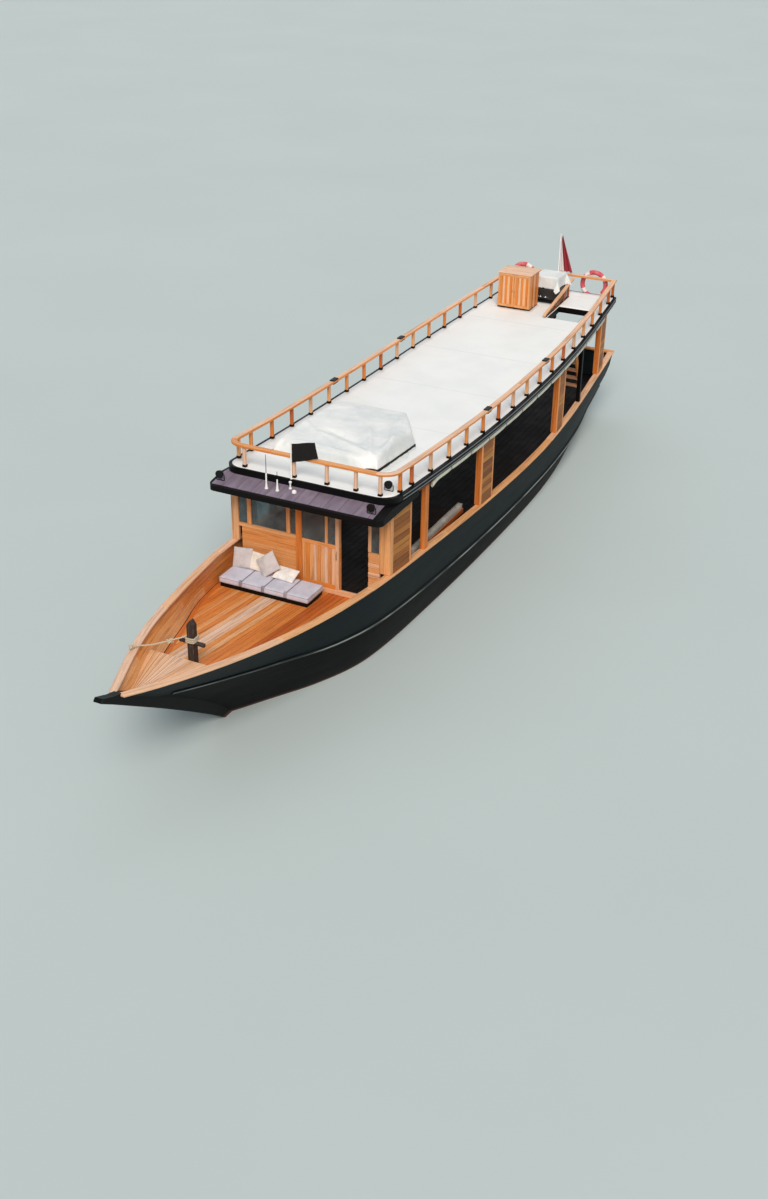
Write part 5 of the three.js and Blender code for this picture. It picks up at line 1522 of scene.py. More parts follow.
# Rail clamps: black moulded clips that hold the curtain lines, two to a side.
for k, (x, side) in enumerate(((-0.65, -1), (-3.86, -1), (-4.0, 1), (-0.63, 1))):
    y, z = side * rail_half(x), rail_under(x)
    clamp = put(f"rail_clamp_{k + 1}", slab(f"rail_clamp_{k + 1}", (x - 0.11, y - 0.055, z - 0.02),
                                            (x + 0.11, y + 0.055, z + HANDRAIL_THICK + 0.022), lamp_black))
    bevelled(clamp, 0.012, 2)
    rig.slot(clamp, "lamp_black")

# Stair guard: one beam that climbs from the deck to the stern rail beside the stair, on squared
# stanchions black with handling.
GUARD_Y, GUARD_AFT, GUARD_FORE, GUARD_WIDE, GUARD_THICK = 0.28, -9.82, -7.80, 0.07, 0.055
GUARD_POSTS, GUARD_POST = spread(-9.50, -7.87, 0.326), 0.022


def guard_top(x):
    t = (x - GUARD_FORE) / (GUARD_AFT - GUARD_FORE)
    low, high = roof_top(GUARD_FORE) + 0.09, rail_under(GUARD_AFT) - 0.01
    return low + (high - low) * t


guard = Boards("stair_guard_boards", varnished, seed=61)
guard.add([[(x, GUARD_Y + side * GUARD_WIDE / 2, guard_top(x) - drop) for side, drop in (
    (-1, GUARD_THICK), (1, GUARD_THICK), (1, 0), (-1, 0))] for x in spread(GUARD_AFT, GUARD_FORE, 0.5)], 0.16)
for x in GUARD_POSTS:
    guard.box((x - GUARD_POST, GUARD_Y - GUARD_POST, roof_top(x) - 0.001),
              (x + GUARD_POST, GUARD_Y + GUARD_POST, guard_top(x) - GUARD_THICK + 0.004), 2, 0.95)
guard.piece("stair_guard")

# Companion ladder: two stringers and eight treads housed in them. It climbs forward from the sole
# to the fore edge of the stair opening.
LADDER_AFT, LADDER_FORE, LADDER_Y0, LADDER_Y1 = -9.00, -7.8503, 0.46, 1.01
STRINGER, STRINGER_DEEP, TREADS, TREAD_THICK, TREAD_DEEP = 0.04, 0.16, 8, 0.03, 0.2
ladder_foot, ladder_head = line_at(LADDER_AFT, DECK) + 0.001, roof_top(LADDER_FORE) - 0.04
ladder = Boards("companion_ladder_boards", oiled, seed=62)
for y in (LADDER_Y0, LADDER_Y1 - STRINGER):
    ladder.add([[(LADDER_AFT + STRINGER_DEEP * far, y + STRINGER * left, ladder_foot)
                 for far, left in ((0, 0), (1, 0), (1, 1), (0, 1))],
                [(LADDER_FORE - STRINGER_DEEP * (1 - far), y + STRINGER * left, ladder_head)
                 for far, left in ((0, 0), (1, 0), (1, 1), (0, 1))]], 0.45)
for i in range(TREADS):
    f = (i + 1) / (TREADS + 1)
    x = LADDER_AFT + STRINGER_DEEP / 2 + (LADDER_FORE - STRINGER_DEEP - LADDER_AFT) * f
    z = ladder_foot + (ladder_head - ladder_foot) * f
    ladder.box((x - TREAD_DEEP / 2, LADDER_Y0 + 0.01, z - TREAD_THICK / 2),
               (x + TREAD_DEEP / 2, LADDER_Y1 - 0.01, z + TREAD_THICK / 2), 1, 0.35)
ladder.piece("companion_ladder")

# Sun deck locker: upright boards on a black plinth under an oversailing pale top, with two framed
# doors that look forward. Steel butt hinges and latch knobs.
LOCKER_X0, LOCKER_X1, LOCKER_Y0, LOCKER_Y1, LOCKER_HIGH = -8.68, -8.10, -1.07, -0.23, 0.87
LOCKER_BOARD, DOOR_STILE, DOOR_RAIL = 0.022, 0.05, 0.06
LOCKER_SIDE_TONES = (0.45, 0.7, 0.2, 0.62, 0.38)
LOCKER_DOOR_TONES = (0.58, 0.12, 0.55, 0.2, 0.6)
locker_foot = roof_top(LOCKER_X0) + 0.001
locker_top = locker_foot + LOCKER_HIGH
locker = Boards("locker_boards", varnished, seed=71)
for y0, y1 in ((LOCKER_Y0, LOCKER_Y0 + LOCKER_BOARD), (LOCKER_Y1 - LOCKER_BOARD, LOCKER_Y1)):
    wide = (LOCKER_X1 - LOCKER_X0) / len(LOCKER_SIDE_TONES)
    for k, tone in enumerate(LOCKER_SIDE_TONES):
        locker.box((LOCKER_X0 + k * wide + 0.001, y0, locker_foot), (LOCKER_X0 + (k + 1) * wide - 0.001, y1,
                   locker_top - 0.03), 2, tone)
for k in range(8):
    wide = (LOCKER_Y1 - LOCKER_Y0 - 0.046) / 8
    y = LOCKER_Y0 + 0.023 + k * wide
    locker.box((LOCKER_X0, y, locker_foot), (LOCKER_X0 + LOCKER_BOARD, y + wide - 0.002, locker_top - 0.03),
               2, 0.5 + locker.chance.uniform(-0.2, 0.2))
locker.box((LOCKER_X0 + 0.024, LOCKER_Y0 + 0.024, locker_foot), (LOCKER_X1 - 0.002, LOCKER_Y1 - 0.024,
           locker_foot + 0.055), 1, 0.5)
for k in range(4):
    wide = (LOCKER_X1 - LOCKER_X0 + 0.03) / 4
    x = LOCKER_X0 - 0.012 + k * wide
    locker.box((x, LOCKER_Y0 - 0.02, locker_top - 0.029), (x + wide - 0.002, LOCKER_Y1 + 0.02, locker_top), 1,
               0.04 + locker.chance.uniform(0, 0.1))
locker.piece("locker_body")
plinth = Boards("locker_plinth", black_paint, seed=73)
for y0, y1 in ((LOCKER_Y0 + 0.004, LOCKER_Y0 + 0.03), (LOCKER_Y1 - 0.03, LOCKER_Y1 - 0.004)):
    plinth.add([flat_section(x, y0, y1, roof_top(x) + 0.001, locker_foot - 0.001)
                for x in (LOCKER_X0 + 0.03, LOCKER_X1)], 0.5)
plinth.box((LOCKER_X1 - 0.02, LOCKER_Y0 + 0.032, roof_top(LOCKER_X1 - 0.02) + 0.001),
           (LOCKER_X1 + 0.003, LOCKER_Y1 - 0.032, locker_foot - 0.001), 1, 0.5)
plinth.piece(slot="black_paint", edge=0.001)

door_x0, door_x1 = LOCKER_X1 + 0.006, LOCKER_X1 + 0.028
middle = (LOCKER_Y0 + LOCKER_Y1) / 2
# Columns: body, y from, y to, and the y of its hinge line
for body, y0, y1, hinge in (("locker_door_starboard", LOCKER_Y0 + 0.004, middle - 0.003, LOCKER_Y0 + 0.004),
                            ("locker_door_port", middle + 0.003, LOCKER_Y1 - 0.004, LOCKER_Y1 - 0.004)):
    low, high = locker_foot + 0.02, locker_top - 0.034
    door = Boards(f"{body}_boards", varnished, seed=72)
    for a, b in ((y0, y0 + DOOR_STILE), (y1 - DOOR_STILE, y1)):
        door.box((door_x0, a, low), (door_x1, b, high), 2, 0.35)
    for a, b in ((low, low + DOOR_RAIL), (high - DOOR_RAIL, high)):
        door.box((door_x0, y0 + 0.051, a), (door_x1, y1 - 0.051, b), 1, 0.3)
    wide = (y1 - y0 - 0.102) / len(LOCKER_DOOR_TONES)
    for k, tone in enumerate(LOCKER_DOOR_TONES):
        y = y0 + 0.051 + k * wide
        door.box((door_x0 + 0.003, y, low + 0.061), (door_x1 - 0.006, y + wide - 0.001, high - 0.061), 2,
                 tone)
    door.piece(body, body=body, edge=0.002)
    grip = y1 - 0.03 if hinge < y1 - 0.1 else y0 + 0.03
    knob_at = Vector((door_x1, grip, (low + high) / 2))
    knob_line = [knob_at + Vector((d, 0, 0)) for d in (0, 0.012, 0.02, 0.028)]
    bar(f"{body}_knob", knob_line, [0.006, 0.006, 0.014, 0.010], 12, steel, "fitting_steel", body)
    for level, z in ((1, locker_foot + 0.12), (2, locker_top - 0.20)):
        pin_line = [(LOCKER_X1 + 0.0093, hinge, z), (LOCKER_X1 + 0.0093, hinge, z + 0.09)]
        bar(f"{body}_hinge_{level}", pin_line, 0.009, 10, steel, "fitting_steel", body)

# Day bed: a low black plinth with four box cushions in grey canvas, buttoned to each other by strap
# tabs along their front seam. The cushions are piped round both faces, and crowned by their foam.
BED_X0, BED_X1, BED_Y0, BED_Y1 = 3.93, 4.56, -1.47, 0.45
BED_FOOT, BED_BASE, BED_TOP = 1.109, 1.200, 1.320
BED_PADS, PAD_GAP, PIPING = 4, 0.006, 0.0045
PAD_VOXEL, PAD_CAP, PAD_PRESSURE = 0.014, 0.009, 4.0
TAB_WIDE, TAB_DROP, TAB_REACH = 0.06, 0.10, 0.05


def woven(name, light, dark, roughness=0.85, scale=900.0, slubs=0.25, sheen=0.25):
    """Plain woven canvas: crossed threads, a few thick slubs, and soft dirt in the folds."""
    made, tree, shader = material(name, roughness=roughness, Sheen_Weight=sheen, Sheen_Roughness=0.5)
    where = own_place(tree)
    threads = [pattern(tree, where, scale, 1.0, stretch) for stretch in ((1.0, 0.06, 1.0), (0.06, 1.0, 0.06))]
    weave = calc(tree, "MULTIPLY", *threads)
    worn = pattern(tree, where, 6.0, 6.0, Roughness=0.65)
    dirt = calc(tree, "MULTIPLY_ADD", weave, slubs, worn)
    paint(tree, shader, ramp(tree, dirt, ((0.42, dark), (0.66, light))))
    bump(tree, shader, weave, 0.0015, 0.5)
    return made


def played(pieces, frames):
    """Runs the cloth on pieces together, and returns their settled meshes without the cloth."""
    stage_time = bpy.context.scene
    for piece in pieces:
        cache = piece.modifiers["cloth"].point_cache
        cache.frame_start, cache.frame_end = 1, frames
    for frame_at in range(1, frames + 1):
        stage_time.frame_set(frame_at)
    seen = bpy.context.evaluated_depsgraph_get()
    settled = [bpy.data.meshes.new_from_object(piece.evaluated_get(seen)) for piece in pieces]
    stage_time.frame_set(1)
    return settled


def as_cloth(name, mesh, tension, bending, mass=0.3, pressure=0.0, weight=1.0):
    """A scratch object with cloth on it."""
    piece = linked(f"{name}_cloth", mesh)
    cloth = piece.modifiers.new("cloth", "CLOTH")
    rules = cloth.settings
    rules.quality, rules.mass, rules.air_damping = 6, mass, 1.0
    rules.tension_stiffness = rules.compression_stiffness = tension
    rules.shear_stiffness, rules.bending_stiffness = tension * 0.6, bending
    rules.effector_weights.gravity = weight
    if pressure:
        rules.use_pressure, rules.uniform_pressure_force = True, pressure
    return piece


def pin(piece, which):
    """Pins the vertices of a cloth whose places pass a test."""
    group = piece.vertex_groups.new(name="pinned")
    group.add([v.index for v in piece.data.vertices if which(v.co)], 1.0, "REPLACE")
    piece.modifiers["cloth"].settings.vertex_group_mass = "pinned"


def box_pad(size, voxel, corner):
    """An even quad mesh of a box with rounded corners, centred on the middle of its underside."""
    work = bmesh.new()
    bmesh.ops.create_cube(work, size=1.0)
    bmesh.ops.scale(work, vec=size, verts=work.verts)
    bmesh.ops.translate(work, vec=(0, 0, size[2] / 2), verts=work.verts)
    bmesh.ops.bevel(work, geom=list(work.edges), offset=corner, segments=3, affect="EDGES")
    rough = bpy.data.meshes.new("pad")
    work.to_mesh(rough)
    work.free()
    holder = linked("pad", rough)
    even = holder.modifiers.new("even", "REMESH")
    even.mode, even.voxel_size = "VOXEL", voxel
    made = bpy.data.meshes.new_from_object(holder.evaluated_get(bpy.context.evaluated_depsgraph_get()))
    bpy.data.objects.remove(holder)
    return made


def swollen(names, sizes, voxel, cap):
    """Box cushions blown up between their piped rims, no point moved further than the cap."""
    shapes = [box_pad(size, voxel, 0.012) for size in sizes]
    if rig.quick():
        return shapes
    pads = []
    for name, shape, (wide, deep, high) in zip(names, shapes, sizes):
        pads.append(as_cloth(name, shape.copy(), 12.0, 4.0, pressure=PAD_PRESSURE, weight=0.0))
        pin(pads[-1], lambda p, w=wide, d=deep, h=high: (
            max(abs(p.x) - w / 2, abs(p.y) - d / 2) > -0.012 and min(p.z, h - p.z) < 0.012))
    settled = played(pads, 20)
    for pad, shape, mesh in zip(pads, shapes, settled):
        for start, end in zip(shape.vertices, mesh.vertices):
            moved = end.co - start.co
            if moved.length > cap:
                end.co = start.co + moved * (cap / moved.length)
            end.co.z = max(end.co.z, 0.0)
        bpy.data.objects.remove(pad)
    return settled


def placed(mesh, turn, shift, finish):
    """A mesh turned, moved and given its material, with its faces smooth."""
    mesh.transform(Matrix.Translation(shift) @ turn)
    mesh.materials.clear()
    mesh.materials.append(finish)
    mesh.shade_smooth()
    return mesh


def rounded(piece):
    """One live subdivision, the same in the view and the render."""
    smooth = piece.modifiers.new("smooth", "SUBSURF")
    smooth.levels = smooth.render_levels = 1
    return piece


def rim(low, high, z, corner):
    """The path of a piping round a box's edge."""
    points = []
    for cx, cy, first in ((high[0] - corner, high[1] - corner, 0), (low[0] + corner, high[1] - corner, 90),
                          (low[0] + corner, low[1] + corner, 180), (high[0] - corner, low[1] + corner, 270)):
        for a in (math.radians(first + more) for more in (0, 30, 60, 90)):
            points.append((cx + corner * math.cos(a), cy + corner * math.sin(a), z))
    return [*points, points[0]]


def piped(name, middle, size, inset, finish, slot):
    """Cords round a box cushion's lower and upper faces, set in from them."""
    half_x, half_y = size[0] / 2, size[1] / 2
    for level, z in (("lower", inset), ("upper", size[2] - inset)):
        path = [middle + Vector(p) for p in rim((-half_x, -half_y), (half_x, half_y), z, 0.012)]
        bar(f"{name}_piping_{level}", path, PIPING, 6, finish, slot, caps=False)


# Lavender-grey outdoor canvas, its cord a tone darker; stone, cream and white covers on the pillows
grey_canvas = woven("grey_outdoor_canvas", "cccee0", "bfc1d3")
grey_piping = woven("grey_canvas_piping", "9c9aa6", "7f7d88")
stone_linen = woven("stone_linen", "c9c4c6", "b4aeb0", scale=500.0, slubs=0.4)
cream_linen = woven("cream_linen", "ece4d8", "cfc5b6", scale=500.0, slubs=0.4)
white_cotton = woven("white_cotton", "f1f0ee", "d6d5d4")

bed_long = (BED_Y1 - BED_Y0) / BED_PADS
pad_sizes = [(BED_X1 - BED_X0 - 0.02, bed_long - PAD_GAP - 0.012, BED_TOP - BED_BASE - 0.012)] * BED_PADS
pad_names = [f"bed_cushion_{k + 1}" for k in range(BED_PADS)]
bed_slot = "grey_cushion"
pads = []
for k, (name, mesh) in enumerate(zip(pad_names, swollen(pad_names, pad_sizes, PAD_VOXEL, PAD_CAP))):
    middle = Vector(((BED_X0 + BED_X1) / 2, BED_Y0 + bed_long * (k + 0.5), BED_BASE + 0.001))
    pad = rounded(put(name, placed(mesh, Matrix.Rotation(0.004 * (-1) ** k, 4, "Z"), middle, grey_canvas)))
    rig.padded(pad, fill=0.85)
    pads.append(pad)
    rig.slot(pad, bed_slot)
    piped(name, middle, pad_sizes[k], 0.010, grey_piping, bed_slot)
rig.replaces(pads[0], "bed_mattress")

bed_base = Boards("bed_plinth_boards", black_paint, seed=81)
bed_base.box((BED_X0 + 0.02, BED_Y0 + 0.03, BED_FOOT + 0.001),
             (BED_X1 - 0.022, BED_Y1 - 0.03, BED_BASE - 0.002), 1, 0.5)
bed_base.piece("bed_base", slot="black_paint")

for k in range(1, BED_PADS):
    y = BED_Y0 + bed_long * k
    front = BED_X1 - 0.002
    path = [(front - TAB_REACH, y, BED_TOP + 0.005), (front - 0.02, y, BED_TOP + 0.004),
            (front + 0.002, y, BED_TOP - 0.012), (front + 0.004, y, BED_TOP - TAB_DROP)]
    path = smooth_path(path, 0.01)
    rows = [[p + Vector((0, side * TAB_WIDE / 2, 0)) for side in (-1, 0, 1)] for p in path]
    tab_mesh = sheet_mesh(f"bed_strap_{k}", rows, grey_piping)[0]
    tab = thicken(put(f"bed_strap_{k}", tab_mesh), 0.003)
    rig.slot(tab, bed_slot)

# Scatter pillows: two squares of cloth sewn edge to edge and filled, so that their sides pull in
# between the corners. They lean against the wall and on each other.
PILLOW_STEP, PILLOW_PRESSURE, PILLOW_PLUMP = 0.016, 1.3, 0.042
# Columns: name, width, height, finish, slot, middle, lean back, swing about its own face, degrees
PILLOW_PLACES = (
    ("pillow_1", 0.42, 0.40, "stone", "grey_cushion", (3.985, -1.270, 1.500), 24, 6),
    ("pillow_2", 0.42, 0.36, "cream", "cream_fabric", (3.975, -0.915, 1.480), 26, -4),
    ("pillow_3", 0.40, 0.40, "stone", "grey_cushion", (4.070, -0.660, 1.545), 28, 40),
    ("pillow_4", 0.46, 0.32, "white", "white_fabric", (4.040, -0.300, 1.405), 66, -3))
COVERS = {"stone": stone_linen, "cream": cream_linen, "white": white_cotton}


def pillow_case(wide, high):
    """A flat closed bag: two grids joined along their rim, a little apart in the middle."""
    nx, ny = round(wide / PILLOW_STEP), round(high / PILLOW_STEP)
    verts, index = [], {}
    for layer in (1, -1):
        for i in range(nx + 1):
            for j in range(ny + 1):
                rim_point = i in (0, nx) or j in (0, ny)
                key = (i, j, 0 if rim_point else layer)
                if key not in index:
                    index[key] = len(verts)
                    u, v = 2 * i / nx - 1, 2 * j / ny - 1
                    plump = 0 if rim_point else PILLOW_PLUMP * ((1 - u * u) * (1 - v * v)) ** 0.4
                    verts.append((u * wide / 2, v * high / 2, layer * plump))
    faces = []
    for layer in (1, -1):
        for i in range(nx):
            for j in range(ny):
                ring = [(i, j), (i + 1, j), (i + 1, j + 1), (i, j + 1)]
                face = [index.get((a, b, layer), index.get((a, b, 0))) for a, b in ring]
                faces.append(face if layer > 0 else face[::-1])
    return built("pillow_case", verts, faces)


cases = [pillow_case(wide, high) for _, wide, high, *_ in PILLOW_PLACES]
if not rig.quick():
    bags = [as_cloth(row[0], case, 15.0, 2.0, pressure=PILLOW_PRESSURE, weight=0.0)
            for row, case in zip(PILLOW_PLACES, cases)]
    cases = played(bags, 20)
    for bag in bags:
        bpy.data.objects.remove(bag)
for (name, wide, high, cover_name, slot_name, middle, lean, swing), case in zip(PILLOW_PLACES, cases):
    turn = (Matrix.Rotation(math.radians(-lean), 4, "Y") @ Matrix.Rotation(math.radians(90), 4, "Y")
            @ Matrix.Rotation(math.radians(90 + swing), 4, "Z"))
    pillow = rounded(put(name + "_cushion", placed(case, turn, Vector(middle), COVERS[cover_name])))
    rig.replaces(pillow, name)
    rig.slot(pillow, slot_name)
    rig.padded(pillow, fill=0.7)

# Covered deck cushions: a stack of pads under one loose white tarpaulin, with a low black plinth under its fore part
# as painted shade under the lifted hem.
# The tarpaulin is a little too big for it, is dropped over a block of the stack's form, and falls into its own folds.
# The stack's aft port corner is cut away.
BUNDLE_X0, BUNDLE_X1, BUNDLE_Y0, BUNDLE_Y1, BUNDLE_HIGH, BUNDLE_SLOPE = -0.05, 2.70, -1.35, 0.93, 0.33, 0.09
BUNDLE_IN, SHADE_PLINTH_HIGH = 0.028, 0.055
BUNDLE_CUT_X, BUNDLE_CUT_Y = 1.00, 0.30
TARP_AFT, TARP_FORE, TARP_STARBOARD, TARP_PORT, TARP_STEP, TARP_SLACK = 0.28, 0.29, 0.31, 0.235, 0.038, 0.045
TOUCH, DROP_FRAMES = 0.012, 32


def stack_port(x):
    """The stack's port side, which runs in from the cut corner to its aft end."""
    cut = min(max((BUNDLE_CUT_X - x) / (BUNDLE_CUT_X - BUNDLE_X0), 0), 1)
    return BUNDLE_Y1 + (BUNDLE_CUT_Y - BUNDLE_Y1) * cut


def stack_ring(x):
    """A section of the stack: full height a little forward of its aft end, then falling forward."""
    low = roof_top(x) + 0.008
    along = (x - BUNDLE_X0) / (BUNDLE_X1 - BUNDLE_X0)
    high = low + BUNDLE_HIGH * min(0.8 + 1.2 * along, 1, 1.4 - 0.65 * along) - BUNDLE_IN
    port, starboard = stack_port(x) - BUNDLE_IN, BUNDLE_Y0 + BUNDLE_IN
    return [(x, port, low - 0.05), (x, port - BUNDLE_SLOPE, high), (x, starboard + BUNDLE_SLOPE, high),
            (x, starboard, low - 0.05)]


def collider(name, mesh):
    """A hidden body that cloth comes to rest on."""
    made = linked(name, mesh)
    made.modifiers.new("solid", "COLLISION")
    made.collision.thickness_outer, made.collision.cloth_friction = 0.008, 18.0
    return made


def level_sheet(name, low, high, step, height):
    """A flat grid over a rectangle, ready to fall."""
    xs, ys = spread(low[0], high[0], step), spread(low[1], high[1], step)
    rows = [[(x, y, height + 0.02 * (x - low[0]) / (high[0] - low[0])) for y in ys] for x in xs]
    return sheet_mesh(name, rows, grey_canvas)[0]


def deck_under(low, high):
    """The deck below a falling sheet."""
    rows = [[(x, y, roof_top(x) - 0.006) for y in (low[1] - 0.4, high[1] + 0.4)]
            for x in spread(low[0] - 0.4, high[0] + 0.4, 0.4)]
    return sheet_mesh("deck_under", rows, grey_canvas)[0]


def dropped(jobs, frames):
    """Lets sheets fall on their blocks together. Each job is (sheet object, slack, blocks)."""
    sheets = [sheet for sheet, *_ in jobs]
    for sheet, slack, _ in jobs:
        cloth = sheet.modifiers["cloth"]
        cloth.settings.shrink_min = -slack
        cloth.collision_settings.distance_min, cloth.collision_settings.collision_quality = TOUCH, 4
    settled = played(sheets, frames)
    for sheet, _, blocks in jobs:
        for used in (sheet, *blocks):
            bpy.data.objects.remove(used)
    for mesh in settled:
        for vert in mesh.vertices:
            vert.co.z = max(vert.co.z, roof_top(vert.co.x) + 0.012)
    return settled


# Stowage by the stern: a slatted black frame with a torn dark skirt, under its own white cover. The frame's black and
# the skirt are painted shade under the cover.
STOW_X0, STOW_X1, STOW_Y0, STOW_Y1 = -9.45, -8.83, -0.40, 0.215
STOW_FRAME, STOW_TOP, STOW_IN, STOW_HANG, STOW_STEP = 0.33, 0.612, 0.012, 0.27, 0.03
stow_foot = roof_top(STOW_X0) + 0.006
tarp_low, tarp_high = ((BUNDLE_X0 - TARP_AFT, BUNDLE_Y0 - TARP_STARBOARD),
                       (BUNDLE_X1 + TARP_FORE, BUNDLE_Y1 + TARP_PORT))
hood_low = (STOW_X0 - STOW_HANG, STOW_Y0 - STOW_HANG)
hood_high = (STOW_X1 + STOW_HANG, STOW_Y1 + STOW_HANG)
tarp_flat, hood_flat = (tuple((high[k] - low[k]) * (1 + slack) for k in (1, 0)) for low, high, slack in (
    (tarp_low, tarp_high, TARP_SLACK), (hood_low, hood_high, 0.02)))
tarp_start = level_sheet("bundle_tarpaulin", tarp_low, tarp_high, TARP_STEP, roof_top(BUNDLE_X1) + 0.33)
hood_start = level_sheet("stowage_hood", hood_low, hood_high, STOW_STEP, stow_foot + STOW_TOP + 0.02)
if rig.quick():
    for mesh, (x0, x1, y0, y1, top) in (
            (tarp_start, (BUNDLE_X0, BUNDLE_X1, BUNDLE_Y0, BUNDLE_Y1, None)),
            (hood_start, (STOW_X0, STOW_X1, STOW_Y0, STOW_Y1, stow_foot + STOW_TOP))):
        for vert in mesh.vertices:
            x, y = min(max(vert.co.x, x0), x1), min(max(vert.co.y, y0), y1)
            out = abs(vert.co.x - x) + abs(vert.co.y - y)
            high = stack_ring(x)[1][2] + 0.02 if top is None else top
            vert.co = (x, y, max(high - out, roof_top(x) + 0.012))
    tarp_mesh, hood_mesh = tarp_start, hood_start
else:
    block = collider("bundle_block", loft("bundle_block", [stack_ring(x) for x in spread(
        BUNDLE_X0 + BUNDLE_IN, BUNDLE_X1 - BUNDLE_IN, 0.15)], (grey_canvas,)))
    chest = collider("stowage_block", slab("stowage_block", (STOW_X0 + STOW_IN, STOW_Y0 + STOW_IN, stow_foot),
                     (STOW_X1 - STOW_IN, STOW_Y1 - STOW_IN, stow_foot + STOW_TOP), grey_canvas))
    decks = [collider("deck_below", deck_under(*ends))
             for ends in ((tarp_low, tarp_high), (hood_low, hood_high))]
    tarp_mesh, hood_mesh = dropped((
        (as_cloth("bundle_tarpaulin", tarp_start, 18.0, 0.5, mass=0.5), TARP_SLACK, (block, decks[0])),
        (as_cloth("stowage_hood", hood_start, 18.0, 0.4, mass=0.4), 0.02, (chest, decks[1]))), DROP_FRAMES)

# Hard creases in the tarpaulin, pulled from its fore port corner and along its fore edge.
# Columns: x and y of one end, x and y of the other, height, width
CREASES = ((2.50, 0.72, 1.98, -0.62, 0.060, 0.055), (2.52, 0.70, 1.35, 0.10, 0.050, 0.040),
           (2.46, 0.78, 1.30, 0.74, 0.050, 0.045), (2.62, 0.40, 2.50, -0.90, 0.050, 0.035),
           (2.05, 0.20, 1.75, -0.55, -0.045, 0.070), (1.95, 0.84, 1.05, 0.46, 0.045, 0.045),
           (1.30, 0.70, 0.35, 0.30, 0.035, 0.045), (2.35, -0.30, 1.60, -1.20, 0.035, 0.050),
           (1.10, -0.20, 0.20, -0.90, 0.020, 0.080), (1.55, 0.35, 0.60, -0.15, -0.028, 0.080))
CREASE_RISE = 1.35


def crease(mesh):
    """Raises or sinks the cloth along each crease, sharpest on its line and dying out at its ends."""
    for vert in mesh.vertices:
        for ax, ay, bx, by, high, wide in CREASES:
            run = Vector((bx - ax, by - ay))
            off = Vector((vert.co.x - ax, vert.co.y - ay))
            t = off.dot(run) / run.length_squared
            if -0.1 < t < 1.1:
                aside = abs(off.x * run.y - off.y * run.x) / run.length
                swell = math.exp(-aside / wide) * math.sin(math.pi * (t + 0.1) / 1.2) ** 0.5
                vert.co.z += CREASE_RISE * high * swell
        vert.co.z = max(vert.co.z, roof_top(vert.co.x) + 0.012)


crease(tarp_mesh)

# White coated tarpaulin, crumpled from being folded away; the hood takes the same
tarpaulin = coated_fabric("white_tarpaulin", "eceff0", "d6dde0", crumple=14.0)
still = Matrix.Identity(4)
for name, mesh, flat, stands_for, lies_on in (
        ("bundle_tarpaulin", tarp_mesh, tarp_flat, "covered_cushions", ["roof_deck"]),
        ("stowage_hood", hood_mesh, hood_flat, "stowage_cover", ["stowage_frame_boards"])):
    shown = rounded(thicken(put(name, placed(mesh, still, Vector(), tarpaulin)), 0.002))
    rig.replaces(shown, stands_for)
    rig.slot(shown, "white_sheet")
    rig.sheet(shown, flat=flat, held="draped", rests_on=lies_on)

# A black board under the tarpaulin's fore part: painted shade under its lifted hem.
plinth = Boards("bundle_plinth", black_paint, seed=91)
sections = []
for x in spread(BUNDLE_CUT_X - 0.02, BUNDLE_X1 - 0.01, 0.3):
    low = roof_top(x) + 0.011
    sections.append([(x, BUNDLE_Y1 - 0.012, low), (x, BUNDLE_Y1 - 0.012, low + SHADE_PLINTH_HIGH),
                     (x, BUNDLE_Y0 + 0.03, low + SHADE_PLINTH_HIGH), (x, BUNDLE_Y0 + 0.03, low)])
plinth.add(sections, 0.5)
plinth.piece(slot="black_paint")

STOW_POST, STOW_SLATS = 0.045, ((0.005, 0.05, 0.5), (0.20, 0.235, 0.5), (0.285, 0.325, 0.5))
# The frame's black paint is painted shade under the hood.
stow = Boards("stowage_frame_boards", black_paint, seed=92)
x0, x1, y0, y1 = STOW_X0 + 0.012, STOW_X1 - 0.012, STOW_Y0 + 0.012, STOW_Y1 - 0.012
for x in (x0, x1 - STOW_POST):
    for y in (y0, y1 - STOW_POST):
        stow.box((x, y, stow_foot + 0.001), (x + STOW_POST, y + STOW_POST, stow_foot + STOW_FRAME), 2, 0.5)
for low, high, tone in STOW_SLATS:
    z0, z1 = stow_foot + low, stow_foot + high
    for y in (y0 - 0.006, y1 - 0.012):
        stow.box((x0, y, z0), (x1, y + 0.018, z1), 0, tone)
    for x in (x0 - 0.006, x1 - 0.012):
        stow.box((x, y0, z0), (x + 0.018, y1, z1), 1, tone)
stow.piece("stowage_frame", slot="black_paint", edge=0.002)
white_slats = Boards("stowage_white_slats", gelcoat, seed=93)
z0, z1 = stow_foot + 0.095, stow_foot + 0.135
white_slats.box((x1 - 0.006, y0, z0), (x1 + 0.010, y1, z1), 1, 0.5)
white_slats.box((x0, y1 - 0.006, z0), (x1, y1 + 0.010, z1), 0, 0.5)
white_slats.piece(slot="white_paint", edge=0.002)

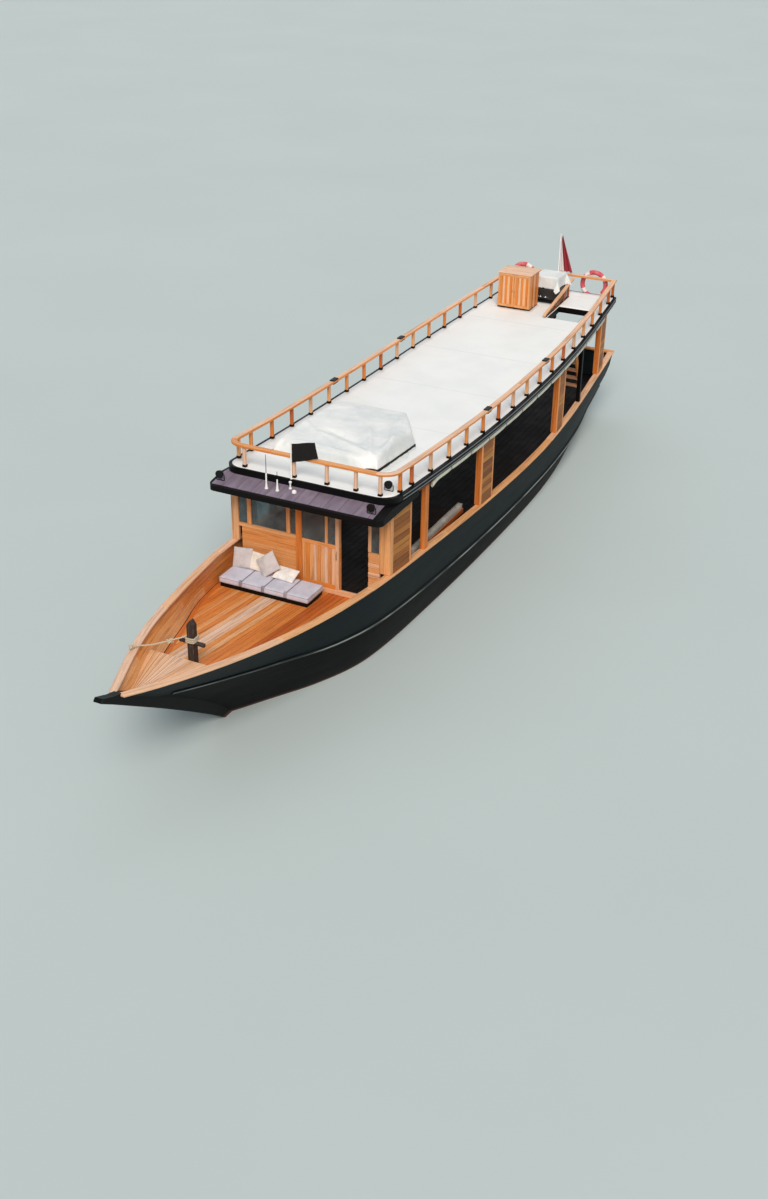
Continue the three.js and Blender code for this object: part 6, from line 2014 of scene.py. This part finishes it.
# The skirt: black woven plastic stapled to the frame's top slat, its hem torn by the wind. It is a dark sheet put in
# as painted shade under the cover.
black_weave = woven("black_woven_plastic", "17171a", "08080a", roughness=0.6, scale=300.0, slubs=0.5)
SKIRT_TOP, SKIRT_HEM, SKIRT_STEP, SKIRT_OUT = 0.322, 0.13, 0.02, 0.016
torn = random.Random(94)
around = [(x1, y) for y in spread(y0, y1, SKIRT_STEP)] + [(x, y1) for x in spread(x1, x0, SKIRT_STEP)[1:]]
rows = []
hem = SKIRT_HEM
for i, (x, y) in enumerate(around):
    hem = min(max(hem + torn.uniform(-0.035, 0.035), 0.06), 0.22)
    flap = 0.006 * math.sin(1.9 * i) + 0.004 * math.sin(0.7 * i)
    ox, oy = (1, 0) if x == x1 and y < y1 else (0, 1)
    rows.append([(x + ox * (SKIRT_OUT + flap * f), y + oy * (SKIRT_OUT + flap * f),
                  stow_foot + SKIRT_TOP + (hem - SKIRT_TOP) * f) for f in (k / 5 for k in range(6))])
skirt_mesh, skirt_area = sheet_mesh("stowage_skirt", rows, black_weave)
skirt = thicken(put("stowage_skirt", skirt_mesh), 0.0012)
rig.slot(skirt, "black_cloth")
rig.sheet(skirt, flat=(x1 - x0 + y1 - y0 + 0.04, SKIRT_TOP - 0.06), held="hung",
         rests_on=["stowage_frame_boards"], area=skirt_area)

# Side curtains: cream fly-sheets rolled up under the eaves and tied to the beam with black tapes.
# The roll sags a little between its ties, and its fore end hangs loose.
CURTAIN_AFT, CURTAIN_FORE, CURTAIN_OUT, CURTAIN_DROP = -8.90, 2.04, 0.036, 0.060
CURTAIN_TURNS, CURTAIN_POINTS, CURTAIN_TIE = 3.5, 44, 0.92
CURTAIN_HALF = (0.034, 0.054)
curtain_cloth = woven("cream_fly_sheet", "d3d3c2", "b3b4a4", scale=420.0, slubs=0.4)


def curtain_middle(x, side):
    loose = max(x - (CURTAIN_FORE - 0.30), 0) / 0.30
    sag = 0.006 * math.sin(math.pi * ((x - CURTAIN_AFT) % CURTAIN_TIE) / CURTAIN_TIE)
    z = eaves(x) - CURTAIN_DROP - sag - 0.075 * loose ** 1.6
    return Vector((x, side * (line_at(x, HALF) + CURTAIN_OUT), z))


def curtain_ring(x, side):
    """A spiral section of the roll, drawn in at the ties and slack between them."""
    middle = curtain_middle(x, side)
    near = abs(((x - CURTAIN_AFT + CURTAIN_TIE / 2) % CURTAIN_TIE) - CURTAIN_TIE / 2)
    slack = 0.80 + 0.20 * min(near / 0.14, 1) ** 0.7
    ring = []
    for k in range(CURTAIN_POINTS + 1):
        t = k / CURTAIN_POINTS
        a = 2 * math.pi * CURTAIN_TURNS * t + 0.15 * math.sin(1.7 * x)
        r = (0.24 + 0.76 * t) * slack * (1 + 0.035 * math.sin(5.1 * x + 9 * t) * t)
        wide, high = (half_size * r for half_size in CURTAIN_HALF)
        ring.append(middle + Vector((0, side * wide * math.cos(a), high * math.sin(a))))
    return ring


tie_xs = [CURTAIN_AFT + CURTAIN_TIE * k for k in range(1, 12)]
for side, name in SIDES:
    rows = [curtain_ring(x, side) for x in with_lines(spread(CURTAIN_AFT, CURTAIN_FORE, 0.09), tie_xs, 0.05)]
    roll_mesh, roll_area = sheet_mesh(f"curtain_roll_{name}_cloth", rows, curtain_cloth)
    roll = thicken(put(f"curtain_roll_{name}_cloth", roll_mesh), 0.0012)
    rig.replaces(roll, f"curtain_roll_{name}")
    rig.slot(roll, "cream_fabric")
    ties = []
    for k, x in enumerate(tie_xs):
        middle = curtain_middle(x, side)
        loop = [middle + Vector((0, side * 0.031 * math.cos(a), 0.050 * math.sin(a)))
                for a in round_angles(20)]
        ties.append(bar(f"curtain_tie_{name}_{k + 1}", loop, 0.0045, 6, black_weave, "black_cloth",
                        caps=False))
    long = path_length([row[0] for row in rows])
    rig.sheet(roll, flat=(roll_area / long * 1.01, long), held="gathered",
             rests_on=[f"side_frame_{name}_boards"], with_pieces=ties)

# Settee along the port side: a boarded box seat, near black as painted shade, with a cream back cushion against the
# wall.
SETTEE_X0, SETTEE_X1, SETTEE_Y0, SETTEE_Y1, SETTEE_HIGH = -0.38, 2.04, 0.80, 1.42, 0.33
SETTEE_BOX, SETTEE_BOARD = 0.300, 0.022
BACK_DEEP, BACK_HIGH, BACK_LEDGE, BACK_VOXEL, BACK_CAP = 0.120, 0.108, 0.088, 0.022, 0.010
settee_foot = line_at(SETTEE_X1, DECK) + 0.003
settee = Boards("settee_boards", painted_shade_timber, seed=95)
front = SETTEE_Y0 + SETTEE_BOARD
for low, high in ((0.0, 0.105), (0.108, 0.212)):
    settee.box((SETTEE_X0, SETTEE_Y0, settee_foot + low), (SETTEE_X1, front, settee_foot + high), 0, 0.5)
for x in (SETTEE_X0, SETTEE_X1 - SETTEE_BOARD):
    settee.box((x, SETTEE_Y0 + 0.024, settee_foot), (x + SETTEE_BOARD, SETTEE_Y1, settee_foot + SETTEE_BOX),
               1, 0.5)
settee.box((SETTEE_X0, SETTEE_Y1 - SETTEE_BOARD, settee_foot),
           (SETTEE_X1, SETTEE_Y1, settee_foot + SETTEE_BOX), 0, 0.5)
for k in range(4):
    wide = (SETTEE_Y1 - SETTEE_Y0) / 4
    settee.box((SETTEE_X0, SETTEE_Y0 + k * wide + 0.002, settee_foot + 0.302),
               (SETTEE_X1, SETTEE_Y0 + (k + 1) * wide - 0.002, settee_foot + SETTEE_HIGH), 0,
               0.4 + settee.chance.uniform(-0.1, 0.1))
settee.box((SETTEE_X0, SETTEE_Y0, settee_foot + 0.215), (SETTEE_X1, front, settee_foot + SETTEE_BOX), 0, 0.6)
settee.piece("settee_port")
ledge = Boards("settee_back_ledge", varnished, seed=96)
ledge.box((SETTEE_X0, SETTEE_Y1 - BACK_DEEP, settee_foot + SETTEE_HIGH + 0.001),
          (SETTEE_X1, SETTEE_Y1, settee_foot + SETTEE_HIGH + BACK_LEDGE), 0, 0.88)
ledge.piece()

cream_canvas = woven("cream_outdoor_canvas", "b9b4ac", "918b83")
back_size = (SETTEE_X1 - SETTEE_X0 - 0.02, BACK_DEEP - 0.014, BACK_HIGH)
back_mesh = swollen(["settee_back"], [back_size], BACK_VOXEL, BACK_CAP)[0]
back_at = Vector(((SETTEE_X0 + SETTEE_X1) / 2, SETTEE_Y1 - BACK_DEEP / 2 - 0.01,
                  settee_foot + SETTEE_HIGH + BACK_LEDGE + 0.002))
back = rounded(put("settee_back_cushion", placed(back_mesh, still, back_at, cream_canvas)))
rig.replaces(back, "settee_cushion_port")
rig.slot(back, "cream_fabric")
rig.padded(back, fill=0.85)
piped("settee", back_at, back_size, 0.008, cream_canvas, "cream_fabric")

# Life rings: hard foam under painted canvas, hung flat behind the stern rail. The red has faded to
# pink; four white bands go round each ring. What held them can't be seen, so no lines are built.
RING_R, RING_TUBE, RING_X, RING_BANDS, BAND_WIDE = 0.307, 0.058, -10.0183, 4, 0.13
RINGS = (("life_ring_port", 0.780, 3.440, 0.4), ("life_ring_starboard", -1.130, 3.400, 0.9))


def ring_canvas():
    """Faded red paint on canvas with white bands: u runs round the ring in metres."""
    made, tree, shader = material("faded_red_canvas", roughness=0.7, Specular_IOR_Level=0.3)
    where = own_place(tree)
    along = split(tree, unwrapped(tree))["X"]
    band = calc(tree, "LESS_THAN", calc(tree, "MODULO", along, 2 * math.pi * RING_R / RING_BANDS), BAND_WIDE)
    fade = pattern(tree, where, 9.0, 5.0)
    red = ramp(tree, fade, ((0.3, "c2454f"), (0.55, "d2626b"), (0.75, "dd8d95")))
    white = ramp(tree, fade, ((0.3, "d9d2d3"), (0.7, "efeaea")))
    paint(tree, shader, two_tone(tree, band, red, white))
    bump(tree, shader, pattern(tree, where, 500.0, 1.0), 0.0012, 0.5)
    return made


red_canvas = ring_canvas()
for name, y, z, turn in RINGS:
    path = [(RING_X, y + RING_R * math.cos(a + turn), z + RING_R * math.sin(a + turn))
            for a in round_angles(64)]
    life_ring = bar(f"{name}_foam", path, RING_TUBE, 20, red_canvas, "ring_foam", caps=False)
    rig.replaces(life_ring, name)

# Flag staffs: painted poles with a turned truck, socketed on the stern handrail and the deck.
# Columns: name, x, y, foot, top
for name, x, y, foot, top in (("ensign_staff", -9.900, -0.158, 3.6625, 4.640),
                              ("pennant_staff", 3.755, -0.302, 3.2425, 3.965)):
    high = top - foot
    staff_profile = ((0.022, 0.0), (0.022, 0.012), (0.014, 0.022), (0.0125, high - 0.035),
                     (0.0125, high - 0.026), (0.019, high - 0.022), (0.019, high - 0.010),
                     (0.010, high - 0.002), (0.002, high))
    staff = put(f"{name}_pole", turned(f"{name}_pole", (x, y, foot), staff_profile, gelcoat))
    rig.replaces(staff, name)
    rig.slot(staff, "white_paint")

# Ensign: red over white bunting, limp. It hangs from the head of its hoist in upright folds, so
# the red half falls outside the white half.
FLAG_FLY, FLAG_HOIST, FLAG_FOLDS, FLAG_HEAD, FLAG_FOOT = 0.90, 0.62, 4, 4.615, 3.695
FLAG_X, FLAG_Y, FLAG_NARROW, FLAG_BROAD, FLAG_SLIP = -9.900, -0.139, 0.040, 0.350, 0.17


def bunting():
    """Thin woven polyester in two plain stripes, by the mesh's own U from head to foot."""
    made, tree, shader = material("flag_bunting", roughness=0.8, Sheen_Weight=0.2)
    lower = calc(tree, "GREATER_THAN", split(tree, unwrapped(tree))["X"], 0.5)
    weave = pattern(tree, own_place(tree), 600.0, 1.0)
    red = ramp(tree, weave, ((0.35, "8c1a2c"), (0.65, "a92638")))
    white = ramp(tree, weave, ((0.35, "e4dcdf"), (0.65, "f4eff1")))
    paint(tree, shader, two_tone(tree, lower, red, white))
    bump(tree, shader, weave, 0.0008, 0.4)
    return made


rows = []
for s in spread(0, 1, 0.03):
    width = FLAG_NARROW + (FLAG_BROAD - FLAG_NARROW) * s
    deep = math.sqrt(FLAG_HOIST ** 2 - width ** 2) / (4 * FLAG_FOLDS)
    row = []
    for v in spread(0, 1, 0.0155):
        lean = 2 * math.pi * FLAG_FOLDS * v + 0.5 * math.sin(3 * s + 1)
        head = FLAG_HEAD - FLAG_SLIP * v
        foot = FLAG_FOOT + 0.012 * math.sin(5 * v) ** 2
        y = FLAG_Y + 0.006 + width * (1 - v) ** 1.5
        row.append((FLAG_X + deep * math.sin(lean), y, head + (foot - head) * s))
    rows.append(row)
ensign_mesh = sheet_mesh("ensign_cloth", rows, bunting())[0]
ensign = thicken(put("ensign_cloth", ensign_mesh), 0.0008)
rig.replaces(ensign, "ensign")
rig.slot(ensign, "flag_cloth")
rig.sheet(ensign, flat=(FLAG_HOIST, FLAG_FLY), held="hung", rests_on=["ensign_staff_pole"])

# Pennant: plain black cloth at the fore rail, just lifting in the wind.
PENNANT_X, PENNANT_Y, PENNANT_WAVE = 3.755, -0.284, 0.016
PENNANT_CORNERS = ((0.0, 3.940), (0.490, 4.060), (0.545, 3.750), (0.0, 3.570))
black_bunting = woven("black_bunting", "060607", "020203", roughness=0.9, scale=600.0, slubs=0.3, sheen=0.02)
rows = []
for u in spread(0, 1, 0.03):
    top, foot = (tuple(a[k] + (b[k] - a[k]) * u for k in (0, 1)) for a, b in (
        (PENNANT_CORNERS[0], PENNANT_CORNERS[1]), (PENNANT_CORNERS[3], PENNANT_CORNERS[2])))
    row = []
    for v in spread(0, 1, 0.06):
        out, high = (top[k] + (foot[k] - top[k]) * v for k in (0, 1))
        wave = PENNANT_WAVE * u ** 0.6 * math.sin(2 * math.pi * (1.3 * u - 0.35 * v))
        row.append((PENNANT_X + wave, PENNANT_Y + out, high))
    rows.append(row)
pennant_mesh = sheet_mesh("pennant_cloth", rows, black_bunting)[0]
pennant = thicken(put("pennant_cloth", pennant_mesh), 0.0008)
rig.replaces(pennant, "pennant")
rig.slot(pennant, "black_cloth")
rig.sheet(pennant, flat=(0.545, 0.368), held="hung", rests_on=["pennant_staff_pole"])

# Lacing under the stair guard: thin brown rope laced to and fro in each bay between the posts, drawn
# tight between the beam and the deck's edge.
LACE_PITCH, LACE_R, LACE_SHY = 0.041, 0.0055, 0.046
net_cord = woven("tarred_net_cord", "a58761", "4a3522", scale=700.0)
sway = random.Random(71)
for k, (aft, fore) in enumerate(zip(GUARD_POSTS, GUARD_POSTS[1:])):
    turns = []
    for i, x in enumerate(spread(aft + LACE_SHY, fore - LACE_SHY, LACE_PITCH / 2)):
        z = guard_top(x) - GUARD_THICK - LACE_R - 0.001 if i % 2 else roof_top(x) + LACE_R + 0.002
        turns.append(Vector((x + sway.uniform(-0.005, 0.005), GUARD_Y + sway.uniform(-0.012, 0.012), z)))
    bar(f"guard_lacing_{k + 1}", turns, LACE_R, 6, net_cord, "net_cord")

# Helm: a boarded console behind the front windows, with a spoked wheel on a bronze shaft.
CONSOLE_X0, CONSOLE_X1, CONSOLE_Y0, CONSOLE_Y1, CONSOLE_TOP = 3.02, 3.42, -1.23, -0.47, 1.960
WHEEL_X, WHEEL_Y, WHEEL_Z, WHEEL_R, WHEEL_RIM, WHEEL_REACH = 2.90, -0.85, 1.830, 0.306, 0.022, 0.418
SHAFT_R, SHAFT_GAP, CONSOLE_BOARD = 0.0235, 0.034, 0.02
console_foot = line_at(CONSOLE_X1, DECK) + 0.004
# The console boards are near black as painted shade under the sun deck.
console = Boards("helm_console_boards", painted_shade_timber, seed=111)
console_wide = (CONSOLE_Y1 - CONSOLE_Y0) / 5
console_head = CONSOLE_TOP - 0.03
round_shaft = (WHEEL_Z - SHAFT_GAP, WHEEL_Z + SHAFT_GAP)
for k in range(5):
    y0, y1 = CONSOLE_Y0 + k * console_wide + 0.001, CONSOLE_Y0 + (k + 1) * console_wide - 0.001
    tone = 0.2 + console.chance.uniform(-0.12, 0.12)
    runs = ((console_foot, round_shaft[0]), (round_shaft[1], console_head)) if k == 2 else (
        (console_foot, console_head),)
    for low, high in runs:
        console.box((CONSOLE_X0, y0, low), (CONSOLE_X0 + CONSOLE_BOARD, y1, high), 2, tone)
    console.box((CONSOLE_X1 - CONSOLE_BOARD, y0, console_foot), (CONSOLE_X1, y1, console_head), 2, tone)
for y0, y1 in ((CONSOLE_Y0 + 2 * console_wide + 0.001, WHEEL_Y - SHAFT_GAP),
               (WHEEL_Y + SHAFT_GAP, CONSOLE_Y0 + 3 * console_wide - 0.001)):
    console.box((CONSOLE_X0, y0, round_shaft[0] + 0.001),
                (CONSOLE_X0 + CONSOLE_BOARD, y1, round_shaft[1] - 0.001), 2, 0.2)
for y0, y1 in ((CONSOLE_Y0, CONSOLE_Y0 + CONSOLE_BOARD), (CONSOLE_Y1 - CONSOLE_BOARD, CONSOLE_Y1)):
    console.box((CONSOLE_X0 + 0.021, y0, console_foot), (CONSOLE_X1 - 0.021, y1, console_head), 2, 0.3)
console.box((CONSOLE_X0, CONSOLE_Y0, CONSOLE_TOP - 0.028), (CONSOLE_X1, CONSOLE_Y1, CONSOLE_TOP), 1, 0.25)
console.piece("helm_console", edge=0.003)

bronze = plain_finish("worn_bronze", 25.0, 6.0, (0.0008, 0.4), roughness=0.35, metallic=1.0,
                      stops=((0.3, "6f5a3a"), (0.6, "b08a4e"), (0.8, "8c8a5e")))
centre = Vector((WHEEL_X, WHEEL_Y, WHEEL_Z))
rim_path = [centre + WHEEL_R * Vector((0, math.cos(a), math.sin(a))) for a in round_angles(56)]
# The rim and spokes are near black as painted shade under the sun deck.
wheel = bar("helm_rim", rim_path, WHEEL_RIM, 14, painted_shade_timber, "dark_timber", "helm", caps=False)
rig.replaces(wheel, "helm_wheel")
# Columns: how far out along a spoke, its radius: hub, turned shaft, rim, waist, handle, knob
SPOKE = ((0.0, 0.012), (0.10, 0.012), (0.14, 0.016), (0.27, 0.012), (0.306, 0.014), (0.335, 0.009),
         (0.36, 0.014), (0.395, 0.015), (0.412, 0.010), (WHEEL_REACH, 0.003))
for k in range(6):
    a = math.pi * k / 3 + math.pi / 2
    out = Vector((0, math.cos(a), math.sin(a)))
    bar(f"helm_spoke_{k + 1}", [centre + out * r for r, _ in SPOKE], [r for _, r in SPOKE], 12, painted_shade_timber,
        "dark_timber", "helm")
# Columns: how far forward of the wheel, the radius: nut, washer, hub, shaft
HUB = ((-0.05, 0.012), (-0.045, 0.022), (-0.030, 0.026), (-0.028, 0.054), (0.040, 0.054), (0.042, SHAFT_R),
       (0.168, SHAFT_R))
bar("helm_hub", [centre + Vector((x, 0, 0)) for x, _ in HUB], [r for _, r in HUB], 28, bronze, "bronze",
    "helm")

# Under water: bronze propeller, and a rudder of planks under the same maroon paint as the hull.
refinish("propeller", bronze)
refinish("rudder", antifouling)

# Engine: a plain block for its mass, in hammered green enamel. It is closed in under the sole.
engine_enamel, tree, shader = material("hammered_green_enamel", roughness=0.4)
hammered = node(tree, "ShaderNodeTexVoronoi", {"Scale": 120.0, "Vector": own_place(tree)})
paint(tree, shader, ramp(tree, hammered.outputs["Distance"], ((0.1, "2c4438"), (0.6, "3d5a4b"))))
bump(tree, shader, hammered.outputs["Distance"], 0.001, 0.5)
refinish("engine_block", engine_enamel)

# The model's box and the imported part's box, side by side
size = {"cad": [list(c) for c in cad_box], "visual": [list(c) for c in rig.bounds()]}
with open("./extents.json", "w") as f:
    json.dump(size, f)
